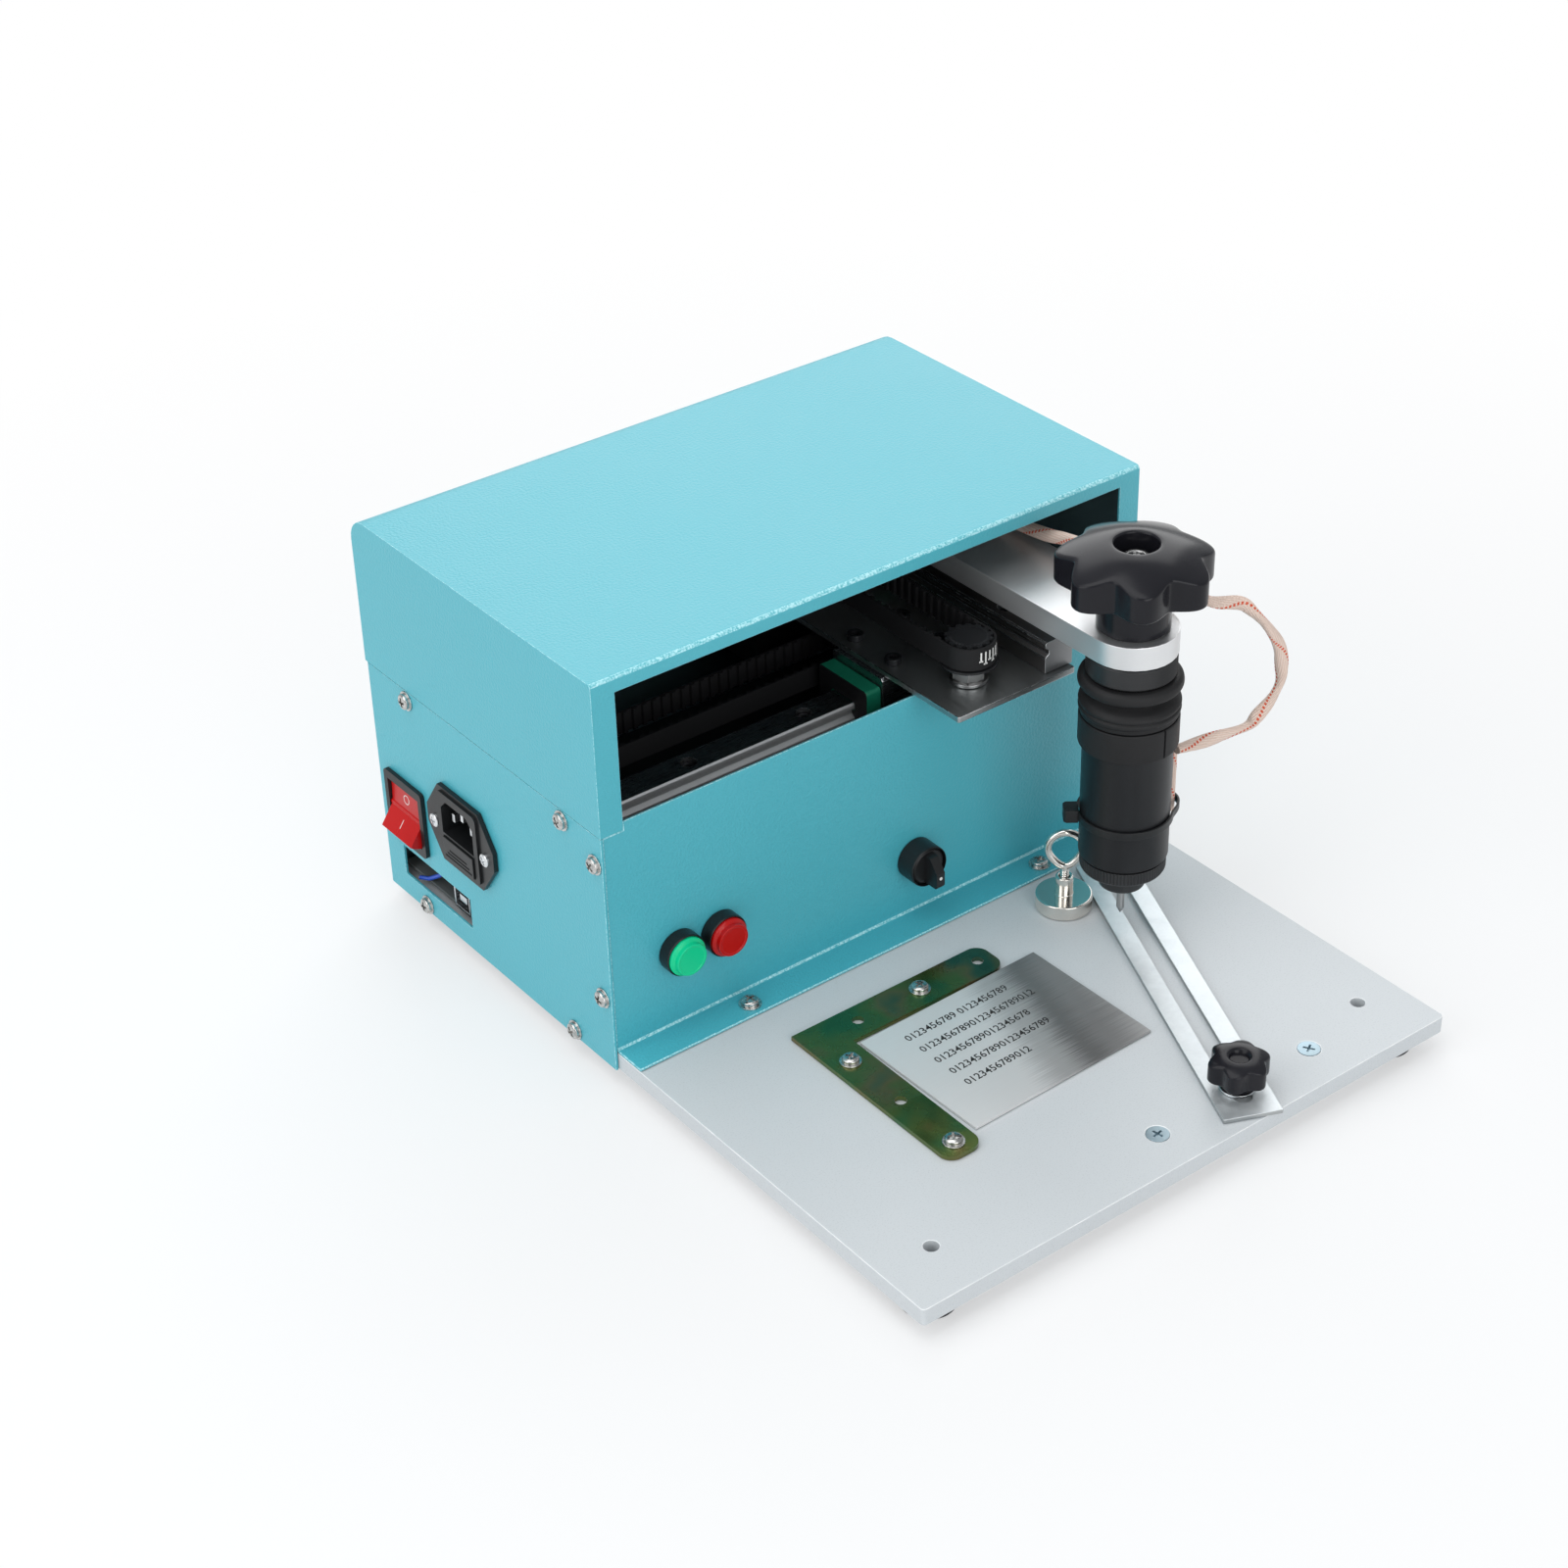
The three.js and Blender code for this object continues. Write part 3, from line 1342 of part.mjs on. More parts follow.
function yIdlerPulley() {
  const top = beltWidth + idlerHubRise;
  const headSeat = top - runGap - idlerHeadHeight - runGap;
  const low = idlerSeat - yBeltRise + runGap;
  return cut(
    joined(toothedWheel(true, false), post(pulleyRootRadius, low, top, 0, 0, roundSides)),
    post(idlerShaftRadius + runGap, low - cutOverrun, top),
    post(idlerHeadRadius + runGap, headSeat, top + cutOverrun),
  );
}

add(machine, 'y_plate', yPlate(), looks.darkSteel);
// The Y axis is laid out along its own X, which points to the back of the machine
const yAxis = groupAt(machine, yRailX, 0, yPlateTop);
yAxis.rotation.z = Math.PI / 2;
const yRailLength = yRailRearY - yRailFrontY;
add(groupAt(yAxis, yRailFrontY, 0, 0), 'y_rail', rail(yRailLength, yRailFirstHole), looks.brightSteel);
const yGuideNames = { block: 'y_block', low: 'y_cap_front', high: 'y_cap_rear' };
addGuide(yAxis, yGuideNames, yBlockFrontY + blockLength / 2);

const yDriveDrop = yBeltZ - yPlateTop;
add(groupAt(machine, yBeltX, yMotorY, yPlateZ + seatGap), 'y_motor', motor(), looks.blackPlastic);
add(
  groupAt(machine, yBeltX, yMotorY, yBeltZ), 'y_motor_pulley',
  drivePulley(yDriveDrop - runGap, yDriveDrop + yPlateThick + motorBoreDepth - cutOverrun), looks.aluminium,
);
add(groupAt(machine, yBeltX, yIdlerY, yPlateTop), 'y_idler_bolt', idlerBolt(), looks.brightSteel);
add(groupAt(machine, yBeltX, yIdlerY, yBeltZ), 'y_idler_pulley', yIdlerPulley(), looks.aluminium);
const yBeltGroup = groupAt(machine, yBeltX, yIdlerY, yBeltZ);
yBeltGroup.rotation.z = Math.PI / 2;
add(yBeltGroup, 'y_belt', belt(yBeltPulleySpan), looks.belt);

// Arm on the Y block, with the clamp that holds the Y belt

const yBlockTop = yPlateTop + blockHeight;
const armTop = yBlockTop + armSeatThick;
const armZ = armTop - armThick;
const leadPoints = leadRoute.map(([x, y, z]) => new THREE.Vector3(armCentreX + x, headY + y, z));
const armLeft = armCentreX - armWidth / 2;
const armRight = armCentreX + armWidth / 2;

function arm() {
  const shape = new THREE.Shape();
  shape.moveTo(armRight, armRearY);
  shape.lineTo(armLeft, armRearY);
  shape.lineTo(armLeft, headY);
  shape.absarc(armCentreX, headY, armWidth / 2, Math.PI, 2 * Math.PI, false);
  const anchorX = armRight - anchorInset;
  const anchor = block(
    anchorX - anchorWidth / 2, anchorX + anchorWidth / 2, anchorY, anchorY + anchorLength,
    armTop - cutOverrun, armTop + anchorHeight,
  );
  const end = leadPoints[0];
  const seat = block(
    armLeft - cutOverrun, yRailX + blockWidth / 2 + seatGap, yBlockFrontY + capLength - seatGap,
    armRearY + cutOverrun, armZ - cutOverrun, yBlockTop + seatGap,
  );
  const leadHole = runAlongY(
    new THREE.Shape().absarc(end.x, end.z, leadRadius + runGap, 0, 2 * Math.PI, false),
    anchorY - cutOverrun, anchorY + anchorLength + cutOverrun, arcSteps + 1,
  );
  const bore = post(liftScrewRadius + runGap, armZ - cutOverrun, armTop + cutOverrun, armCentreX, headY);
  return cut(joined(slab(shape, armZ, armTop, smallSides / 2), anchor), seat, leadHole, bore);
}

function yBeltClamp() {
  const outerX = yBeltX + beltOuterRadius + runGap;
  const innerX = yBeltX + beltTipRadius - runGap;
  const front = yClampY - yClampLength / 2;
  const rear = yClampY + yClampLength / 2;
  const jawRight = yRailX - blockWidth / 2 - runGap;
  const roof = yBeltZ + beltWidth + runGap;
  const clampRoofTop = roof + clampRoof;
  const left = innerX - clampInnerJaw;
  return joined(
    block(outerX, jawRight, front, rear, yBeltZ, clampRoofTop),
    block(left, innerX, front, rear, yBeltZ, clampRoofTop),
    block(left, jawRight, front, rear, roof, clampRoofTop),
    block(outerX, outerX + clampUpright, front, rear, roof, armTop),
    block(outerX, armLeft - seatGap, front, rear, yBlockTop + seatGap, armTop),
  );
}

add(machine, 'arm', arm(), looks.aluminium);
add(machine, 'y_belt_clamp', yBeltClamp(), looks.darkSteel);

// Marking head: everything here is turned about the head's own axis

const head = groupAt(machine, armCentreX, headY, 0);
const ringTop = armZ - seatGap;
const ringBottom = ringTop - ringHeight;
const bellowsTop = ringBottom - seatGap;
const bellowsBottom = bellowsTop - bellowsHeight;
const cuffTop = bellowsBottom - seatGap;
const cuffBottom = cuffTop - cuffHeight;
const bodyRadius = cuffRadius - cuffWall - seatGap;
const stemTop = cuffTop + bodyStemRise;

function knurledRing() {
  return turned([
    [stemRadius + runGap, ringBottom], [ringRadius - ringChamfer, ringBottom],
    [ringRadius, ringBottom + ringChamfer], [ringRadius, ringTop - ringChamfer],
    [ringRadius - ringChamfer, ringTop], [stemRadius + runGap, ringTop],
    [stemRadius + runGap, ringBottom],
  ], fineSides);
}

function bellows() {
  const lipBottom = bellowsTop - lipHeight;
  const neck = bellowsTop - neckDrop;
  const bulge = bellowsTop - bulgeDrop;
  const grooveTop = bulge - grooveHeight;
  const ridgeBottom = grooveTop - ridgeHeight;
  return turned([
    [bellowsBore, bellowsBottom], [bulgeRadius - grooveDepth, bellowsBottom],
    [bulgeRadius - grooveDepth, ridgeBottom - grooveHeight / 2], [bulgeRadius, ridgeBottom],
    [bulgeRadius, grooveTop - grooveHeight / 2], [bulgeRadius - grooveDepth, grooveTop],
    [bulgeRadius, bulge], [bulgeRadius - grooveDepth / 2, bulge + grooveHeight],
    [neckRadius + bellowsFold, neck - grooveHeight], [neckRadius, neck], [neckRadius, neck + grooveHeight],
    [neckRadius + bellowsFold, lipBottom - grooveHeight / 2], [lipRadius - bellowsFold / 2, lipBottom],
    [lipRadius, lipBottom + grooveHeight], [lipRadius, bellowsTop - lipEdge],
    [lipRadius - bellowsFold, bellowsTop], [bellowsBore, bellowsTop], [bellowsBore, bellowsBottom],
  ], fineSides);
}

function cuff() {
  const bore = bodyRadius + seatGap;
  return turned([
    [bore, cuffBottom], [cuffRadius - cuffChamfer, cuffBottom], [cuffRadius, cuffBottom + cuffChamfer],
    [cuffRadius, cuffTop], [bore, cuffTop], [bore, cuffBottom],
  ], fineSides);
}

const pinTop = pinTipZ + pinLength;
const chamberBottom = pinTop - pinCollarHeight - pinTravel - runGap;
const chamberTop = chamberBottom + pinChamberHeight;
const spigotBottom = bodyBottomZ - spigotDrop;

function headBody() {
  return turned([
    [pinRadius + runGap, spigotBottom], [spigotRadius, spigotBottom], [spigotRadius, bodyBottomZ],
    [bodyRadius - bodyEdge, bodyBottomZ], [bodyRadius, bodyBottomZ + bodyEdge],
    [bodyRadius, cuffTop - bodyEdge], [bodyRadius - bodyEdge, cuffTop],
    [stemRadius, cuffTop], [stemRadius, stemTop],
    [liftScrewRadius + runGap, stemTop], [liftScrewRadius + runGap, stemTop - screwBoreDepth],
    [0, stemTop - screwBoreDepth], [0, chamberTop], [pinCollarRadius + runGap, chamberTop],
    [pinCollarRadius + runGap, chamberBottom], [pinRadius + runGap, chamberBottom],
    [pinRadius + runGap, spigotBottom],
  ], fineSides);
}

function endCap() {
  const top = bodyBottomZ - seatGap;
  const bottom = top + seatGap - endCapHeight;
  const nozzleBottom = bottom - nozzleHeight;
  const knurlTop = top - endCapNeckHeight;
  const flutes = Array.from({ length: knurlCount * 2 }, (unused, i) => polar(
    i % 2 ? endCapRadius - knurlDepth : endCapRadius, Math.PI * i / knurlCount,
  ));
  const rim = endCapRadius - knurlDepth;
  const core = turned([
    [0, nozzleBottom], [nozzleRadius - nozzleTaper, nozzleBottom],
    [nozzleRadius, nozzleBottom + nozzleTaper], [nozzleRadius, bottom],
    [rim - endCapRim, bottom], [rim, bottom + endCapRim], [rim, knurlTop],
    [endCapNeckRadius, knurlTop], [endCapNeckRadius, top], [0, top],
  ], fineSides);
  const recess = spigotRadius + runGap;
  return cut(
    joined(core, slab(outline(flutes), bottom + endCapRim + knurlDepth, knurlTop - knurlDepth)),
    post(recess, spigotBottom - seatGap, top + cutOverrun, 0, 0, roundSides),
    post(pinRadius + runGap, nozzleBottom - cutOverrun, top, 0, 0, tinySides),
  );
}

function stylusPin() {
  return turned([
    [0, pinTipZ], [pinRadius, pinTipZ + pinTipHeight], [pinRadius, pinTop - pinCollarHeight],
    [pinCollarRadius, pinTop - pinCollarHeight], [pinCollarRadius, pinTop], [0, pinTop],
  ], tinySides);
}

// The tie's band runs round the head and the end of the lead that lies on it
function cableTie() {
  const bandInner = bodyRadius + seatGap;
  const bandOuter = bandInner + tieThick;
  const [tailX, tailY] = polar(bodyRadius + seatGap + tailRadius, radians(tailAngle));
  const low = tieZ - tieWidth / 2;
  const high = tieZ + tieWidth / 2;
  const headBlock = block(
    bandInner + tieThick / 2, bandOuter + tieHeadReach, -tieHeadWidth / 2, tieHeadWidth / 2,
    tieZ - tieHeadHeight / 2, tieZ + tieHeadHeight / 2,
  ).rotate([0, 0, tieHeadAngle]);
  return cut(
    joined(
      post(bandOuter, low, high, 0, 0, fineSides),
      post(tailRadius + seatGap + tieThick, low, high, tailX, tailY),
      headBlock,
    ),
    post(bandInner, low - cutOverrun, high + cutOverrun, 0, 0, fineSides),
    post(tailRadius + seatGap, low - cutOverrun, high + cutOverrun, tailX, tailY),
  );
}

function leadTail() {
  const [x, y] = polar(bodyRadius + seatGap + tailRadius, radians(tailAngle));
  return post(tailRadius, tieZ - tieWidth / 2 - tailBottomDrop, cuffBottom - seatGap, x, y, tinySides);
}

const knobLow = armTop + seatGap;

function heightKnob() {
  const rimTop = armTop + knobRimHeight;
  const top = armTop + knobTopHeight;
  const hubTop = knobLow + knobHubHeight;
  const dome = turned([
    [0, hubTop], [knobRadius - knobEdge, hubTop], [knobRadius, hubTop + knobEdge],
    [knobRadius, rimTop - knobEdge], [knobRadius - knobEdge, rimTop],
    [knobShoulderRadius, armTop + knobShoulderHeight],
    [knobHoleRadius, top], [0, top],
  ], knobLobes * knobLobeSteps);
  const lobes = slab(
    lobedOutline(knobRadius, knobValleyRadius, knobLobes, knobLobeSteps, radians(knobLobeAngle)),
    hubTop - cutOverrun, top + cutOverrun,
  );
  const hub = post(knobHubRadius, knobLow, hubTop + knobEdge, 0, 0, fineSides);
  return cut(
    joined(dome.intersect(lobes), hub),
    post(knobHoleRadius, top - knobHoleDepth, top + cutOverrun, 0, 0, roundSides),
    post(liftScrewRadius + runGap, knobLow - cutOverrun, top),
  );
}

function liftScrew() {
  const top = armTop + liftScrewRise;
  return turned([
    [0, armZ - liftScrewDrop], [liftScrewRadius, armZ - liftScrewDrop],
    [liftScrewRadius, top - liftScrewChamfer], [liftScrewRadius - liftScrewChamfer, top], [0, top],
  ], smallSides);
}

add(head, 'height_knob', heightKnob(), looks.glossBlack);
add(head, 'lift_screw', liftScrew(), looks.brightSteel);
add(head, 'knurled_ring', knurledRing(), looks.blackPlastic);
add(head, 'bellows', bellows(), looks.rubber);
add(head, 'cuff', cuff(), looks.rubber);
add(head, 'head_body', headBody(), looks.blackPlastic);
add(head, 'end_cap', endCap(), looks.blackPlastic);
add(head, 'stylus_pin', stylusPin(), looks.brightSteel);
add(head, 'cable_tie', cableTie(), looks.blackPlastic);
add(head, 'lead_tail', leadTail(), looks.sleeve);

const leadCurve = new THREE.CatmullRomCurve3(leadPoints);
add(machine, 'head_lead', rope(leadCurve, leadRadius, leadSteps, leadSides), looks.sleeve);

// Corner bracket and nameplate on the bed

function cornerBracket() {
  const [left, back] = [bracketCornerX, bracketCornerY];
  const radius = bracketEndRadius;
  const right = left + bracketLength;
  const front = back - bracketLength;
  const shape = new THREE.Shape();
  shape.moveTo(left, back);
  shape.lineTo(left, front + radius);
  shape.absarc(left + radius, front + radius, radius, Math.PI, Math.PI * 1.5, false);
  shape.lineTo(left + bracketArm - radius, front);
  shape.absarc(left + bracketArm - radius, front + radius, radius, -Math.PI / 2, 0, false);
  shape.lineTo(left + bracketArm, back - bracketArm);
  shape.lineTo(right - radius, back - bracketArm);
  shape.absarc(right - radius, back - bracketArm + radius, radius, -Math.PI / 2, 0, false);
  shape.lineTo(right, back - radius);
  shape.absarc(right - radius, back - radius, radius, 0, Math.PI / 2, false);
  const addHole = (x, y) => {
    shape.holes.push(new THREE.Path().absarc(x, y, bracketHoleRadius, 0, 2 * Math.PI, true));
  };
  for (const reach of bracketBackHoles) addHole(left + reach, back - bracketHoleInset);
  for (const reach of bracketFrontHoles) addHole(left + bracketHoleInset, back - reach);
  return slab(shape, seatGap, bracketThick + seatGap, holeSteps);
}

add(machine, 'corner_bracket', cornerBracket(), looks.chromate);
const blank = groupAt(machine, blankX, blankY, seatGap);
blank.rotation.z = radians(blankTurn);
add(blank, 'nameplate_blank', block(0, blankLength, -blankWidth, 0, 0, blankThick), looks.brightSteel);

// Slotted strap: laid out along its own Y, from the stud that clamps it

function strap() {
  const shape = new THREE.Shape();
  const half = strapWidth / 2;
  const [front, rear] = [-strapFrontReach, strapLength - strapFrontReach];
  shape.moveTo(-half, front);
  shape.lineTo(half, front);
  shape.lineTo(half, rear);
  shape.lineTo(-half, rear);
  const slotHalf = strapSlotWidth / 2;
  const slot = new THREE.Path();
  slot.moveTo(-slotHalf, -strapSlotFront + slotHalf);
  slot.lineTo(-slotHalf, rear - strapSlotRear);
  slot.absarc(0, rear - strapSlotRear, slotHalf, Math.PI, 0, true);
  slot.lineTo(slotHalf, -strapSlotFront + slotHalf);
  slot.absarc(0, -strapSlotFront + slotHalf, slotHalf, 0, -Math.PI, true);
  shape.holes.push(slot);
  return slab(shape, seatGap, strapThick + seatGap, holeSteps);
}

const washerLow = seatGap + strapThick + seatGap;
const knobSeat = washerLow + strapWasherThick + seatGap;

function strapWasher() {
  const bore = strapStudRadius + runGap;
  const high = washerLow + strapWasherThick;
  return turned([
    [bore, washerLow], [strapWasherRadius, washerLow], [strapWasherRadius, high], [bore, high],
    [bore, washerLow],
  ]);
}

function strapKnob() {
  const headLow = knobSeat + strapHubHeight;
  const top = headLow + strapKnobHeight;
  const edge = strapKnobEdge;
  const dome = turned([
    [0, headLow], [strapKnobRadius, headLow], [strapKnobRadius, top - edge * 2],
    [strapKnobRadius - edge, top - edge / 2], [strapKnobRadius - edge * 3, top], [0, top],
  ], strapKnobLobes * strapKnobSteps);
  const lobes = slab(
    lobedOutline(strapKnobRadius, strapKnobValley, strapKnobLobes, strapKnobSteps, 0),
    headLow - cutOverrun, top + cutOverrun,
  );
  return cut(
    joined(
      dome.intersect(lobes),
      post(strapHubRadius, knobSeat, headLow + edge),
      post(strapStudRadius, -strapStudDrop, knobSeat + edge),
    ),
    post(strapKnobDimple, top - strapKnobDimpleDepth, top + cutOverrun),
  );
}

const strapGroup = groupAt(machine, strapStudX, strapStudY, 0);
strapGroup.rotation.z = -radians(strapTurn);
add(strapGroup, 'strap', strap(), looks.zinc);
add(strapGroup, 'strap_washer', strapWasher(), looks.zinc);
add(strapGroup, 'strap_knob', strapKnob(), looks.glossBlack);

// Magnet and its eye

function magnetPot() {
  const top = seatGap + magnetHeight;
  const bossTop = top + magnetBossHeight;
  return turned([
    [0, seatGap], [magnetRadius, seatGap], [magnetRadius, top - magnetEdge],
    [magnetRadius - magnetEdge, top], [magnetBossRadius, top], [magnetBossRadius, bossTop - magnetEdge],
    [magnetBossRadius - magnetEdge, bossTop], [magnetBossBore, bossTop],
    [magnetBossBore, bossTop - magnetBossBoreDepth],
    [0, bossTop - magnetBossBoreDepth],
  ], fineSides);
}

// A pear-shaped loop of wire on a straight shank
function eyeBolt() {
  const bossTop = seatGap + magnetHeight + magnetBossHeight;
  const low = bossTop + eyeShankRise;
  const middle = low + eyeHeight - eyeHalfWidth - eyeWireRadius;
  const loop = [];
  for (let i = 0; i < eyeSteps; i += 1) {
    const angle = 2 * Math.PI * i / eyeSteps - Math.PI / 2;
    const below = Math.max(0, -Math.sin(angle));
    const reach = eyeHalfWidth + (middle - low - eyeHalfWidth) * below ** eyeTaperPower;
    loop.push(new THREE.Vector3(eyeHalfWidth * Math.cos(angle), 0, middle + reach * Math.sin(angle)));
  }
  const curve = new THREE.CatmullRomCurve3(loop, true);
  const ring = ringAlong(curve, ringPoints(eyeWireRadius, eyeSides), eyeSteps);
  const shank = post(eyeWireRadius, bossTop - eyeShankDrop, low + eyeWireRadius, 0, 0, eyeSides);
  return joined(ring, shank);
}

// A closed ring with the given section, whose first and last rings are the same
function ringAlong(curve, section, steps) {
  const positions = [];
  const index = [];
  const count = section.length;
  for (let i = 0; i < steps; i += 1) {
    const centre = curve.getPointAt(i / steps);
    const along = curve.getTangentAt(i / steps);
    const side = new THREE.Vector3().crossVectors(Y, along).normalize();
    for (const point of section) {
      const corner = centre.clone().addScaledVector(side, point[0]).addScaledVector(Y, point[1]);
      positions.push(corner.x, corner.y, corner.z);
    }
    for (let j = 0; j < count; j += 1) {
      const [a, b] = [i * count + j, i * count + (j + 1) % count];
      const [c, d] = [((i + 1) % steps) * count + j, ((i + 1) % steps) * count + (j + 1) % count];
      index.push(a, c, b, b, c, d);
    }
  }
  const geometry = new THREE.BufferGeometry();
  geometry.setAttribute('position', new THREE.Float32BufferAttribute(positions, 3));
  geometry.setIndex(index);
  return solid(geometry);
}

const magnet = groupAt(machine, magnetX, magnetY, 0);
add(magnet, 'magnet_pot', magnetPot(), looks.brightSteel);
const eye = groupAt(magnet, 0, 0, 0);
eye.rotation.z = radians(eyeTurn);
add(eye, 'eye_bolt', eyeBolt(), looks.brightSteel);

// The origin lies under the middle of the machine, on the surface that its feet stand on.
// The lead hangs past the right side and is left out of this middle.
machine.updateMatrixWorld(true);
const extent = new THREE.Box3();
for (const piece of machine.children) {
  if (piece.name !== 'head_lead') extent.expandByObject(piece, true);
}
const middle = extent.getCenter(new THREE.Vector3());
machine.position.set(-middle.x, -middle.y, -extent.min.z);

export default machine;
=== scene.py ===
"""Looks of a tabletop nameplate marking machine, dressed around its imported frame.

Lengths are millimetres in the machine's own layout: X to the right and Y to the back from the left front
corner of the work bed, Z up from the bed's top face. Form turns them into the frame's metres.
"""

import json
import logging
import math
from dataclasses import dataclass
from enum import Enum
from functools import lru_cache
from typing import Callable, Iterable, Optional, Sequence, Union

import bmesh
import bpy
from mathutils import Matrix, Vector


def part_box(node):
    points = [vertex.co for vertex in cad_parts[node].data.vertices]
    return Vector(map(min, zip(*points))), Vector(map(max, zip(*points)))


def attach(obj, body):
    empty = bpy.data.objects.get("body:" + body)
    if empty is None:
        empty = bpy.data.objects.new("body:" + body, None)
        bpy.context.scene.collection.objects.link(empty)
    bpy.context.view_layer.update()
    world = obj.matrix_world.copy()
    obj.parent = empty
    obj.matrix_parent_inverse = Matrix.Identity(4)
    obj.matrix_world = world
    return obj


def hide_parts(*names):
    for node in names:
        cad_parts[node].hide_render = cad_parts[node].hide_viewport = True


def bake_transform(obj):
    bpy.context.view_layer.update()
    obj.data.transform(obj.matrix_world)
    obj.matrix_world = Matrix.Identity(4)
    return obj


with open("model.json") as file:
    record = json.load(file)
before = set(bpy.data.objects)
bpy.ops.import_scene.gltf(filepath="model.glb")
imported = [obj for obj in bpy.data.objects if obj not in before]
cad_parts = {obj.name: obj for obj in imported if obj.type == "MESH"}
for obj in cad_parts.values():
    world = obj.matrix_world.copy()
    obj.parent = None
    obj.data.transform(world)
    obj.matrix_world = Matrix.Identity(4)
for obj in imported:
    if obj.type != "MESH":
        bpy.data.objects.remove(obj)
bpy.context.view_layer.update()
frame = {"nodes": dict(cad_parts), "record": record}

MM = 0.001
BED_LOW, BED_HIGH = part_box("base_plate")
DATUM = Vector((BED_LOW.x, BED_LOW.y, BED_HIGH.z))
TO_METRES = Matrix.Translation(DATUM) @ Matrix.Scale(MM, 4)
BODIES: dict[str, str] = {
    node: body for body, nodes in frame["record"]["behaviour"]["bodies"].items() for node in nodes
}

Flat = tuple[float, float]
Spot = tuple[float, float, float]
Colour = tuple[float, float, float]
Wave = Callable[[float, int], float]
Tree = bpy.types.NodeTree
Node = bpy.types.Node
Socket = bpy.types.NodeSocket

LEVEL = Matrix.Identity(4)
WHITE: Colour = (1.0, 1.0, 1.0)

# Roundings of a profile: their longest share of a side, the shortest one made, and the angle left alone
CORNER_SHARE = 0.45
SHORTEST = 1e-4
STRAIGHT = math.radians(172)

# A radius below this is a point on the axis, in millimetres
ON_AXIS = 1e-6

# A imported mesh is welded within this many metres, and its faces are joined below the first angle.
# Edges sharper than the second one are rounded.
WELD = 2e-6
FLAT_ANGLE = math.radians(0.6)
EDGE_ANGLE = math.radians(28)

# How many times longer than wide the scratches of a brushed face are
STRETCH = 40.0

# Degrees that a row's first screw is turned by, and each next one further
FIRST_TURN, NEXT_TURN = 9, 23

log = logging.getLogger("marking_machine")


# Places and turns


def turned_to(x_axis: Spot, y_axis: Spot, z_axis: Spot, origin: Spot) -> Matrix:
    """Makes the matrix of a stand from its axes and origin.

    Args:
        x_axis: Where the stand's X points.
        y_axis: Where the stand's Y points.
        z_axis: Where the stand's Z points.
        origin: The stand's origin in machine millimetres.

    Returns:
        The stand's matrix.
    """
    turn = Matrix((x_axis, y_axis, z_axis)).transposed().to_4x4()
    return Matrix.Translation(origin) @ turn


def left_wall(y: float, z: float, wall_x: float = -1.5) -> Matrix:
    """Makes a stand on the left wall, seen from outside: X across, Y up, Z out of the wall.

    Args:
        y: Distance from the bed's front edge.
        z: Height above the bed.
        wall_x: Where the wall's outer face is.

    Returns:
        The stand's matrix.
    """
    return turned_to((0, -1, 0), (0, 0, 1), (-1, 0, 0), (wall_x, y, z))


def front_wall(x: float, z: float, face_y: float = 196.5) -> Matrix:
    """Makes a stand on the front panel: X across, Y up, Z out of the panel.

    Args:
        x: Distance from the left edge.
        z: Height above the bed.
        face_y: Where the panel's face is.

    Returns:
        The stand's matrix.
    """
    return turned_to((1, 0, 0), (0, 0, 1), (0, -1, 0), (x, face_y, z))


def upright(x: float, y: float, z: float = 0.0, degrees: float = 0.0) -> Matrix:
    """Makes a level stand, turned about Z.

    Args:
        x: The stand's X.
        y: The stand's Y.
        z: The stand's Z.
        degrees: How far it is turned, counterclockwise from above.

    Returns:
        The stand's matrix.
    """
    return Matrix.Translation((x, y, z)) @ Matrix.Rotation(math.radians(degrees), 4, "Z")


def uprights(spots: Iterable[Flat], z: float) -> list[Matrix]:
    """Makes a level stand at each of some places.

    Args:
        spots: X and Y of each place.
        z: Their height.

    Returns:
        The stands' matrices.
    """
    return [upright(x, y, z) for x, y in spots]


def in_metres(spot: Sequence[float]) -> Vector:
    """Gives a place in the frame's metres.

    Args:
        spot: The place in machine millimetres.

    Returns:
        The place in metres.
    """
    return DATUM + Vector(spot) * MM


def in_millimetres(spot: Vector) -> Vector:
    """Gives a place in machine millimetres.

    Args:
        spot: The place in the frame's metres.

    Returns:
        The place in millimetres.
    """
    return (spot - DATUM) / MM


def polar(radius: float, degrees: float) -> Flat:
    """Gives the point at a radius and an angle.

    Args:
        radius: Distance from the middle.
        degrees: Angle from X, counterclockwise.

    Returns:
        The point's X and Y.
    """
    angle = math.radians(degrees)
    return radius * math.cos(angle), radius * math.sin(angle)


def circle(radius: float, sides: int) -> list[Flat]:
    """Gives even points round a circle.

    Args:
        radius: Its radius.
        sides: Number of points.

    Returns:
        The points, counterclockwise from X.
    """
    return [polar(radius, 360 * i / sides) for i in range(sides)]


def slab(inner: float, outer: float, low: float, high: float) -> list[Flat]:
    """Gives the profile of a flat ring or disc.

    Args:
        inner: Its inner radius, 0 for a disc.
        outer: Its outer radius.
        low: Height of its underside.
        high: Height of its top.

    Returns:
        The profile, open on the inside.
    """
    return [(inner, low), (outer, low), (outer, high), (inner, high)]


def closed(profile: Sequence[Flat]) -> list[Flat]:
    """Ends a profile where it starts.

    Args:
        profile: The open profile.

    Returns:
        The closed profile.
    """
    return [*profile, profile[0]]


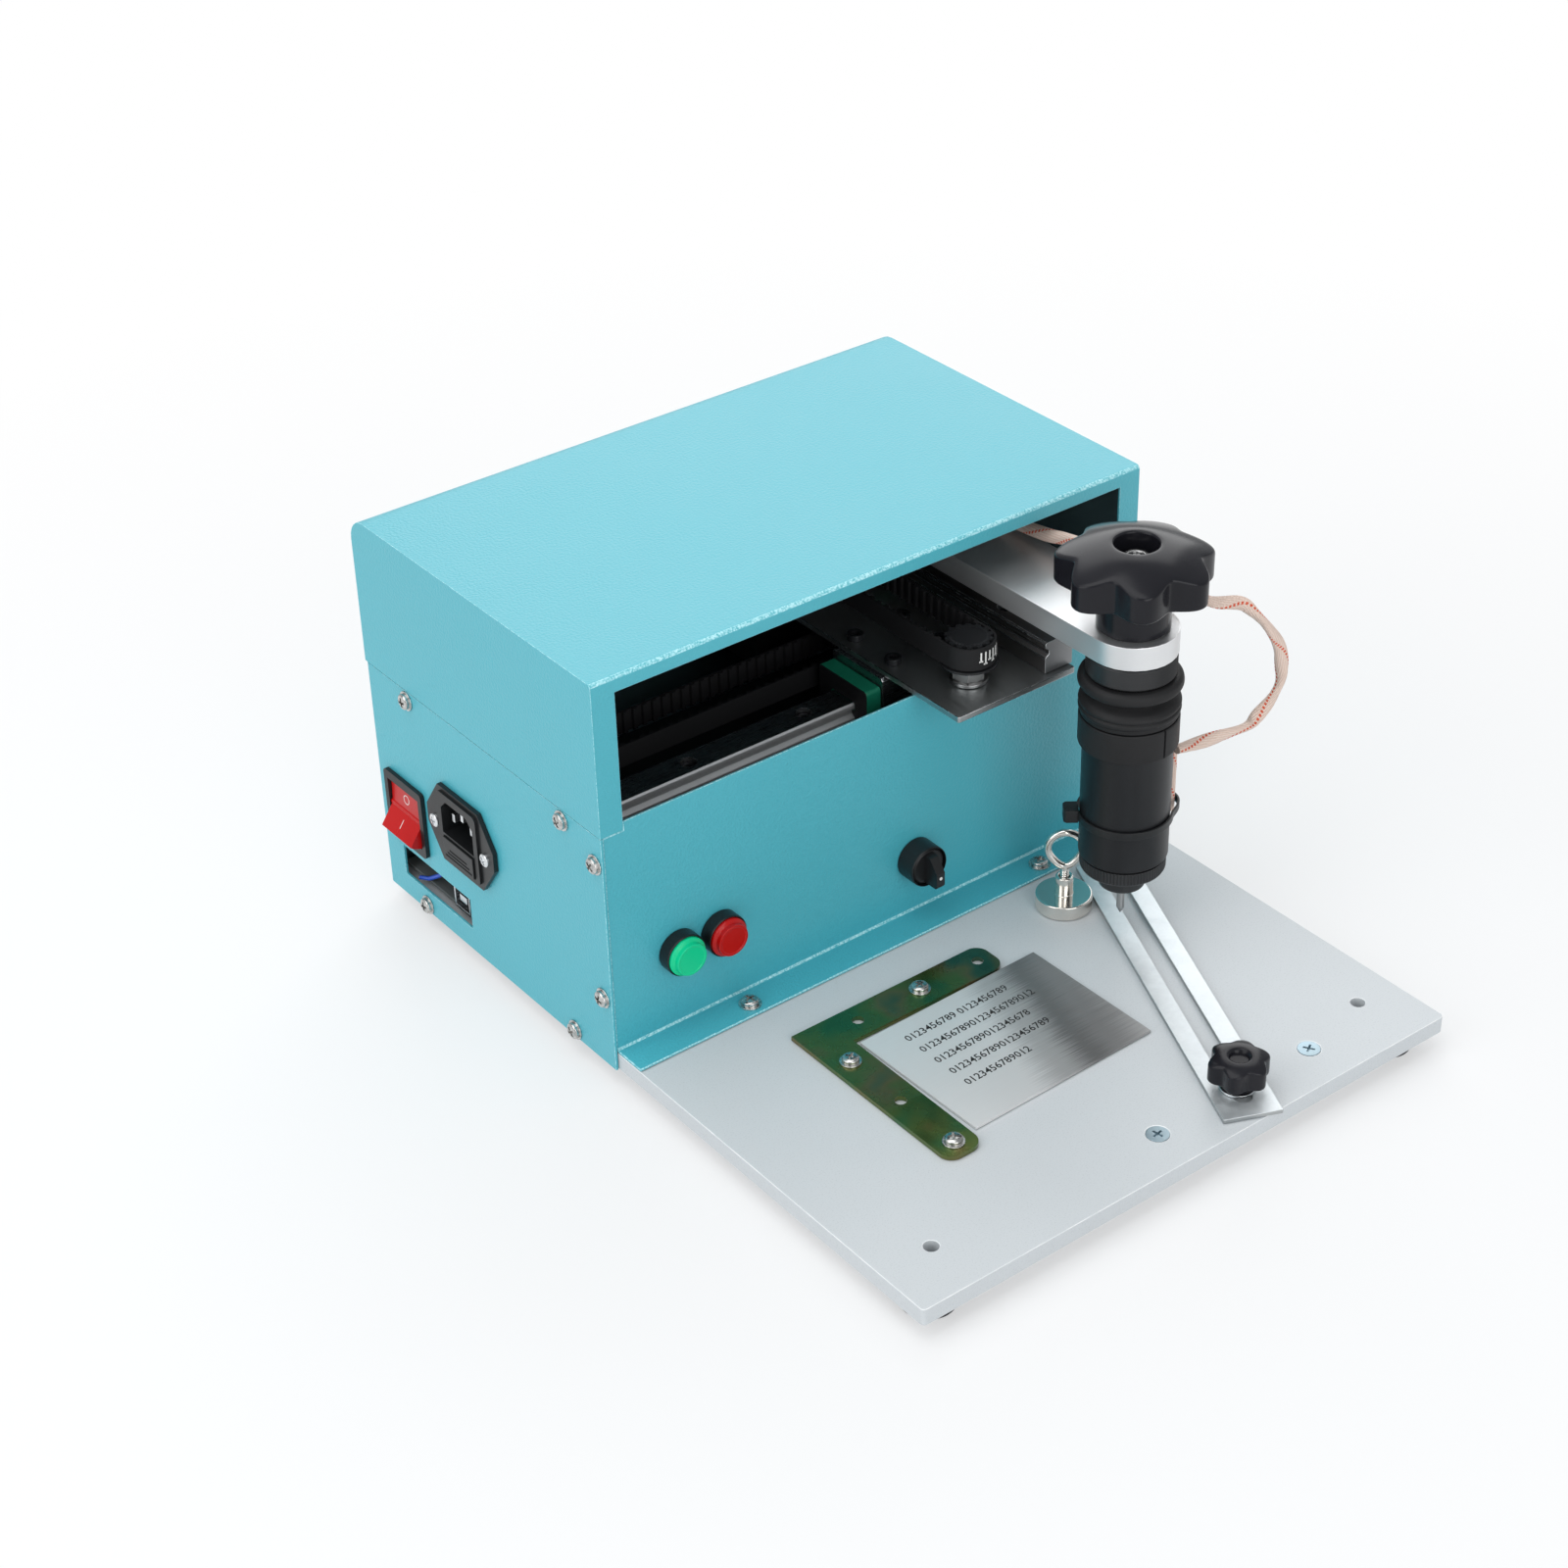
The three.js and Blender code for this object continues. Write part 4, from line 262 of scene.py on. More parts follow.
def softened(profile: Sequence[Flat], radius: float, steps: int = 3) -> list[Flat]:
    """Rounds the inner corners of an open line of points.

    Args:
        profile: The points of the line.
        radius: How far from a corner its rounding starts, at most.
        steps: Faces in each rounding.

    Returns:
        The line with a short curve at each corner.
    """
    out: list[Flat] = [profile[0]]
    for before, corner, after in zip(profile, profile[1:], profile[2:]):
        here = Vector(corner)
        back = Vector(before) - here
        ahead = Vector(after) - here
        reach = min(radius, back.length * CORNER_SHARE, ahead.length * CORNER_SHARE)
        if reach < SHORTEST or back.angle(ahead) > STRAIGHT:
            out.append(corner)
            continue
        start = here + back.normalized() * reach
        end = here + ahead.normalized() * reach
        for i in range(steps + 1):
            t = i / steps
            point = start.lerp(here, t).lerp(here.lerp(end, t), t)
            out.append((point.x, point.y))
    out.append(profile[-1])
    return out


# Finishes


class Grain(Enum):
    """Fine relief that a finish shows, by the stretch of its scratches where it has them."""

    PEEL = None
    ALONG_X = (1.0, STRETCH, STRETCH)
    ALONG_Y = (STRETCH, 1.0, STRETCH)


def feed(tree: Tree, socket: Socket, value: object) -> None:
    """Links an input socket to where its value comes from, or sets it.

    Args:
        tree: The tree that holds the socket.
        socket: The input socket.
        value: Another socket, a number, a vector or a colour.
    """
    if isinstance(value, Socket):
        tree.links.new(value, socket)
    elif socket.type == "RGBA":
        socket.default_value = (*value, 1.0)
    else:
        socket.default_value = value


def set_inputs(tree: Tree, node: Node, **values: object) -> Node:
    """Feeds a node's inputs.

    Args:
        tree: The tree that holds the node.
        node: The node.
        values: What each input gets, with spaces in its name written as underscores.

    Returns:
        The node.
    """
    for label, value in values.items():
        feed(tree, node.inputs[label.replace("_", " ")], value)
    return node


def place_group(tree: Tree, effect: Tree, **values: object) -> Node:
    """Places an effect group in a material.

    Args:
        tree: The material's tree.
        effect: The group's tree.
        values: What each input gets.

    Returns:
        The group's node.
    """
    node = tree.nodes.new("ShaderNodeGroup")
    node.node_tree = effect
    return set_inputs(tree, node, **values)


def new_group(name: str, inputs: dict[str, object], outputs: Sequence[str]) -> tuple[Tree, Node, Node]:
    """Makes an empty shader node group with named sockets.

    Args:
        name: The group's name.
        inputs: The inputs' defaults: a number, a vector, or a colour with its alpha.
        outputs: The outputs' names. The one called Colour is a colour and the others are numbers.

    Returns:
        The group's tree, its input node and its output node.
    """
    tree = bpy.data.node_groups.new(name, "ShaderNodeTree")
    kinds = {1: "NodeSocketFloat", 3: "NodeSocketVector", 4: "NodeSocketColor"}
    for label, value in inputs.items():
        kind = kinds[len(value) if isinstance(value, tuple) else 1]
        tree.interface.new_socket(label, in_out="INPUT", socket_type=kind).default_value = value
    for label in outputs:
        kind = kinds[4 if label == "Colour" else 1]
        tree.interface.new_socket(label, in_out="OUTPUT", socket_type=kind)
    return tree, tree.nodes.new("NodeGroupInput"), tree.nodes.new("NodeGroupOutput")


def new_material(name: str) -> tuple[bpy.types.Material, Tree, Node]:
    """Makes a plain material.

    Args:
        name: The material's name.

    Returns:
        The material, its tree and its surface shader.
    """
    made = bpy.data.materials.new(name)
    made.use_nodes = True
    return made, made.node_tree, made.node_tree.nodes["Principled BSDF"]


def math_node(tree: Tree, operation: str, *values: object) -> Socket:
    """Adds a Math node.

    Args:
        tree: The tree it goes into.
        operation: Its operation.
        values: Sockets to link or numbers to set, in order.

    Returns:
        Its output socket.
    """
    node = tree.nodes.new("ShaderNodeMath")
    node.operation = operation
    for socket, value in zip(node.inputs, values):
        feed(tree, socket, value)
    return node.outputs[0]


def noise_node(tree: Tree, vector: Socket, scale: object, detail: float = 2.0) -> Socket:
    """Adds a Noise Texture node.

    Args:
        tree: The tree it goes into.
        vector: Where its vector comes from.
        scale: A socket or a number for its scale.
        detail: Its detail.

    Returns:
        Its factor socket.
    """
    node = tree.nodes.new("ShaderNodeTexNoise")
    return set_inputs(tree, node, Vector=vector, Scale=scale, Detail=detail).outputs["Fac"]


def ramp_between(
    tree: Tree, value: object, low: object, high: object, out_low: float = 0.0, out_high: float = 1.0
) -> Socket:
    """Adds a clamped Map Range node.

    Args:
        tree: The tree it goes into.
        value: What is mapped.
        low: Value that gives out_low.
        high: Value that gives out_high.
        out_low: Result at low.
        out_high: Result at high.

    Returns:
        Its result socket.
    """
    node = tree.nodes.new("ShaderNodeMapRange")
    for socket, setting in zip(node.inputs, (value, low, high, out_low, out_high)):
        feed(tree, socket, setting)
    return node.outputs[0]


def mixed_colour(tree: Tree, factor: object, first: object, second: object) -> Socket:
    """Adds a Mix node for colours.

    Args:
        tree: The tree it goes into.
        factor: Share of the second colour.
        first: The first colour.
        second: The second colour.

    Returns:
        Its colour socket.
    """
    node = tree.nodes.new("ShaderNodeMix")
    node.data_type = "RGBA"
    for number, value in ((0, factor), (6, first), (7, second)):
        feed(tree, node.inputs[number], value)
    return node.outputs[2]


def colour_ramp(
    tree: Tree, value: Socket, stops: Sequence[tuple[float, Colour]], curve: str = "LINEAR"
) -> Socket:
    """Adds a Color Ramp node.

    Args:
        tree: The tree it goes into.
        value: What picks the colour.
        stops: Position and colour of each stop, in order.
        curve: How it goes from stop to stop.

    Returns:
        Its colour socket.
    """
    node = tree.nodes.new("ShaderNodeValToRGB")
    node.color_ramp.interpolation = curve
    elements = node.color_ramp.elements
    for element, (position, colour) in zip(elements, (stops[0], stops[-1])):
        element.position, element.color = position, (*colour, 1.0)
    for position, colour in stops[1:-1]:
        elements.new(position).color = (*colour, 1.0)
    tree.links.new(value, node.inputs["Fac"])
    return node.outputs["Color"]


def add_bump(tree: Tree, shader: Node, height: Socket, depth: float) -> None:
    """Gives a shader a relief.

    Args:
        tree: The material's tree.
        shader: The shader.
        height: Where the height comes from.
        depth: Height of the relief in millimetres.
    """
    bump = set_inputs(tree, tree.nodes.new("ShaderNodeBump"), Distance=depth * MM, Height=height)
    tree.links.new(bump.outputs["Normal"], shader.inputs["Normal"])


def mix_shaders(tree: Tree, share: Socket, first: Node, second: Node, output: str) -> None:
    """Mixes two shaders into a tree's output.

    Args:
        tree: The tree.
        share: Share of the second shader.
        first: The first shader's node.
        second: The second shader's node.
        output: Name of the output node.
    """
    blend = tree.nodes.new("ShaderNodeMixShader")
    for socket, source in zip(blend.inputs, (share, first.outputs[0], second.outputs[0])):
        tree.links.new(source, socket)
    tree.links.new(blend.outputs[0], tree.nodes[output].inputs[0])


class Effects:
    """The shader node groups that the finishes share."""

    def __init__(self) -> None:
        """Builds every group once."""
        self.peel = self._peel()
        self.brushed = self._brushed()
        self.tone = self._tone()
        self.flecks = self._flecks()

    def _peel(self) -> Tree:
        """Builds the relief of sprayed powder or moulded grain: soft bumps with a finer layer over them.

        Returns:
            The group's tree.
        """
        tree, ins, outs = new_group("peel_relief", {"Vector": (0.0, 0.0, 0.0), "Scale": 900.0}, ["Height"])
        vector, scale = ins.outputs["Vector"], ins.outputs["Scale"]
        bumps = ramp_between(tree, noise_node(tree, vector, scale, 1.0), 0.36, 0.66)
        fine = noise_node(tree, vector, math_node(tree, "MULTIPLY", scale, 2.7))
        total = math_node(tree, "ADD", bumps, math_node(tree, "MULTIPLY", fine, 0.35))
        tree.links.new(total, outs.inputs["Height"])
        return tree

    def _brushed(self) -> Tree:
        """Builds long fine scratches: noise stretched along one axis.

        Returns:
            The group's tree.
        """
        tree, ins, outs = new_group(
            "brushed_relief",
            {"Vector": (0.0, 0.0, 0.0), "Stretch": (1.0, 60.0, 60.0), "Scale": 60.0},
            ["Height", "Streaks"],
        )
        stretch = tree.nodes.new("ShaderNodeVectorMath")
        stretch.operation = "MULTIPLY"
        tree.links.new(ins.outputs["Vector"], stretch.inputs[0])
        tree.links.new(ins.outputs["Stretch"], stretch.inputs[1])
        lines = noise_node(tree, stretch.outputs[0], ins.outputs["Scale"], 3.0)
        tree.links.new(lines, outs.inputs["Height"])
        tree.links.new(ramp_between(tree, lines, 0.3, 0.7), outs.inputs["Streaks"])
        return tree

    def _tone(self) -> Tree:
        """Builds slow variation between two colours, with a mask for the roughness.

        Returns:
            The group's tree.
        """
        tree, ins, outs = new_group(
            "slow_tone",
            {
                "Vector": (0.0, 0.0, 0.0), "Scale": 12.0, "Colour A": (0.5, 0.5, 0.5, 1.0),
                "Colour B": (0.6, 0.6, 0.6, 1.0),
            },
            ["Colour", "Mask"],
        )
        cloud = noise_node(tree, ins.outputs["Vector"], ins.outputs["Scale"], 4.0)
        mask = ramp_between(tree, cloud, 0.35, 0.65)
        mixed = mixed_colour(tree, mask, ins.outputs["Colour A"], ins.outputs["Colour B"])
        tree.links.new(mixed, outs.inputs["Colour"])
        tree.links.new(mask, outs.inputs["Mask"])
        return tree

    def _flecks(self) -> Tree:
        """Builds small flecks of another colour.

        Returns:
            The group's tree.
        """
        tree, ins, outs = new_group(
            "colour_flecks",
            {
                "Vector": (0.0, 0.0, 0.0), "Scale": 1500.0, "Amount": 0.3, "Colour": (0.5, 0.5, 0.5, 1.0),
                "Fleck": (0.2, 0.2, 0.2, 1.0),
            },
            ["Colour"],
        )
        grains = noise_node(tree, ins.outputs["Vector"], ins.outputs["Scale"], 1.0)
        mask = ramp_between(tree, grains, 0.56, 0.74)
        share = math_node(tree, "MULTIPLY", mask, ins.outputs["Amount"])
        mixed = mixed_colour(tree, share, ins.outputs["Colour"], ins.outputs["Fleck"])
        tree.links.new(mixed, outs.inputs["Colour"])
        return tree


EFFECTS = Effects()


@dataclass(frozen=True)
class Finish:
    """A surface finish and its shader.

    Attributes:
        name: The material's name.
        colour: Its main colour.
        second: The colour that it slowly varies to.
        roughness: Roughness where it is smoothest.
        spread: How much rougher its dull patches are.
        metallic: 1 for bare metal.
        tone_scale: Size of the slow variation, per metre.
        grain: The fine relief.
        grain_scale: Size of the relief, per metre.
        grain_depth: Height of the relief in millimetres.
        fleck: Colour of small flecks.
        fleck_amount: How strong the flecks are.
        fleck_scale: Size of the flecks, per metre.
        specular: Strength of its plain reflection.
        rim: The lighter finish of its rounded edges, a painted highlight, or nothing for the same.
    """

    name: str
    colour: Colour
    second: Colour
    roughness: float = 0.4
    spread: float = 0.1
    metallic: float = 0.0
    tone_scale: float = 14.0
    grain: Grain = Grain.PEEL
    grain_scale: float = 1400.0
    grain_depth: float = 0.02
    fleck: Colour = (0.0, 0.0, 0.0)
    fleck_amount: float = 0.0
    fleck_scale: float = 1500.0
    specular: float = 0.5
    rim: "Optional[Finish]" = None

    def _relief(self, tree: Tree, vector: Socket) -> tuple[Socket, Optional[Socket]]:
        """Adds the finish's relief.

        Args:
            tree: The material's tree.
            vector: The surface coordinates.

        Returns:
            The height socket and, for a brushed face, the socket of its streaks.
        """
        if self.grain is Grain.PEEL:
            node = place_group(tree, EFFECTS.peel, Vector=vector, Scale=self.grain_scale)
            return node.outputs["Height"], None
        node = place_group(
            tree, EFFECTS.brushed, Vector=vector, Stretch=self.grain.value, Scale=self.grain_scale / STRETCH
        )
        return node.outputs["Height"], node.outputs["Streaks"]

    @lru_cache(maxsize=None)
    def material(self) -> bpy.types.Material:
        """Builds the finish's material the first time it is asked for.

        Returns:
            The material.
        """
        made, tree, shader = new_material(self.name)
        coordinates = tree.nodes.new("ShaderNodeTexCoord").outputs["Object"]
        tone = place_group(
            tree, EFFECTS.tone, Vector=coordinates, Scale=self.tone_scale,
            Colour_A=self.colour, Colour_B=self.second,
        )
        colour = tone.outputs["Colour"]
        if self.fleck_amount:
            flecks = place_group(
                tree, EFFECTS.flecks, Vector=coordinates, Scale=self.fleck_scale,
                Amount=self.fleck_amount, Colour=colour, Fleck=self.fleck,
            )
            colour = flecks.outputs["Colour"]
        height, streaks = self._relief(tree, coordinates)
        patches = streaks if streaks else tone.outputs["Mask"]
        rough = ramp_between(tree, patches, 0.0, 1.0, self.roughness, self.roughness + self.spread)
        add_bump(tree, shader, height, self.grain_depth)
        set_inputs(
            tree, shader, Base_Color=colour, Roughness=rough, Metallic=self.metallic,
            Specular_IOR_Level=self.specular,
        )
        return made


# Lighter turquoise for the powder coat's rounded edges and front fold: a painted highlight.
POWDER_PAINTED_HIGHLIGHT = Finish(
    "turquoise_painted_highlight", (0.09, 0.46, 0.54), (0.5, 0.84, 0.89), 0.3, 0.08, tone_scale=1100.0,
    grain_scale=1500.0, grain_depth=0.01,
)
POWDER = Finish(
    "turquoise_powder_coat", (0.068, 0.42, 0.505), (0.074, 0.436, 0.522), 0.34, 0.06, tone_scale=5.0,
    grain_scale=850.0, grain_depth=0.08, specular=0.55, rim=POWDER_PAINTED_HIGHLIGHT,
)
# Dark teal on the housing's inside faces: painted shade over the turquoise coat.
INSIDE_PAINTED_SHADE = Finish(
    "inside_painted_shade", (0.07, 0.12, 0.135), (0.09, 0.155, 0.17), 0.5, 0.15, tone_scale=20.0, specular=0.3
)
# Lighter coat for the bed's rounded edges: a painted highlight.
BED_PAINTED_HIGHLIGHT = Finish(
    "pale_coat_painted_highlight", (0.72, 0.75, 0.77), (0.86, 0.87, 0.88), 0.35, 0.08, tone_scale=120.0, grain_depth=0.01
)
BED_COAT = Finish(
    "pale_speckled_coat", (0.57, 0.6, 0.62), (0.6, 0.63, 0.65), 0.42, 0.08, tone_scale=6.0,
    grain_scale=1600.0, grain_depth=0.014, fleck=(0.42, 0.45, 0.47), fleck_amount=0.4, specular=0.4,
    rim=BED_PAINTED_HIGHLIGHT,
)
FOOT_RUBBER = Finish(
    "dull_foot_rubber", (0.012, 0.013, 0.014), (0.02, 0.021, 0.022), 0.62, 0.15, specular=0.3
)
BLACK_PLASTIC = Finish(
    "black_moulded_plastic", (0.009, 0.01, 0.011), (0.013, 0.014, 0.015), 0.32, 0.12, grain_scale=1800.0,
    grain_depth=0.01, specular=0.35,
)
KNOB_PLASTIC = Finish(
    "black_phenolic", (0.01, 0.01, 0.013), (0.014, 0.014, 0.018), 0.17, 0.05, tone_scale=30.0,
    grain_scale=500.0, grain_depth=0.001, specular=0.2,
)
RED_LENS = Finish(
    "deep_red_lens", (0.44, 0.004, 0.004), (0.52, 0.008, 0.008), 0.22, 0.1, grain_scale=350.0,
    grain_depth=0.01, specular=0.3,
)
GREEN_LENS = Finish(
    "clear_green_lens", (0.002, 0.55, 0.25), (0.004, 0.64, 0.3), 0.22, 0.1, grain_scale=350.0,
    grain_depth=0.01, specular=0.3,
)
CAP_PLASTIC = Finish("green_end_cap", (0.008, 0.19, 0.11), (0.01, 0.23, 0.135), 0.35, 0.1, specular=0.4)
SEAL_RUBBER = Finish("black_seal", (0.009, 0.009, 0.01), (0.014, 0.014, 0.015), 0.6, 0.1, specular=0.3)
# Bright steel for the rounded edges of steel parts: a painted highlight.
STEEL_PAINTED_HIGHLIGHT = Finish(
    "steel_painted_highlight", (0.45, 0.46, 0.47), (0.75, 0.76, 0.77), 0.2, 0.1, metallic=1.0, tone_scale=90.0
)
DARK_STEEL = Finish(
    "dark_polished_steel", (0.3, 0.32, 0.33), (0.46, 0.48, 0.48), 0.28, 0.12, metallic=0.95,
    grain=Grain.ALONG_Y, grain_scale=1800.0, grain_depth=0.0015, rim=STEEL_PAINTED_HIGHLIGHT,
)
BRIDGE_STEEL = Finish(
    "black_oxide_steel", (0.009, 0.01, 0.011), (0.016, 0.017, 0.018), 0.42, 0.2, metallic=0.5,
    tone_scale=22.0, grain_scale=700.0, grain_depth=0.01, specular=0.3,
)
GROUND_STEEL = Finish(
    "ground_steel", (0.4, 0.41, 0.43), (0.5, 0.51, 0.52), 0.24, 0.12, metallic=1.0,
    grain=Grain.ALONG_X, grain_scale=3000.0, grain_depth=0.003, rim=STEEL_PAINTED_HIGHLIGHT,
)
# Bright steel on the X rail's front faces: a painted reflection.
RAIL_FRONT_PAINTED_REFLECTION = Finish(
    "rail_front_painted_reflection", (0.78, 0.79, 0.8), (0.9, 0.91, 0.92), 0.42, 0.12, metallic=0.6,
    grain=Grain.ALONG_X, grain_scale=3000.0, grain_depth=0.003,
)
GROUND_STEEL_Y = Finish(
    "ground_steel_lengthways", (0.16, 0.15, 0.15), (0.24, 0.23, 0.23), 0.32, 0.15, metallic=1.0,
    grain=Grain.ALONG_Y, grain_scale=3000.0, grain_depth=0.003, rim=STEEL_PAINTED_HIGHLIGHT,
)
TURNED_STEEL = Finish(
    "turned_steel", (0.3, 0.3, 0.3), (0.42, 0.42, 0.42), 0.22, 0.12, metallic=1.0, grain_scale=2500.0,
    grain_depth=0.003,
)
MOTOR_CASE = Finish(
    "motor_case", (0.009, 0.009, 0.01), (0.014, 0.014, 0.015), 0.4, 0.15, metallic=0.3, specular=0.35
)
# Its rim is lighter aluminium for the arm's rounded edges: a painted highlight.
ALUMINIUM = Finish(
    "satin_aluminium", (0.7, 0.71, 0.72), (0.76, 0.77, 0.78), 0.36, 0.08, metallic=0.85,
    grain=Grain.ALONG_Y, grain_scale=2400.0, grain_depth=0.004,
    rim=Finish("aluminium_painted_highlight", (0.8, 0.81, 0.82), (0.93, 0.93, 0.94), 0.28, 0.08, metallic=0.85),
)
PULLEY_METAL = Finish("pulley_aluminium", (0.42, 0.43, 0.44), (0.52, 0.53, 0.54), 0.28, 0.1, metallic=1.0)
BLACK_ANODISED = Finish(
    "black_anodised", (0.011, 0.012, 0.014), (0.016, 0.017, 0.019), 0.36, 0.1, metallic=0.3,
    grain_scale=2200.0, grain_depth=0.008, specular=0.4,
)
KNURLED_BLACK = Finish(
    "knurled_black", (0.028, 0.029, 0.031), (0.04, 0.041, 0.043), 0.3, 0.1, metallic=0.5,
    grain_scale=2200.0, grain_depth=0.004,
)
BELLOWS_RUBBER = Finish(
    "matte_bellows_rubber", (0.009, 0.009, 0.01), (0.014, 0.014, 0.015), 0.5, 0.14, tone_scale=60.0,
    grain_scale=1200.0, grain_depth=0.01, specular=0.3,
)
ZINC = Finish(
    "bright_zinc", (0.7, 0.72, 0.74), (0.8, 0.81, 0.82), 0.24, 0.12, metallic=1.0, tone_scale=40.0,
    grain_scale=900.0, grain_depth=0.004,
)
STRAP_STEEL = Finish(
    "strap_zinc", (0.64, 0.68, 0.7), (0.77, 0.81, 0.83), 0.4, 0.12, metallic=0.7, tone_scale=140.0,
    grain_scale=900.0, grain_depth=0.006,
)
BLUE_ZINC = Finish(
    "blue_zinc", (0.34, 0.44, 0.5), (0.42, 0.53, 0.58), 0.36, 0.1, metallic=0.85, tone_scale=120.0,
    grain_scale=900.0, grain_depth=0.004,
)
SCREW_STEEL = Finish(
    "screw_steel", (0.4, 0.4, 0.39), (0.66, 0.65, 0.63), 0.18, 0.14, metallic=1.0, tone_scale=700.0,
    grain_scale=1200.0, grain_depth=0.01,
)
NICKEL = Finish(
    "polished_nickel", (0.74, 0.71, 0.66), (0.8, 0.77, 0.72), 0.1, 0.06, metallic=0.97, tone_scale=50.0,
    grain_scale=500.0, grain_depth=0.0005,
)
ENGRAVING = Finish("engraved_figures", (0.025, 0.025, 0.025), (0.05, 0.05, 0.05), 0.6, 0.1, specular=0.2)
BOARD_MASK = Finish("solder_mask", (0.11, 0.125, 0.125), (0.14, 0.155, 0.155), 0.4, 0.1)
SUPPLY_CASE = Finish("supply_case", (0.3, 0.31, 0.32), (0.36, 0.37, 0.38), 0.35, 0.15, metallic=0.9)
BELT_RUBBER = Finish(
    "toothed_belt_rubber", (0.008, 0.008, 0.009), (0.012, 0.012, 0.013), 0.55, 0.12, grain_scale=1500.0,
    grain_depth=0.01, specular=0.25,
)
WHITE_PRINT = Finish("white_print", (0.78, 0.78, 0.76), (0.82, 0.82, 0.8), 0.5, 0.05)
WIRE_BLUE = Finish("blue_wire", (0.02, 0.08, 0.5), (0.03, 0.1, 0.6), 0.35, 0.1)


def chromate_finish() -> bpy.types.Material:
    """Builds the iridescent olive, gold and green film of a chromated bracket.

    Returns:
        The material.
    """
    made, tree, shader = new_material("iridescent_chromate")
    coordinates = tree.nodes.new("ShaderNodeTexCoord").outputs["Object"]
    stops = (
        (0.28, (0.02, 0.09, 0.045)), (0.4, (0.04, 0.15, 0.055)), (0.48, (0.12, 0.17, 0.045)),
        (0.55, (0.2, 0.15, 0.06)), (0.62, (0.05, 0.12, 0.07)), (0.74, (0.025, 0.07, 0.045)),
    )
    film = colour_ramp(tree, noise_node(tree, coordinates, 24.0, 3.0), stops)
    dull = ramp_between(tree, noise_node(tree, coordinates, 60.0, 3.0), 0.3, 0.7, 0.18, 0.36)
    relief = place_group(tree, EFFECTS.peel, Vector=coordinates, Scale=700.0)
    add_bump(tree, shader, relief.outputs["Height"], 0.008)
    set_inputs(tree, shader, Base_Color=film, Roughness=dull, Metallic=0.85, Coat_Weight=0.3)
    return made


def plate_finish() -> bpy.types.Material:
    """Builds the brushed face of the sample plate, with a painted sheen: a soft dark band of painted
    reflection across it.

    Returns:
        The material.
    """
    made, tree, shader = new_material("brushed_plate_painted_sheen")
    source = tree.nodes.new("ShaderNodeTexCoord")
    parts = tree.nodes.new("ShaderNodeSeparateXYZ")
    tree.links.new(source.outputs["Generated"], parts.inputs[0])
    brushed = place_group(
        tree, EFFECTS.brushed, Vector=source.outputs["Object"], Stretch=(0.02, 1.0, 1.0), Scale=1700.0
    )
    streaks = brushed.outputs["Streaks"]
    # Painted reflection: the grey runs light, dark and light again across the plate.
    share = math_node(tree, "SUBTRACT", parts.outputs[0], math_node(tree, "MULTIPLY", parts.outputs[1], 0.17))
    sheen_place = math_node(tree, "ADD", share, math_node(tree, "MULTIPLY", streaks, 0.07))
    sheen_tones = ((0.0, 0.74), (0.45, 0.7), (0.6, 0.42), (0.72, 0.17), (0.82, 0.24), (1.0, 0.4))
    stops = [(position, (tone, tone, tone)) for position, tone in sheen_tones]
    sheen = colour_ramp(tree, ramp_between(tree, sheen_place, -0.17, 1.07), stops, "EASE")
    rough = ramp_between(tree, streaks, 0.0, 1.0, 0.3, 0.42)
    add_bump(tree, shader, brushed.outputs["Height"], 0.006)
    set_inputs(tree, shader, Base_Color=sheen, Roughness=rough, Metallic=0.35)
    return made


def braid_finish() -> bpy.types.Material:
    """Builds the pale braid of the head's lead with its coloured dashed tracer, laid out by its length.

    Returns:
        The material.
    """
    made, tree, shader = new_material("braided_sleeve")
    lengthways = tree.nodes.new("ShaderNodeUVMap")
    lengthways.uv_map = "lead"
    parts = tree.nodes.new("ShaderNodeSeparateXYZ")
    tree.links.new(lengthways.outputs["UV"], parts.inputs[0])
    along, around = parts.outputs[0], parts.outputs[1]
    length = math_node(tree, "MULTIPLY", along, 0.9)
    waves = []
    for sense in ("ADD", "SUBTRACT"):
        diagonal = math_node(tree, sense, length, math_node(tree, "MULTIPLY", around, 8.0))
        waves.append(math_node(tree, "SINE", math_node(tree, "MULTIPLY", diagonal, math.tau)))
    strands = math_node(tree, "MULTIPLY", *waves)
    strand_mask = ramp_between(tree, strands, -0.8, 0.8)
    pale = mixed_colour(tree, strand_mask, (0.76, 0.54, 0.44), (0.92, 0.77, 0.68))
    turned = math_node(tree, "ADD", around, math_node(tree, "MULTIPLY", along, 0.03))
    masks = []
    for value, count, outside, inside in ((along, 0.58, 0.3, 0.26), (turned, 2.0, 0.09, 0.06)):
        part = math_node(tree, "FRACT", math_node(tree, "MULTIPLY", value, count))
        off_middle = math_node(tree, "ABSOLUTE", math_node(tree, "SUBTRACT", part, 0.5))
        masks.append(ramp_between(tree, off_middle, outside, inside))
    tracer = math_node(tree, "MULTIPLY", *masks)
    colour = mixed_colour(tree, tracer, pale, (0.7, 0.09, 0.03))
    rough = ramp_between(tree, strand_mask, 0.0, 1.0, 0.45, 0.65)
    add_bump(tree, shader, strands, 0.15)
    set_inputs(tree, shader, Base_Color=colour, Roughness=rough)
    return made


# Meshes


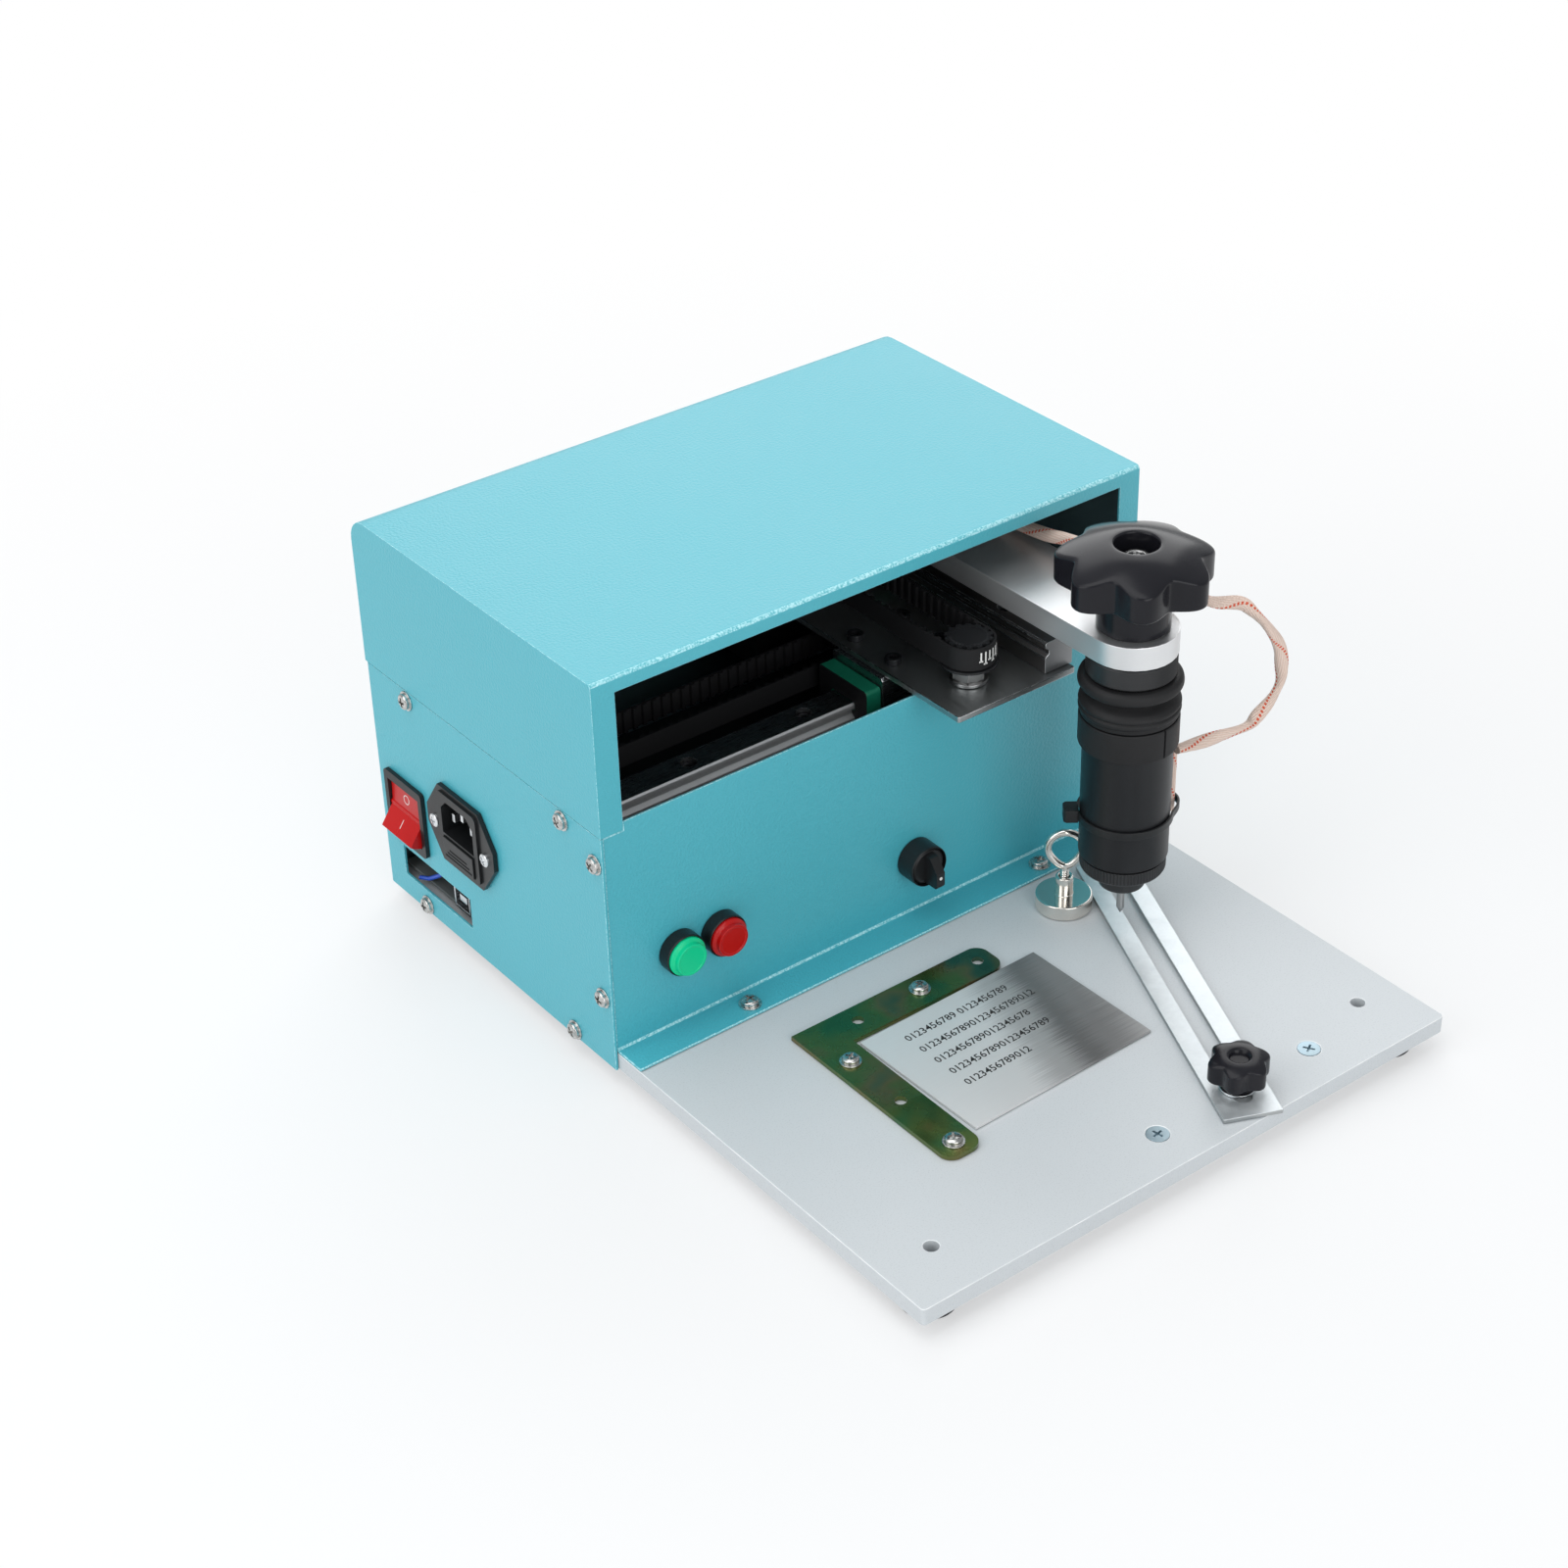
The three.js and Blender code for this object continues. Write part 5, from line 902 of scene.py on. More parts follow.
class Form:
    """A mesh in the making, in machine millimetres or in those of a stand."""

    def __init__(self) -> None:
        """Starts with an empty mesh."""
        self.mesh = bmesh.new()

    def _rings(self, rings: Sequence[list[bmesh.types.BMVert]]) -> None:
        """Joins rows of points with faces, each row closed on itself.

        Args:
            rings: Rows of equal length, or single points for poles.
        """
        for low, high in zip(rings, rings[1:]):
            count = max(len(low), len(high))
            for i in range(count):
                j = (i + 1) % count
                corners = []
                for vert in (low[i % len(low)], low[j % len(low)], high[j % len(high)], high[i % len(high)]):
                    if vert not in corners:
                        corners.append(vert)
                if len(corners) > 2:
                    self.mesh.faces.new(corners)

    def _ends(self, rows: Sequence[list[bmesh.types.BMVert]]) -> None:
        """Closes the last and the first of some rows with a face."""
        self.mesh.faces.new(rows[-1])
        self.mesh.faces.new(list(reversed(rows[0])))

    def lathe(
        self, profile: Sequence[Flat], sides: int = 72, stand: Matrix = LEVEL, wave: Optional[Wave] = None
    ) -> "Form":
        """Turns a profile of radius and height about Z.

        Args:
            profile: Points of radius and height. It closes where its last point is its first.
            sides: Faces round the axis.
            stand: Where the axis is.
            wave: Gives what is added to the radius at an angle in degrees and a profile point's number.

        Returns:
            The form itself.
        """
        loop = profile[0] == profile[-1]
        angles = [360 * i / sides for i in range(sides)]
        rows: list[list[Spot]] = []
        for number, (radius, height) in enumerate(profile[:-1] if loop else profile):
            if radius < ON_AXIS:
                rows.append([(0.0, 0.0, height)])
                continue
            reaches = [radius + wave(degrees, number) if wave else radius for degrees in angles]
            rows.append([(*polar(reach, degrees), height) for reach, degrees in zip(reaches, angles)])
        return self.loft(rows, stand, loop)

    def prism(self, outline: Sequence[Flat], low: float, high: float, stand: Matrix = LEVEL) -> "Form":
        """Raises a flat outline.

        Args:
            outline: Corners of the outline, counterclockwise.
            low: Height of its underside.
            high: Height of its top.
            stand: Where it stands.

        Returns:
            The form itself.
        """
        rows = [[self.mesh.verts.new(stand @ Vector((x, y, z))) for x, y in outline] for z in (low, high)]
        self._rings(rows)
        self._ends(rows)
        return self

    def box(self, low: Spot, high: Spot, stand: Matrix = LEVEL) -> "Form":
        """Adds a block between its lowest and its highest corner."""
        outline = [(low[0], low[1]), (high[0], low[1]), (high[0], high[1]), (low[0], high[1])]
        return self.prism(outline, low[2], high[2], stand)

    def sweep(
        self, path: Sequence[Vector], section: Sequence[Flat], closed: bool = False, twist: float = 0.0,
        layer: str = "",
    ) -> "Form":
        """Runs a section along a path.

        Args:
            path: Points of the path.
            section: Points of the section, across the path.
            closed: Whether the path ends where it starts.
            twist: Turns of the section over the path's length.
            layer: Name of a map that holds the length in millimetres and the share of the way round.

        Returns:
            The form itself.
        """
        count = len(path)
        side = None
        rows, lengths = [], []
        length = 0.0
        for i, point in enumerate(path):
            before = path[i - 1] if closed or i else point
            after = path[(i + 1) % count] if closed or i < count - 1 else point
            along = (after - before).normalized()
            if side is None:
                reference = Vector((0, 0, 1)) if abs(along.z) < 0.8 else Vector((1, 0, 0))
                side = reference.cross(along).normalized()
            side = (side - along * side.dot(along)).normalized()
            up = along.cross(side)
            if i:
                length += (point - path[i - 1]).length
            turn = math.tau * twist * i / max(count - 1, 1)
            cosine, sine = math.cos(turn), math.sin(turn)
            row = []
            for x, y in section:
                across, over = x * cosine - y * sine, x * sine + y * cosine
                row.append(self.mesh.verts.new(point + side * across + up * over))
            rows.append(row)
            lengths.append(length)
        if closed:
            self._rings([*rows, rows[0]])
            return self
        first = len(self.mesh.faces)
        self._rings(rows)
        if layer:
            self.mesh.faces.ensure_lookup_table()
            chart = self.mesh.loops.layers.uv.new(layer)
            around = len(section)
            for index, face in enumerate(self.mesh.faces[first:]):
                row, column = divmod(index, around)
                shares = (column / around, (column + 1) / around, (column + 1) / around, column / around)
                spots = (lengths[row], lengths[row], lengths[row + 1], lengths[row + 1])
                for loop, share, spot in zip(face.loops, shares, spots):
                    loop[chart].uv = (spot, share)
        self._ends(rows)
        return self

    def loft(self, rows: Sequence[Sequence[Spot]], stand: Matrix = LEVEL, looped: bool = False) -> "Form":
        """Joins rows of points with faces, each row closed on itself.

        Args:
            rows: Rows with the same number of points, or single points for poles.
            stand: Where it stands.
            looped: Whether the last row joins the first.

        Returns:
            The form itself.
        """
        rings = [[self.mesh.verts.new(stand @ Vector(point)) for point in row] for row in rows]
        self._rings([*rings, rings[0]] if looped else rings)
        return self

    def copy_of(self, mesh: bpy.types.Mesh, stand: Matrix) -> "Form":
        """Adds a finished mesh at a stand.

        Args:
            mesh: The mesh, in millimetres.
            stand: Where it goes.

        Returns:
            The form itself.
        """
        known = len(self.mesh.verts)
        self.mesh.from_mesh(mesh)
        self.mesh.verts.ensure_lookup_table()
        for vert in self.mesh.verts[known:]:
            vert.co = stand @ vert.co
        return self

    def as_mesh(self, name: str) -> bpy.types.Mesh:
        """Turns the form into a mesh in millimetres and lets the form go.

        Args:
            name: The mesh's name.

        Returns:
            The mesh.
        """
        bmesh.ops.recalc_face_normals(self.mesh, faces=self.mesh.faces)
        mesh = bpy.data.meshes.new(name)
        self.mesh.to_mesh(mesh)
        self.mesh.free()
        return mesh


def add_object(name: str, data: bpy.types.ID) -> bpy.types.Object:
    """Adds an object to the scene.

    Args:
        name: Its name.
        data: Its mesh, camera, lamp or text.

    Returns:
        The object.
    """
    thing = bpy.data.objects.new(name, data)
    bpy.context.scene.collection.objects.link(thing)
    return thing


def evaluated(thing: bpy.types.Object) -> bpy.types.Mesh:
    """Gives an object's mesh with its modifiers applied.

    Args:
        thing: The object.

    Returns:
        The new mesh.
    """
    bpy.context.view_layer.update()
    return bpy.data.meshes.new_from_object(thing.evaluated_get(bpy.context.evaluated_depsgraph_get()))


def apply_modifiers(thing: bpy.types.Object) -> None:
    """Replaces an object's mesh by what its modifiers make of it.

    Args:
        thing: The object.
    """
    old = thing.data
    name = old.name
    thing.data = evaluated(thing)
    thing.modifiers.clear()
    bpy.data.meshes.remove(old)
    thing.data.name = name


def round_edges(thing: bpy.types.Object, width: float, segments: int) -> None:
    """Rounds an object's sharp edges and gives the roundings its last material, which is a painted highlight
    where the finish has a rim.

    Args:
        thing: The object.
        width: Width of the rounding in millimetres.
        segments: Faces across the rounding.
    """
    bevel = thing.modifiers.new("edges", "BEVEL")
    bevel.width = width * MM
    bevel.segments = segments
    bevel.limit_method = "ANGLE"
    bevel.angle_limit = EDGE_ANGLE
    bevel.use_clamp_overlap = True
    bevel.material = len(thing.data.materials) - 1
    apply_modifiers(thing)


def shade(thing: bpy.types.Object, degrees: float) -> None:
    """Shades an object smoothly, but for its sharp edges, with its flat faces kept flat.

    Args:
        thing: The object.
        degrees: Edges sharper than this stay sharp.
    """
    mesh = thing.data
    mesh.polygons.foreach_set("use_smooth", [True] * len(mesh.polygons))
    mesh.set_sharp_from_angle(angle=math.radians(degrees))
    weighted = thing.modifiers.new("flat faces", "WEIGHTED_NORMAL")
    weighted.keep_sharp = True
    apply_modifiers(thing)


Look = Union[Finish, bpy.types.Material]


def finish_with(thing: bpy.types.Object, finish: Look) -> None:
    """Gives an object its material and, where the finish has one, the painted highlight of its rounded edges.

    Args:
        thing: The object.
        finish: Its finish or material.
    """
    materials = thing.data.materials
    materials.clear()
    if isinstance(finish, bpy.types.Material):
        materials.append(finish)
        return
    materials.append(finish.material())
    # A rim is a lighter colour painted on the rounded edges as a highlight.
    if finish.rim:
        materials.append(finish.rim.material())


@dataclass(frozen=True)
class Bend:
    """Where a soft piece would bend between two bodies. A piece given one is left unattached; nothing bends
    it.

    Attributes:
        other: The body that its far end follows; not used.
        start: Where it leaves its own body, in machine millimetres; not used.
        end: Where it meets the other body; not used.
    """

    other: str
    start: Spot
    end: Spot


def add_piece(
    name: str, mesh: bpy.types.Mesh, finish: Look, node: str, slot: str = "", edge: float = 0.0,
    sharp: float = 35.0, segments: int = 2, bend: Optional[Bend] = None,
) -> bpy.types.Object:
    """Adds a piece of the model.

    Args:
        name: The piece's name.
        mesh: Its mesh in metres.
        finish: Its finish or material.
        node: The CAD node whose body it rides on, and which it replaces unless a slot is given.
        slot: A material slot of the record, given when the piece adds to its node rather than replacing it;
            only whether it is given is used.
        edge: Width of its rounded edges in millimetres.
        sharp: Edges sharper than this stay sharp in shading.
        segments: Faces across each rounded edge.
        bend: A bend between its body and another one, or nothing for a rigid piece. Given one, the piece is
            left unattached with its place baked into its mesh; it does not bend.

    Returns:
        The piece.
    """
    body = BODIES[node]
    thing = add_object(name, mesh)
    finish_with(thing, finish)
    if edge:
        round_edges(thing, edge, segments)
    shade(thing, sharp)
    if bend:
        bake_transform(thing)
    else:
        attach(thing, body)
    if not slot:
        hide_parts(node)
    log.info("%s: %d faces on %s", name, len(thing.data.polygons), body)
    return thing


def show(name: str, form: Form, finish: Look, node: str, **options: object) -> bpy.types.Object:
    """Turns a form into a piece of the model.

    Args:
        name: The piece's name.
        form: Its form in machine millimetres.
        finish: Its finish or material.
        node: The CAD node that it rides with or replaces.
        options: Further options of add_piece.

    Returns:
        The piece.
    """
    mesh = form.as_mesh(name)
    mesh.transform(TO_METRES)
    return add_piece(name, mesh, finish, node, **options)


def dress(node: str, finish: Look, edge: float = 0.3, segments: int = 2) -> bpy.types.Object:
    """Makes a node's own shape again with rounded edges and a finish.

    Args:
        node: The CAD node.
        finish: Its finish or material.
        edge: Width of the rounded edges in millimetres.
        segments: Faces across each rounded edge.

    Returns:
        The piece that stands for the node.
    """
    mesh = frame["nodes"][node].data.copy()
    build = bmesh.new()
    build.from_mesh(mesh)
    bmesh.ops.remove_doubles(build, verts=build.verts, dist=WELD)
    bmesh.ops.dissolve_limit(build, angle_limit=FLAT_ANGLE, verts=build.verts, edges=build.edges)
    build.to_mesh(mesh)
    build.free()
    return add_piece(node + "_dressed", mesh, finish, node, edge=edge, sharp=30.0, segments=segments)


def paint_faces(
    thing: bpy.types.Object, finish: Finish, chosen: Callable[[Vector, Vector], bool]
) -> bpy.types.Object:
    """Gives some of an object's faces a finish of their own.

    Args:
        thing: The object.
        finish: The faces' finish.
        chosen: Tells from a face's middle, in machine millimetres, and its normal whether it is one of them.

    Returns:
        The object.
    """
    thing.data.materials.append(finish.material())
    number = len(thing.data.materials) - 1
    for face in thing.data.polygons:
        if chosen(in_millimetres(face.center), face.normal):
            face.material_index = number
    return thing


# Fasteners


@dataclass(frozen=True)
class CrossHead:
    """A screw head with a cross recess.

    Attributes:
        radius: Radius of the head.
        height: Height of the head.
        washer: Radius of the washer under it, or 0 for none.
        washer_height: Thickness of the washer.
        blade: Width of a recess blade, as a share of the radius.
        reach: Length of a recess blade, as a share of the diameter.
        depth: Depth of the recess, or 0 for about half the height.
        under: The profile below the rim of a countersunk head, from the axis outwards.
        rows: Rows of faces on its dome.
        fullness: Power of the dome's curve, lower for a fuller one.
    """

    radius: float = 3.6
    height: float = 2.2
    washer: float = 4.5
    washer_height: float = 0.7
    blade: float = 0.3
    reach: float = 0.62
    depth: float = 0.0
    under: tuple[Flat, ...] = ()
    rows: int = 6
    fullness: float = 0.7

    def mesh(self) -> bpy.types.Mesh:
        """Builds the head standing on Z = 0.

        Returns:
            The mesh in millimetres.
        """
        base = self.washer_height if self.washer else 0.0
        top = base + self.height
        side = base + self.height * 0.5
        below = self.under or ((0.0, base - 0.3), (self.radius, base - 0.3))
        profile = [*below, (self.radius, side)]
        for i in range(1, self.rows):
            angle = i / self.rows * math.pi / 2
            radius = self.radius * math.cos(angle) ** self.fullness
            profile.append((radius, side + (top - side) * math.sin(angle)))
        profile.append((0.0, top))
        half = self.radius * self.blade / 2
        reach = self.radius * self.reach
        cross = Form()
        for x, y in ((half, reach), (reach, half)):
            cross.box((-x, -y, top - (self.depth or self.height * 0.55)), (x, y, top + 1.0))
        head = add_object("head", Form().lathe(profile, 32).as_mesh("head"))
        cutter = add_object("recess", cross.as_mesh("recess"))
        cut = head.modifiers.new("recess", "BOOLEAN")
        cut.operation = "DIFFERENCE"
        cut.solver = "EXACT"
        cut.use_self = True
        cut.object = cutter
        mesh = evaluated(head)
        for thing in (head, cutter):
            bpy.data.objects.remove(thing)
        if not self.washer:
            return mesh
        ring = softened(slab(0.0, self.washer, 0.0, self.washer_height), 0.2)
        return Form().copy_of(mesh, LEVEL).lathe(ring, 32).as_mesh("washer_head")


@dataclass(frozen=True)
class SocketHead:
    """A cylindrical screw head with a hexagon socket.

    Attributes:
        radius: Radius of the head.
        height: Height of the head.
        socket: Radius of the hexagon's corners.
    """

    radius: float = 3.0
    height: float = 3.0
    socket: float = 1.6

    def mesh(self) -> bpy.types.Mesh:
        """Builds the head standing on Z = 0.

        Returns:
            The mesh in millimetres.
        """
        socket, height = self.socket, self.height
        floor = height - height * 0.6
        outer = softened([(0.0, 0.0), (self.radius, 0.0), (self.radius, height), (socket + 0.4, height)], 0.3)
        inner = [(socket, height - 0.3), (socket, floor), (0.0, floor)]
        inner_from = len(outer)

        def hexagon(degrees: float, number: int) -> float:
            """Pulls the socket's rings to a hexagon, at an angle and a profile point."""
            part = math.radians((degrees % 60) - 30)
            return socket * (math.cos(math.pi / 6) / math.cos(part) - 1) if number >= inner_from else 0.0

        return Form().lathe([*outer, *inner], 24, wave=hexagon).as_mesh("socket_head")


def fasteners(
    name: str, head: Union[CrossHead, SocketHead], stands: Iterable[Matrix], finish: Finish, node: str,
    slot: str,
) -> None:
    """Places one head at several stands, as one piece.

    Args:
        name: Name of the piece that holds them all.
        head: The head.
        stands: Where each stands, with Z out of the surface.
        finish: Their finish.
        node: The CAD node they ride with.
        slot: A material slot of the record; it only keeps the node shown.
    """
    form = Form()
    mesh = head.mesh()
    for number, stand in enumerate(stands):
        turn = math.radians(NEXT_TURN * number + FIRST_TURN)
        form.copy_of(mesh, stand @ Matrix.Rotation(turn, 4, "Z"))
    show(name, form, finish, node, slot=slot)


# Sub-assemblies


@dataclass
class Studio:
    """The camera, the lamps and the floor."""

    eye: Spot = (-522.09, -628.5, 766.42)
    azimuth: float = 37.273
    elevation: float = 33.553
    roll: float = -1.2326
    focal_share: float = 3069.5 / 1600
    shift: Flat = (-0.0213, 0.0118)
    sensor: float = 36.0
    floor_size: float = 9000.0
    floor_colour: Colour = (0.8, 0.81, 0.82)
    floor_light: float = 0.48
    floor_top: float = -16.0
    floor_thickness: float = 2.0
    fading: Flat = (0.3, 0.8)
    clip: Flat = (0.01, 50.0)
    world_strength: float = 0.5
    world_colour: Colour = (0.95, 0.98, 1.0)
    lamps: tuple[tuple[str, Spot, float, float], ...] = (
        ("overhead", (-300.0, 300.0, 1900.0), 1600.0, 16.0),
        ("left", (-1500.0, 250.0, 900.0), 1300.0, 10.0),
        ("front", (-250.0, -1750.0, 800.0), 1400.0, 14.5),
        ("rear", (1500.0, 1750.0, 1350.0), 1900.0, 22.0),
    )
    target: Spot = (150.0, 200.0, 60.0)

    def place_camera(self) -> None:
        """Puts the camera where the photograph was taken from."""
        az, el, roll = (math.radians(a) for a in (self.azimuth, self.elevation, self.roll))
        ahead = Vector((math.sin(az) * math.cos(el), math.cos(az) * math.cos(el), -math.sin(el)))
        level = Vector((math.cos(az), -math.sin(az), 0.0))
        above = level.cross(ahead)
        right = math.cos(roll) * level + math.sin(roll) * above
        up = math.cos(roll) * above - math.sin(roll) * level
        turn = Matrix((right, up, -ahead)).transposed().to_4x4()
        data = bpy.data.cameras.new("camera")
        data.sensor_width = self.sensor
        data.lens = self.focal_share * self.sensor
        data.shift_x, data.shift_y = self.shift
        data.clip_start, data.clip_end = self.clip
        camera = add_object("camera", data)
        camera.matrix_world = Matrix.Translation(in_metres(self.eye)) @ turn
        bpy.context.scene.camera = camera
        log.info("camera placed")

    def _seen(self, tree: bpy.types.NodeTree) -> bpy.types.NodeSocket:
        """Adds a mask of the rays that show a surface to the camera, directly or in glass and gloss.

        Args:
            tree: The tree it goes into.

        Returns:
            The mask's socket.
        """
        path = tree.nodes.new("ShaderNodeLightPath")
        both = math_node(tree, "MAXIMUM", path.outputs["Is Camera Ray"], path.outputs["Is Transmission Ray"])
        return math_node(tree, "MAXIMUM", both, path.outputs["Is Glossy Ray"])

    def build_floor(self) -> None:
        """Lays the pale floor, which is near white to the camera and keeps the machine's shadow."""
        half, top = self.floor_size / 2, self.floor_top
        mesh = Form().box((-half, -half, top - self.floor_thickness), (half, half, top)).as_mesh("floor")
        mesh.transform(TO_METRES)
        floor = add_object("floor", mesh)
        made, tree, shader = new_material("floor_paint")
        set_inputs(tree, shader, Base_Color=self.floor_colour, Roughness=0.9, Specular_IOR_Level=0.1)
        light = set_inputs(tree, tree.nodes.new("ShaderNodeEmission"), Color=WHITE)
        away = tree.nodes.new("ShaderNodeVectorMath")
        away.operation = "LENGTH"
        tree.links.new(tree.nodes.new("ShaderNodeNewGeometry").outputs["Position"], away.inputs[0])
        faded = ramp_between(tree, away.outputs["Value"], *self.fading, self.floor_light, 1.0)
        share = math_node(tree, "MULTIPLY", self._seen(tree), faded)
        mix_shaders(tree, share, shader, light, "Material Output")
        mesh.materials.append(made)
        log.info("floor laid")

    def build_lights(self) -> None:
        """Hangs the soft lamps and sets the world's even light."""
        world = bpy.data.worlds.new("studio")
        world.use_nodes = True
        tree = world.node_tree
        even = set_inputs(
            tree, tree.nodes["Background"], Color=self.world_colour, Strength=self.world_strength
        )
        white = set_inputs(tree, tree.nodes.new("ShaderNodeBackground"), Color=WHITE, Strength=1.0)
        path = tree.nodes.new("ShaderNodeLightPath")
        mix_shaders(tree, path.outputs["Is Camera Ray"], even, white, "World Output")
        bpy.context.scene.world = world
        for name, spot, size, power in self.lamps:
            data = bpy.data.lights.new(name, "AREA")
            data.size = size * MM
            data.energy = power
            lamp = add_object(name, data)
            lamp.location = in_metres(spot)
            aim = in_metres(self.target) - lamp.location
            lamp.rotation_euler = aim.to_track_quat("-Z", "Y").to_euler()
        bpy.context.scene.view_settings.view_transform = "Standard"
        log.info("lights placed")


@dataclass
class HeadLead:
    """The head's braided lead, from its saddle on the arm to the side of the head."""

    head: Flat = (218.1, 130.6)
    route: tuple[Spot, ...] = (
        (13.4, 173, 155.3), (13.5, 159, 155.3), (13.9, 131, 155), (14.5, 99, 155.6), (14.5, 70, 158.8),
        (15.3, 53, 162.7), (18.7, 32, 164.6), (23.1, 13, 161.8), (28.7, 0, 157.2), (35.2, -9, 153.2),
        (45.5, -15, 151.5), (50.4, -18, 146.7), (57.5, -20, 138.1), (64.4, -21, 126.6), (66.5, -21, 115.6),
        (66.1, -21, 108.1), (62.4, -20, 100.6), (56.1, -19, 94.8), (51.4, -18, 91.1), (38, -16, 90.9),
        (28.6, -14, 90.5), (16.7, -11.8, 90.5),
    )
    half_width: float = 2.95
    half_thickness: float = 1.9
    steps_between: int = 14
    turns: float = 3.5
    tail: Flat = (20.57, -5.9)
    tail_radius: float = 2.0
    tail_low: float = 56.4
    tail_high: float = 96.4
    tail_steps: int = 24
    sides: int = 14

    def _points(self) -> list[Vector]:
        """Gives the route's points in machine millimetres."""
        return [Vector((self.head[0] + x, self.head[1] + y, z)) for x, y, z in self.route]

    def _smooth_route(self) -> list[Vector]:
        """Runs a smooth curve through the route's points.

        Returns:
            Close points on the curve.
        """
        points = self._points()
        ends = [points[0] * 2 - points[1], *points, points[-1] * 2 - points[-2]]
        out: list[Vector] = []
        for a, b, c, d in zip(ends, ends[1:], ends[2:], ends[3:]):
            bow, swing = 2 * a - 5 * b + 4 * c - d, 3 * b - a - 3 * c + d
            for i in range(self.steps_between):
                t = i / self.steps_between
                out.append(0.5 * (2 * b + (c - a) * t + bow * t * t + swing * t ** 3))
        out.append(points[-1])
        return out

    def build(self) -> None:
        path = self._smooth_route()
        section = [(self.half_width * x, self.half_thickness * y) for x, y in circle(1.0, self.sides)]
        form = Form().sweep(path, section, twist=self.turns, layer="lead")
        braid = braid_finish()
        lead = show("head_lead_braid", form, braid, "head_lead", sharp=60)
        steps, rise = self.tail_steps, self.tail_high - self.tail_low
        x, y = self.head[0] + self.tail[0], self.head[1] + self.tail[1]
        line = [Vector((x, y, self.tail_low + rise * i / steps)) for i in range(steps + 1)]
        tail = Form().sweep(line, circle(self.tail_radius, self.sides), layer="lead")
        show("lead_tail_braid", tail, braid, "lead_tail", sharp=60)


@dataclass
class WorkBed:
    """The base plate on its feet, with the screws in its holes."""

    foot_radius: float = 12.5
    foot_height: float = 7.7
    foot_taper: float = 1.2
    recess_radius: float = 5.0
    recess_depth: float = 4.0
    plate_thickness: float = 8.0
    sunk_screws: tuple[Flat, ...] = ((136.0, 19.5), (221.0, 20.0))
    sunk: float = -0.12
    cone: tuple[Flat, ...] = ((0.0, -5.9), (2.0, -5.9), (2.1, -2.5), (4.8, -0.1))

    def build(self) -> None:
        """Builds the plate, its feet and its screws."""
        dress("base_plate", BED_COAT, 0.5)
        low = -self.plate_thickness - 8.0
        floor, high = low + self.recess_depth, low + self.foot_height
        profile = softened(
            [
                (0.0, floor), (self.recess_radius, floor), (self.recess_radius, low),
                (self.foot_radius - self.foot_taper, low), (self.foot_radius, high), (0.0, high),
            ], 0.8,
        )
        for node in ("foot_front_left", "foot_front_right", "foot_rear_left", "foot_rear_right"):
            corner_low, corner_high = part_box(node)
            middle = in_millimetres((corner_low + corner_high) / 2)
            stand = upright(middle.x, middle.y)
            show(node + "_rubber", Form().lathe(profile, 64, stand), FOOT_RUBBER, node)
        head = CrossHead(
            4.8, 0.26, washer=0.0, washer_height=0.0, blade=0.21, reach=0.52, depth=1.4, under=self.cone
        )
        fasteners(
            "bed_screws", head, uprights(self.sunk_screws, self.sunk), BLUE_ZINC, "base_plate", "zinc"
        )


@dataclass
class Housing:
    """The bent shell, the front panel and the cover."""

    wall_screws: tuple[Flat, ...] = (
        (341.0, 101.8), (223.5, 101.8), (201.0, 92.5), (201.7, 26.3), (341.0, -4.0), (225.0, -4.0),
    )
    flange_screws: tuple[Flat, ...] = ((61.0, 187.0), (222.0, 187.0))
    flange_top: float = 1.5
    right_wall: float = 281.5
    fold_slope: float = 0.35
    fold_top: float = 0.97
    front: Flat = (195.0, 198.6)
    middle: Spot = (140.0, 285.0, 80.0)
    half_room: Spot = (140.8, 88.3, 96.2)

    def _is_inside(self, spot: Vector, normal: Vector) -> bool:
        """Tells whether a face of the sheet metal looks into the housing, where shade is painted on it.

        Args:
            spot: The face's middle in machine millimetres.
            normal: The face's normal.

        Returns:
            Whether it does.
        """
        if self.front[0] < spot.y < self.front[1]:
            return normal.y > 0.7 and spot.z > 1.0
        ahead = Vector(self.middle) - spot
        within = all(abs(ahead[i]) < self.half_room[i] for i in range(3))
        strongest = max(range(3), key=lambda i: abs(normal[i]))
        return spot.y > self.front[1] and within and ahead[strongest] * normal[strongest] > 0

    def _is_fold(self, spot: Vector, normal: Vector) -> bool:
        """Tells whether a face belongs to a rounding that looks up and to the front, where a highlight is
        painted on it.
        """
        return normal.y < -self.fold_slope and self.fold_slope < normal.z < self.fold_top

    def build(self) -> None:
        """Builds the sheet-metal parts and their screws."""
        for node, edge in (("side_shell", 0.45), ("front_panel", 0.45), ("top_cover", 0.5)):
            # Inside faces get painted shade.
            sheet = paint_faces(dress(node, POWDER, edge), INSIDE_PAINTED_SHADE, self._is_inside)
            # Rounded faces of the front fold get a painted highlight.
            paint_faces(sheet, POWDER_PAINTED_HIGHLIGHT, self._is_fold)
        stands = [left_wall(y, z) for y, z in self.wall_screws]
        for y, z in self.wall_screws:
            stands.append(turned_to((0, 1, 0), (0, 0, 1), (1, 0, 0), (self.right_wall, y, z)))
        fasteners("wall_screws", CrossHead(), stands, SCREW_STEEL, "side_shell", "zinc")
        fasteners(
            "flange_screws", CrossHead(3.8, 2.4, washer=4.9, washer_height=0.8),
            uprights(self.flange_screws, self.flange_top), SCREW_STEEL, "front_panel", "zinc",
        )


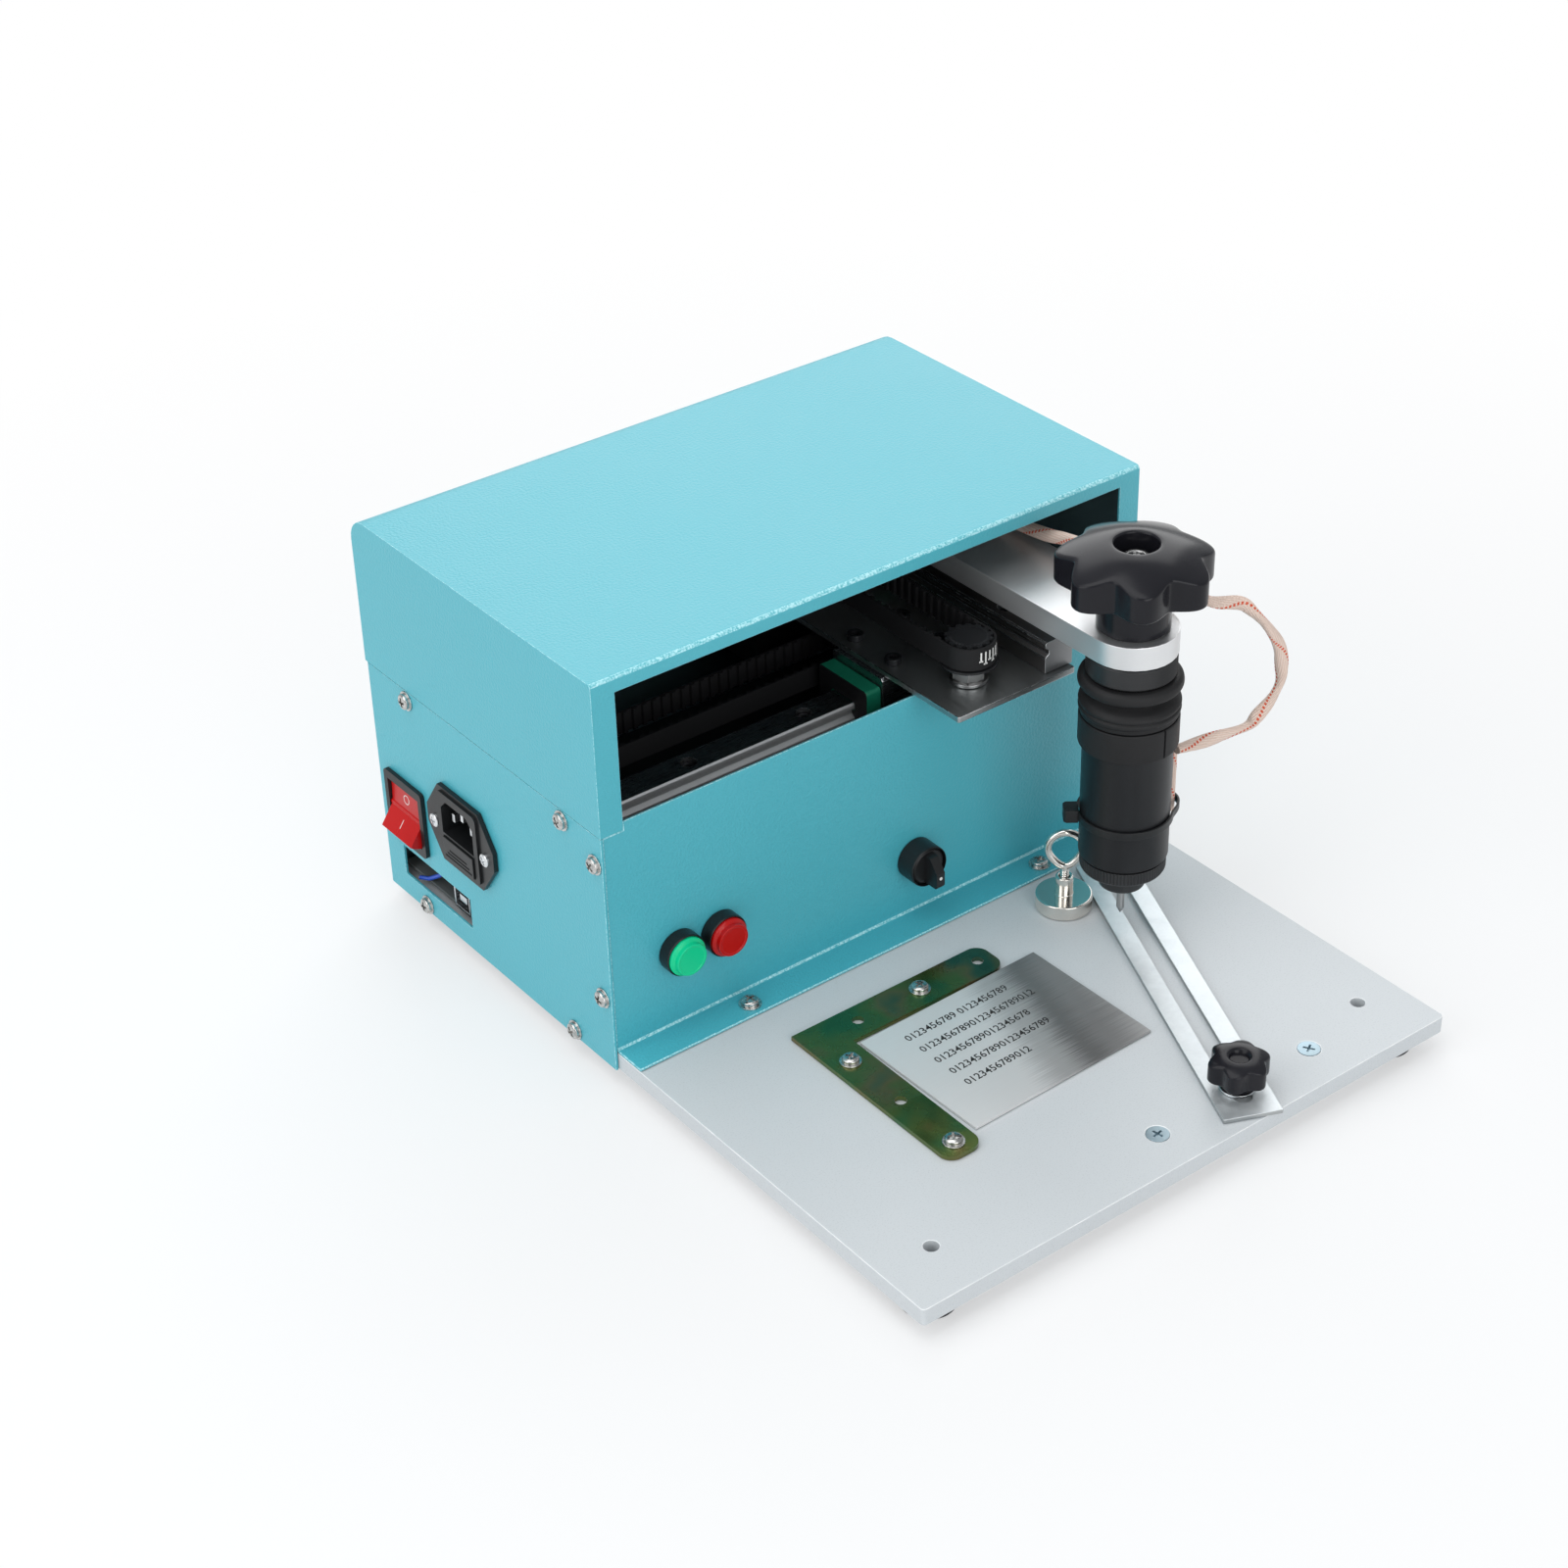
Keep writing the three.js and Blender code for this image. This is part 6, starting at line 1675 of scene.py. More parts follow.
@dataclass
class PowerSwitch:
    """The rocker switch and its bezel."""

    centre: Flat = (349.8, 40.7)
    valley: float = 0.9
    low_tip: Flat = (7.6, -9.67)
    high_tip: Flat = (0.4, 12.29)
    ring_radius: float = 2.1
    line_width: float = 0.35
    ring_share: float = 0.52
    line_share: float = 0.5
    line_half_length: float = 2.2
    proud: float = 0.06

    def _face(self, tip: Flat, share: float) -> Matrix:
        """Makes a stand on one of the rocker's two faces.

        Args:
            tip: The face's outer end, out of the wall and up.
            share: How far from the valley to the tip, from 0 to 1.

        Returns:
            The stand, with Y along the face and Z out of it.
        """
        wall = left_wall(*self.centre)
        along = Vector((0.0, tip[1], tip[0] - self.valley)).normalized()
        if along.y < 0:
            along = -along
        out = Vector((1.0, 0.0, 0.0)).cross(along)
        spot = Vector((0.0, tip[1] * share, self.valley + (tip[0] - self.valley) * share))
        return wall @ turned_to((1, 0, 0), tuple(along), tuple(out), tuple(spot))

    def build(self) -> None:
        """Builds the bezel, the rocker and its two marks."""
        dress("switch_bezel", BLACK_PLASTIC, 0.5)
        dress("switch_rocker", RED_LENS, 0.35, segments=3)
        half = self.line_width / 2
        outer, inner = self.ring_radius + half, self.ring_radius - half
        ring = [(outer, 0.0), (outer, self.proud), (inner, self.proud), (inner, 0.0), (outer, 0.0)]
        form = Form().lathe(ring, 40, self._face(self.high_tip, self.ring_share))
        reach = self.line_half_length
        face = self._face(self.low_tip, self.line_share)
        form.box((-half, -reach, 0.0), (half, reach, self.proud), face)
        show("switch_marks", form, WHITE_PRINT, "switch_rocker", slot="red_lens")


@dataclass
class MainsInlet:
    """The mains inlet with its contacts and fuse drawer."""

    centre: Flat = (302.6, 53.2)
    screw_reach: float = 19.7
    screw_drop: float = -1.2
    flange: float = 2.4
    floor_depth: float = -10.15
    floor_half: float = 11.8
    floor_low: float = -2.6
    floor_high: float = 9.0

    def build(self) -> None:
        """Builds the inlet's parts and its two screws."""
        dress("inlet_body", BLACK_PLASTIC, 0.5)
        dress("inlet_contacts", ZINC, 0.2)
        dress("fuse_drawer", BLACK_PLASTIC, 0.3)
        wall = left_wall(*self.centre)
        floor = Form().box(
            (-self.floor_half, self.floor_low, self.floor_depth),
            (self.floor_half, self.floor_high, self.floor_depth + 0.1), wall,
        )
        show("inlet_floor", floor, BLACK_PLASTIC, "inlet_body", slot="black_plastic")
        stands = [
            wall @ Matrix.Translation((side * self.screw_reach, self.screw_drop, self.flange))
            for side in (-1, 1)
        ]
        fasteners("inlet_screws", CrossHead(3.1, 1.6, 0.0, 0.0), stands, ZINC, "inlet_body", "zinc")


@dataclass
class FrontControls:
    """The two push buttons and the selector in the front panel."""

    bezel_radius: float = 9.6
    bezel_height: float = 6.5
    bore_radius: float = 9.1
    barrel_radius: float = 7.8
    barrel_depth: float = 24.0
    well_floor: float = 0.9
    stem_radius: float = 5.0
    stem_well: float = 15.0
    travel: float = 2.5
    gap: float = 0.3
    lens_radius: float = 8.8
    lens_skirt: float = 7.4
    lens_face_radius: float = 7.3
    lens_top: float = 10.3
    selector_height: float = 10.3
    selector_floor: float = 4.0
    disc_top: float = 9.8
    fin_half_length: float = 7.6
    fin_half_width: float = 2.2
    fin_top: float = 17.9
    dot_radius: float = 0.8
    dot_height: float = 0.12
    dot_drop: float = -2.0
    places: tuple[tuple[str, float, float], ...] = (
        ("start_button", 32.5, 38.1), ("stop_button", 53.5, 38.1), ("selector", 157.7, 28.9),
    )

    def _body(self, stand: Matrix, height: float, floor: float) -> Form:
        """Turns the body behind a control.

        Args:
            stand: The control's place in the panel.
            height: Height of its bezel.
            floor: Height of its well's floor.

        Returns:
            The body's form.
        """
        bore = self.stem_radius + self.gap
        low, barrel, bezel = -self.barrel_depth, self.barrel_radius, self.bezel_radius
        profile = [
            (0.0, low), (barrel, low), (barrel, self.gap), (bezel, self.gap), (bezel, height - 0.6),
            (bezel - 0.25, height), (self.bore_radius, height), (self.bore_radius, floor), (bore, floor),
            (bore, -self.stem_well), (0.0, -self.stem_well),
        ]
        return Form().lathe(softened(profile, 0.25), 72, stand)

    def _lens(self, stand: Matrix) -> Form:
        """Turns a button's lens with its raised face.

        Args:
            stand: The button's place in the panel.

        Returns:
            The lens's form.
        """
        back = self.well_floor + self.travel + self.gap
        end = self.travel + self.gap - self.stem_well
        radius, skirt, face, top = self.lens_radius, self.lens_skirt, self.lens_face_radius, self.lens_top
        profile = [
            (0.0, end), (self.stem_radius, end), (self.stem_radius, back), (radius, back), (radius, skirt),
            (face, skirt + 0.7), (face, top), (face - 1.0, top), (face - 1.3, top - 0.25), (0.0, top - 0.25),
        ]
        return Form().lathe(softened(profile, 0.35), 72, stand)

    def _selector(self, stand: Matrix) -> Form:
        """Builds the selector's disc and its fin.

        Args:
            stand: The selector's place in the panel.

        Returns:
            The knob's form.
        """
        back = self.selector_floor + self.gap
        end = self.gap - self.stem_well
        disc = [
            (0.0, end), (self.stem_radius, end), (self.stem_radius, back), (self.lens_radius, back),
            (self.lens_radius, self.disc_top - 1.2), (self.lens_radius - 1.2, self.disc_top),
            (0.0, self.disc_top),
        ]
        form = Form().lathe(softened(disc, 0.3), 64, stand)
        reach, top = self.fin_half_length, self.fin_top
        side = [
            (-reach, back + 1.0), (-reach + 0.5, top - 0.8), (-reach + 1.6, top), (0.5, top),
            (reach - 1.0, top - 4.6), (reach, back + 1.0),
        ]
        turn = turned_to((0, 1, 0), (0, 0, 1), (1, 0, 0), (0, 0, 0))
        form.prism(side, -self.fin_half_width, self.fin_half_width, stand @ turn)
        return form

    def build(self) -> None:
        """Builds the three controls."""
        lenses = {"start_button": GREEN_LENS, "stop_button": RED_LENS}
        for name, x, z in self.places:
            stand = front_wall(x, z)
            sizes = (self.bezel_height, self.well_floor)
            if name == "selector":
                sizes = (self.selector_height, self.selector_floor)
            show(name + "_bezel", self._body(stand, *sizes), BLACK_PLASTIC, name + "_body")
            if name in lenses:
                show(name + "_cap", self._lens(stand), lenses[name], name + "_lens")
                continue
            show("selector_grip", self._selector(stand), BLACK_PLASTIC, "selector_knob", edge=0.35)
            place = stand @ Matrix.Translation((0.0, self.dot_drop, self.fin_top))
            dot = Form().lathe(slab(0.0, self.dot_radius, 0.0, self.dot_height), 24, place)
            show("selector_dot", dot, WHITE_PRINT, "selector_knob", slot="black_plastic")


@dataclass
class Electronics:
    """The control board and the power supply inside the housing."""

    board_top: float = 4.9
    socket_end: float = 22.0
    wire_radius: float = 1.0
    wire_route: tuple[Spot, ...] = (
        (1.8, 352.0, 3.2), (2.6, 345.0, 6.0), (3.5, 338.0, 11.0), (6.0, 330.0, 17.0), (14.0, 326.0, 24.0),
        (30.0, 322.0, 28.0),
    )
    cans: tuple[tuple[float, float, float, float], ...] = (
        (28.0, 344.0, 5.0, 12.0), (42.0, 344.0, 5.0, 12.0), (60.0, 350.0, 6.0, 16.0),
        (78.0, 348.0, 4.0, 10.0),
    )
    shell_sheets: tuple[tuple[Flat, Flat], ...] = (
        ((310.4, 311.0), (4.95, 16.0)), ((322.0, 322.6), (4.95, 16.0)), ((310.4, 322.6), (15.9, 16.4)),
    )
    shell_reach: Flat = (-0.05, 0.4)

    def build(self) -> None:
        """Builds the boards, a few parts on them and the wire that shows in the port."""
        board = dress("control_board", BOARD_MASK, 0.15)
        raised, end = self.board_top + 0.3, self.socket_end
        paint_faces(board, ZINC, lambda spot, normal: spot.z > raised and spot.x < end)
        paint_faces(board, BLACK_PLASTIC, lambda spot, normal: spot.z > raised and spot.x > end)
        dress("power_supply", SUPPLY_CASE, 0.6)
        cans = Form()
        for x, y, radius, height in self.cans:
            profile = softened(slab(0.0, radius, 0.0, height), 0.8)
            cans.lathe(profile, 32, upright(x, y, self.board_top))
        show("board_cans", cans, BLACK_PLASTIC, "control_board", slot="black_plastic")
        face_x = in_millimetres(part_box("control_board")[0]).x
        near, far = (face_x + reach for reach in self.shell_reach)
        shell = Form()
        for (front, back), (low, high) in self.shell_sheets:
            shell.box((near, front, low), (far, back, high))
        show("port_shell", shell, ZINC, "control_board", slot="zinc")
        wire = Form().sweep([Vector(spot) for spot in self.wire_route], circle(self.wire_radius, 10))
        show("port_wire", wire, WIRE_BLUE, "control_board", slot="circuit_board", sharp=60)


@dataclass
class BeltDrive:
    """Toothed pulleys, flanges and shafts of one axis."""

    teeth: int = 14
    tip: float = 10.2
    root: float = 9.0
    flange: float = 12.5
    flange_thickness: float = 1.0
    hub: float = 8.0
    belt_width: float = 10.0
    side_gap: float = 0.5
    land: float = 0.42
    foot: float = 0.3
    shaft: float = 2.5
    shaft_low: float = -26.0
    shaft_high: float = 12.2

    def wheel(self, stand: Matrix, flanges: Sequence[bool], hub_drop: float, bore: float) -> Form:
        """Builds a toothed pulley.

        Args:
            stand: The pulley's axis, with the belt's lower edge at Z = 0.
            flanges: Whether it has its lower and its upper flange.
            hub_drop: How far its hub reaches down.
            bore: Radius of the dimple that its shaft shows in.

        Returns:
            The pulley's form.
        """
        low, high = -self.side_gap, self.belt_width + self.side_gap
        step = 360 / self.teeth
        half_foot, half_land = step * self.foot / 2, step * self.land / 2
        outline = []
        for i in range(self.teeth):
            middle = i * step
            gap = middle - step / 2
            outline += [polar(self.root, gap - half_foot), polar(self.root, gap + half_foot)]
            outline += [polar(self.tip, middle - half_land), polar(self.tip, middle + half_land)]
        form = Form().prism(outline, low, high, stand)
        for present, z in zip(flanges, (low - self.flange_thickness, high)):
            if present:
                disc = softened(slab(bore, self.flange, z, z + self.flange_thickness), 0.3)
                form.lathe(closed(disc), 72, stand)
        if hub_drop:
            tube = softened(slab(bore, self.hub, low, -hub_drop), 0.3)
            form.lathe(closed(tube), 56, stand)
        return form

    def driver(self, name: str, node: str, spot: Spot, hub_drop: float) -> None:
        """Builds a motor's pulley with its shaft.

        Args:
            name: The piece's name.
            node: The pulley's CAD node.
            spot: Where it is, with the belt's lower edge as its height.
            hub_drop: How far its hub reaches down.
        """
        stand = upright(*spot)
        pulley = self.wheel(stand, (True, True), hub_drop, self.shaft)
        pulley.lathe(slab(0.0, self.shaft, self.shaft_low, self.shaft_high), 32, stand)
        show(name, pulley, PULLEY_METAL, node)


def dress_caps(nodes: Sequence[str], axis: int) -> None:
    """Dresses a rail block's end caps, with their seals on the faces across the rail.

    Args:
        nodes: The caps' CAD nodes.
        axis: Number of the rail's axis.
    """
    for node in nodes:
        paint_faces(dress(node, CAP_PLASTIC, 0.5), SEAL_RUBBER, lambda spot, normal: abs(normal[axis]) > 0.9)


@dataclass
class XAxis:
    """The bridge, the X rail with its block, and the X belt drive."""

    idler: Spot = (25.0, 261.5, 94.2)
    motor: Spot = (250.0, 261.5, 94.2)
    axle: float = 4.0
    hub_drop: float = 9.9
    rail_y: float = 229.7
    rail_seat: float = 93.7
    rail_holes: tuple[float, ...] = (65.0, 125.0, 185.0, 245.0)

    def build(self) -> None:
        """Builds the fixed rail, its carriage block and the drive."""
        dress("rail_bridge", BRIDGE_STEEL, 0.5)
        # Front faces of the rail get a painted reflection.
        paint_faces(
            dress("x_rail", GROUND_STEEL, 0.25), RAIL_FRONT_PAINTED_REFLECTION,
            lambda spot, normal: spot.y < self.rail_y - 3.0 and normal.y < -0.2,
        )
        dress("x_block", GROUND_STEEL, 0.4)
        dress_caps(("x_cap_left", "x_cap_right"), 0)
        dress("x_belt", BELT_RUBBER, 0.12)
        dress("x_motor", MOTOR_CASE, 0.4)
        drive = BeltDrive()
        drive.driver("x_drive_pulley", "x_motor_pulley", self.motor, self.hub_drop)
        wheel = drive.wheel(upright(*self.idler), (True, True), self.hub_drop, self.axle + 0.3)
        show("x_idler_wheel", wheel, PULLEY_METAL, "x_idler_pulley")
        stands = uprights([(x, self.rail_y) for x in self.rail_holes], self.rail_seat)
        fasteners("x_rail_screws", SocketHead(3.0, 3.2, 1.6), stands, BLACK_PLASTIC, "x_rail", "dark_steel")


@dataclass
class YAxis:
    """The plate on the X block, the Y rail with its block, and the Y belt drive."""

    idler: Spot = (178.4, 186.2, 125.7)
    motor: Spot = (178.4, 323.7, 125.7)
    axle: float = 4.0
    hub_drop: float = 10.4
    plate_top: float = 115.0
    rail_x: float = 213.0
    rail_seat: float = 124.7
    rail_holes: tuple[float, ...] = (202.7, 322.7)
    plate_screws: tuple[Flat, ...] = ((163.0, 217.0), (163.0, 242.6), (189.0, 217.0), (189.0, 243.0))
    washer: float = 8.3
    nut_flats: float = 13.0
    nut_low: float = 1.9
    nut_high: float = 8.1
    nut_turn: float = 12.0
    spacer: float = 6.3
    seat: float = 9.0
    bolt_low: float = -5.0
    head: float = 6.5
    head_top: float = 21.1
    head_height: float = 3.0
    socket: Flat = (3.2, 2.9)
    socket_depth: float = 2.0
    rim: tuple[Flat, ...] = ((6.8, 10.7), (8.2, 10.7), (8.6, 10.3), (8.6, 9.0), (6.8, 9.0), (6.8, 10.7))
    rim_teeth: int = 36
    rim_depth: float = 0.35
    tick_angles: tuple[float, ...] = (-104.0, -93.0, -82.0, -71.0, -60.0, -49.0)
    tick_lows: Flat = (3.6, 2.2)
    tick_top: float = 8.2
    tick_half: float = 0.35
    tick_base_half: float = 0.9
    tick_base: float = 0.7
    tick_height: float = 0.06
    outer_radius: float = 11.5

    def _idler_bolt(self) -> Form:
        """Builds the idler's bolt with its washer, nut and spacer.

        Returns:
            The bolt's form.
        """
        stand = upright(self.idler[0], self.idler[1], self.plate_top)
        form = Form().lathe(softened(slab(0.0, self.washer, 0.3, self.nut_low), 0.3), 56, stand)
        corner, flat = self.nut_flats / math.sqrt(3), self.nut_flats / 2
        low, high = self.nut_low, self.nut_high
        nut = [(0.0, low), (flat, low), (corner, low + 0.7), (corner, high - 0.7), (flat, high), (0.0, high)]

        def six_sided(degrees: float, number: int) -> float:
            """Flattens the nut's side to six faces, at an angle and a profile point."""
            hexagon = flat / math.cos(math.radians(((degrees + self.nut_turn) % 60) - 30))
            return min(hexagon, nut[number][0]) - nut[number][0]

        form.lathe(nut, 60, stand, wave=six_sided)
        axle, top, under = self.axle, self.head_top, self.head_top - self.head_height
        (mouth, bottom), floor = self.socket, top - self.socket_depth
        upper = [
            (0.0, self.bolt_low), (axle, self.bolt_low), (axle, high), (self.spacer, high),
            (self.spacer, self.seat), (axle, self.seat), (axle, under), (self.head, under),
            (self.head, top), (mouth, top), (bottom, floor), (0.0, floor),
        ]
        return form.lathe(softened(upper, 0.25), 48, stand)

    def _teeth(self, degrees: float, number: int) -> float:
        """Gives how far fine teeth cut into the idler's rim at an angle and a profile point."""
        wave = 1 - math.cos(math.radians(degrees * self.rim_teeth))
        return -self.rim_depth * wave if 0 < number < 4 else 0.0

    def _ticks(self) -> None:
        """Prints plain ticks on the belt's back near the idler."""
        form = Form()
        near, far = self.outer_radius, self.outer_radius + self.tick_height
        half, base_half = self.tick_half, self.tick_base_half
        for number, degrees in enumerate(self.tick_angles):
            stand = upright(*self.idler, degrees)
            low = self.tick_lows[number % 2]
            form.box((near, -half, low), (far, half, self.tick_top), stand)
            form.box((near, -base_half, low), (far, base_half, low + self.tick_base), stand)
        show("belt_ticks", form, WHITE_PRINT, "y_belt", slot="belt_rubber")

    def build(self) -> None:
        """Builds the moving plate and everything that rides on it."""
        dress("y_plate", DARK_STEEL, 0.3)
        paint_faces(dress("y_rail", GROUND_STEEL_Y, 0.25), SUPPLY_CASE, lambda spot, normal: normal.y < -0.9)
        dress("y_block", GROUND_STEEL, 0.4)
        dress_caps(("y_cap_front", "y_cap_rear"), 1)
        dress("y_belt", BELT_RUBBER, 0.12)
        dress("y_motor", MOTOR_CASE, 0.4)
        drive = BeltDrive()
        drive.driver("y_drive_pulley", "y_motor_pulley", self.motor, self.hub_drop)
        stand = upright(*self.idler)
        wheel = drive.wheel(stand, (True, False), 0.0, self.axle + 0.3)
        wheel.lathe(self.rim, 216, stand, wave=self._teeth)
        show("y_idler_wheel", wheel, BLACK_ANODISED, "y_idler_pulley")
        show("y_idler_screw", self._idler_bolt(), TURNED_STEEL, "y_idler_bolt")
        rail_spots = [(self.rail_x, y) for y in self.rail_holes]
        for name, head, spots, z, node in (
            ("y_plate_screws", SocketHead(3.6, 3.0, 2.0), self.plate_screws, self.plate_top, "y_plate"),
            ("y_rail_screws", SocketHead(3.0, 3.2, 1.6), rail_spots, self.rail_seat, "y_rail"),
        ):
            fasteners(name, head, uprights(spots, z), BLACK_ANODISED, node, "dark_steel")
        self._ticks()


@dataclass
class Arm:
    """The arm and the clamp that ties it to the Y belt."""

    clamp_screws: tuple[Flat, ...] = ((194.4, 300.2), (194.4, 305.8))
    clamp_top: float = 151.6

    def build(self) -> None:
        """Builds the arm, the clamp and its screws."""
        dress("arm", ALUMINIUM, 0.45)
        dress("y_belt_clamp", BRIDGE_STEEL, 0.3)
        fasteners(
            "clamp_screws", CrossHead(1.9, 1.2, 0.0, 0.0), uprights(self.clamp_screws, self.clamp_top), ZINC,
            "y_belt_clamp", "zinc",
        )


@dataclass
class LobedKnob:
    """A moulded knob with lobes round its rim, on a hub, under a dome.

    Attributes:
        tip: Radius at the lobes' tips.
        valley: Radius between the lobes.
        lobes: Number of lobes.
        first: Angle of a lobe.
        rim_low: Height of the lobes' underside.
        top: Height of the dome's top.
        crown: Radius of the dome's flat top.
        sink: How far the dome has sunk at the valley radius.
        edge: Rounding of the rim's edges.
        sides: Faces round the knob.
        fullness: Power of the wave, lower for fuller lobes.
        bend: Power of the dome's curve.
        dome_rows: Rows of faces on the dome.
    """

    tip: float
    valley: float
    lobes: int
    first: float
    rim_low: float
    top: float
    crown: float
    sink: float
    edge: float
    sides: int = 336
    fullness: float = 0.85
    bend: float = 1.5
    dome_rows: int = 14

    def rim(self, degrees: float) -> float:
        """Gives the rim's radius at an angle round the knob."""
        rise = (1 + math.cos(math.radians((degrees - self.first) * self.lobes))) / 2
        return self.valley + (self.tip - self.valley) * rise ** self.fullness

    def dome(self, radius: float) -> float:
        """Gives the dome's height at a distance from the axis."""
        share = max(0.0, (radius - self.crown) / (self.valley - self.crown))
        return self.top - self.sink * share ** self.bend

    def _row(self, spot: Callable[[float], Flat]) -> list[Spot]:
        """Makes a row of points round the knob.

        Args:
            spot: Gives the radius and height at an angle in degrees.

        Returns:
            The points.
        """
        row = []
        for i in range(self.sides):
            degrees = 360 * i / self.sides
            radius, height = spot(degrees)
            row.append((*polar(radius, degrees), height))
        return row

    def _round(self, profile: Sequence[Flat]) -> list[list[Spot]]:
        """Makes round rows.

        Args:
            profile: Radius and height of each.

        Returns:
            The rows, with a single point where the radius is 0.
        """
        return [
            [(0.0, 0.0, height)] if radius == 0 else self._row(lambda degrees, r=radius, h=height: (r, h))
            for radius, height in profile
        ]

    def shape(self, below: Sequence[Flat], above: Sequence[Flat], stand: Matrix, bored: bool) -> Form:
        """Builds the knob.

        Args:
            below: Radius and height of the rounds from the axis to the lobes' underside.
            above: Radius and height of the rounds from the crown inwards.
            stand: The knob's axis.
            bored: Whether the last round is the first, as on a bored knob.

        Returns:
            The knob's form.
        """
        rows = self._round(below)
        edge = self.edge
        for inset, rise in ((2.4, 0.0), (1.0, 0.08), (0.45, 0.35), (0.12, 0.75), (0.0, 1.3)):
            rows.append(self._row(
                lambda degrees, i=inset, r=rise: (self.rim(degrees) - i * edge, self.rim_low + r * edge)
            ))
        for inset, drop in ((0.0, 1.3), (0.08, 0.75), (0.3, 0.32), (0.7, 0.06)):
            rows.append(self._row(
                lambda degrees, i=inset, d=drop: (
                    self.rim(degrees) - i * edge, self.dome(self.rim(degrees) - i * edge) - d * edge
                )
            ))
        for i in range(1, self.dome_rows + 1):
            share = i / self.dome_rows
            rows.append(self._row(lambda degrees, t=share: self._on_dome(degrees, t)))
        rows += self._round(above)
        return Form().loft(rows, stand, bored)

    def _on_dome(self, degrees: float, share: float) -> Flat:
        """Gives the dome's radius and height at an angle and a share of the way to the crown."""
        radius = (self.rim(degrees) - self.edge) * (1 - share) + self.crown * share
        return radius, self.dome(radius)


@dataclass
class MarkingHead:
    """The marking head under the arm, with its height knob."""

    x: float = 218.1
    y: float = 130.6
    knob_low: float = 151.9
    hub_radius: float = 15.35
    rim_low: float = 169.8
    top: float = 189.3
    hole_radius: float = 9.2
    hole_floor: float = 179.3
    bore: float = 5.8
    screw_radius: float = 5.5
    screw_top: float = 183.7
    screw_low: float = 103.8
    ring_radius: float = 19.0
    ring_low: float = 130.6
    ring_high: float = 140.5
    knurl_rows: int = 14
    knurl_sides: int = 168
    knurl_heights: Flat = (-0.25, 0.12)
    stem: float = 12.0
    stem_top: float = 135.0
    bellows_low: float = 111.0
    bellows_bore: float = 13.6
    bellows_line: tuple[Flat, ...] = (
        (20.5, 0.0), (20.6, 2.3), (21.35, 2.9), (21.4, 4.3), (20.5, 5.1), (21.4, 5.8), (21.35, 7.0),
        (20.2, 8.4), (17.6, 10.2), (16.1, 11.6), (16.1, 12.4), (18.2, 13.4), (20.9, 13.7), (21.9, 14.8),
        (22.0, 16.3), (21.6, 18.0), (20.2, 19.2), (18.5, 19.3),
    )
    cuff_radius: float = 21.1
    cuff_high: float = 110.7
    cuff_low: float = 96.7
    split_angle: float = 271.5
    split_half_angle: float = 0.6
    split_depth: float = 0.9
    body_radius: float = 19.1
    body_low: float = 41.9
    spigot_radius: float = 14.0
    spigot_low: float = 36.9
    cap_radius: float = 18.5
    cap_low: float = 34.0
    cap_neck: float = 17.2
    flutes: int = 78
    flute_depth: float = 0.45
    nozzle_radius: float = 10.5
    nozzle_low: float = 24.6
    pin_radius: float = 1.7
    pin_line: tuple[Flat, ...] = (
        (0.0, 8.55), (0.35, 8.8), (1.7, 11.7), (1.7, 57.5), (4.0, 57.5), (4.0, 60.5), (0.0, 60.5),
    )
    tie_z: float = 61.2
    tie_half: float = 1.8
    tail_angle: float = -16.0
    tie_head_angle: float = 142.7
    tie_thickness: float = 1.1
    tie_gap: float = 0.35
    lead_off: float = 2.3
    lead_half: float = 2.35
    bridge_spread: float = 34.0
    bridge_power: float = 1.6
    tie_block_reach: Flat = (0.3, 6.6)
    tie_block_rise: Flat = (-3.3, 2.7)
    tie_block_half: float = 4.0
    tie_block_corner: float = 1.2
    knob_lobe: float = 233.1

    @property
    def stand(self) -> Matrix:
        """Gives the head's axis."""
        return upright(self.x, self.y)

    def build(self) -> None:
        """Builds the head from the knob down."""
        self._knob()
        self._ring()
        self._bellows()
        self._cuff()
        self._body()
        self._end_cap()
        self._pin()
        self._tie()

    def _turn(
        self, name: str, profile: Sequence[Flat], sides: int, finish: Finish, node: str,
        wave: Optional[Wave] = None, sharp: float = 35.0, bend: Optional[Bend] = None,
    ) -> None:
        """Turns a piece of the head about its axis.

        Args:
            name: The piece's name.
            profile: Points of radius and height.
            sides: Faces round the axis.
            finish: Its finish.
            node: The CAD node that it replaces.
            wave: What is added to the radius, as in Form.lathe.
            sharp: Edges sharper than this stay sharp in shading.
            bend: A bend between its body and another one, which leaves the piece unattached.
        """
        show(name, Form().lathe(profile, sides, self.stand, wave), finish, node, sharp=sharp, bend=bend)

    def _knob(self) -> None:
        """Builds the height knob and the screw in its middle."""
        hub, low, top, hole = self.hub_radius, self.rim_low, self.top, self.hole_radius
        floor, bore = self.hole_floor, self.bore
        knob = LobedKnob(
            tip=33.0, valley=26.3, lobes=7, first=self.knob_lobe, rim_low=low, top=top, crown=hole + 0.9,
            sink=4.4, edge=1.1,
        )
        below = [
            (bore, self.knob_low), (hub - 0.6, self.knob_low), (hub, self.knob_low + 0.6), (hub, low - 1.0),
            (hub + 0.5, low - 0.2), (hub + 1.5, low),
        ]
        above = [
            (hole + 0.25, top - 0.3), (hole, top - 1.1), (hole, floor + 0.4), (hole - 0.5, floor),
            (bore, floor),
        ]
        form = knob.shape(below, above, self.stand, True)
        show("height_knob_moulding", form, KNOB_PLASTIC, "height_knob", sharp=50)
        radius, high = self.screw_radius, self.screw_top
        screw = [
            (0.0, self.screw_low), (radius, self.screw_low), (radius, high), (3.4, high), (2.8, high - 1.6),
            (0.0, high - 2.0),
        ]
        self._turn("height_screw_rod", softened(screw, 0.6), 48, TURNED_STEEL, "lift_screw")

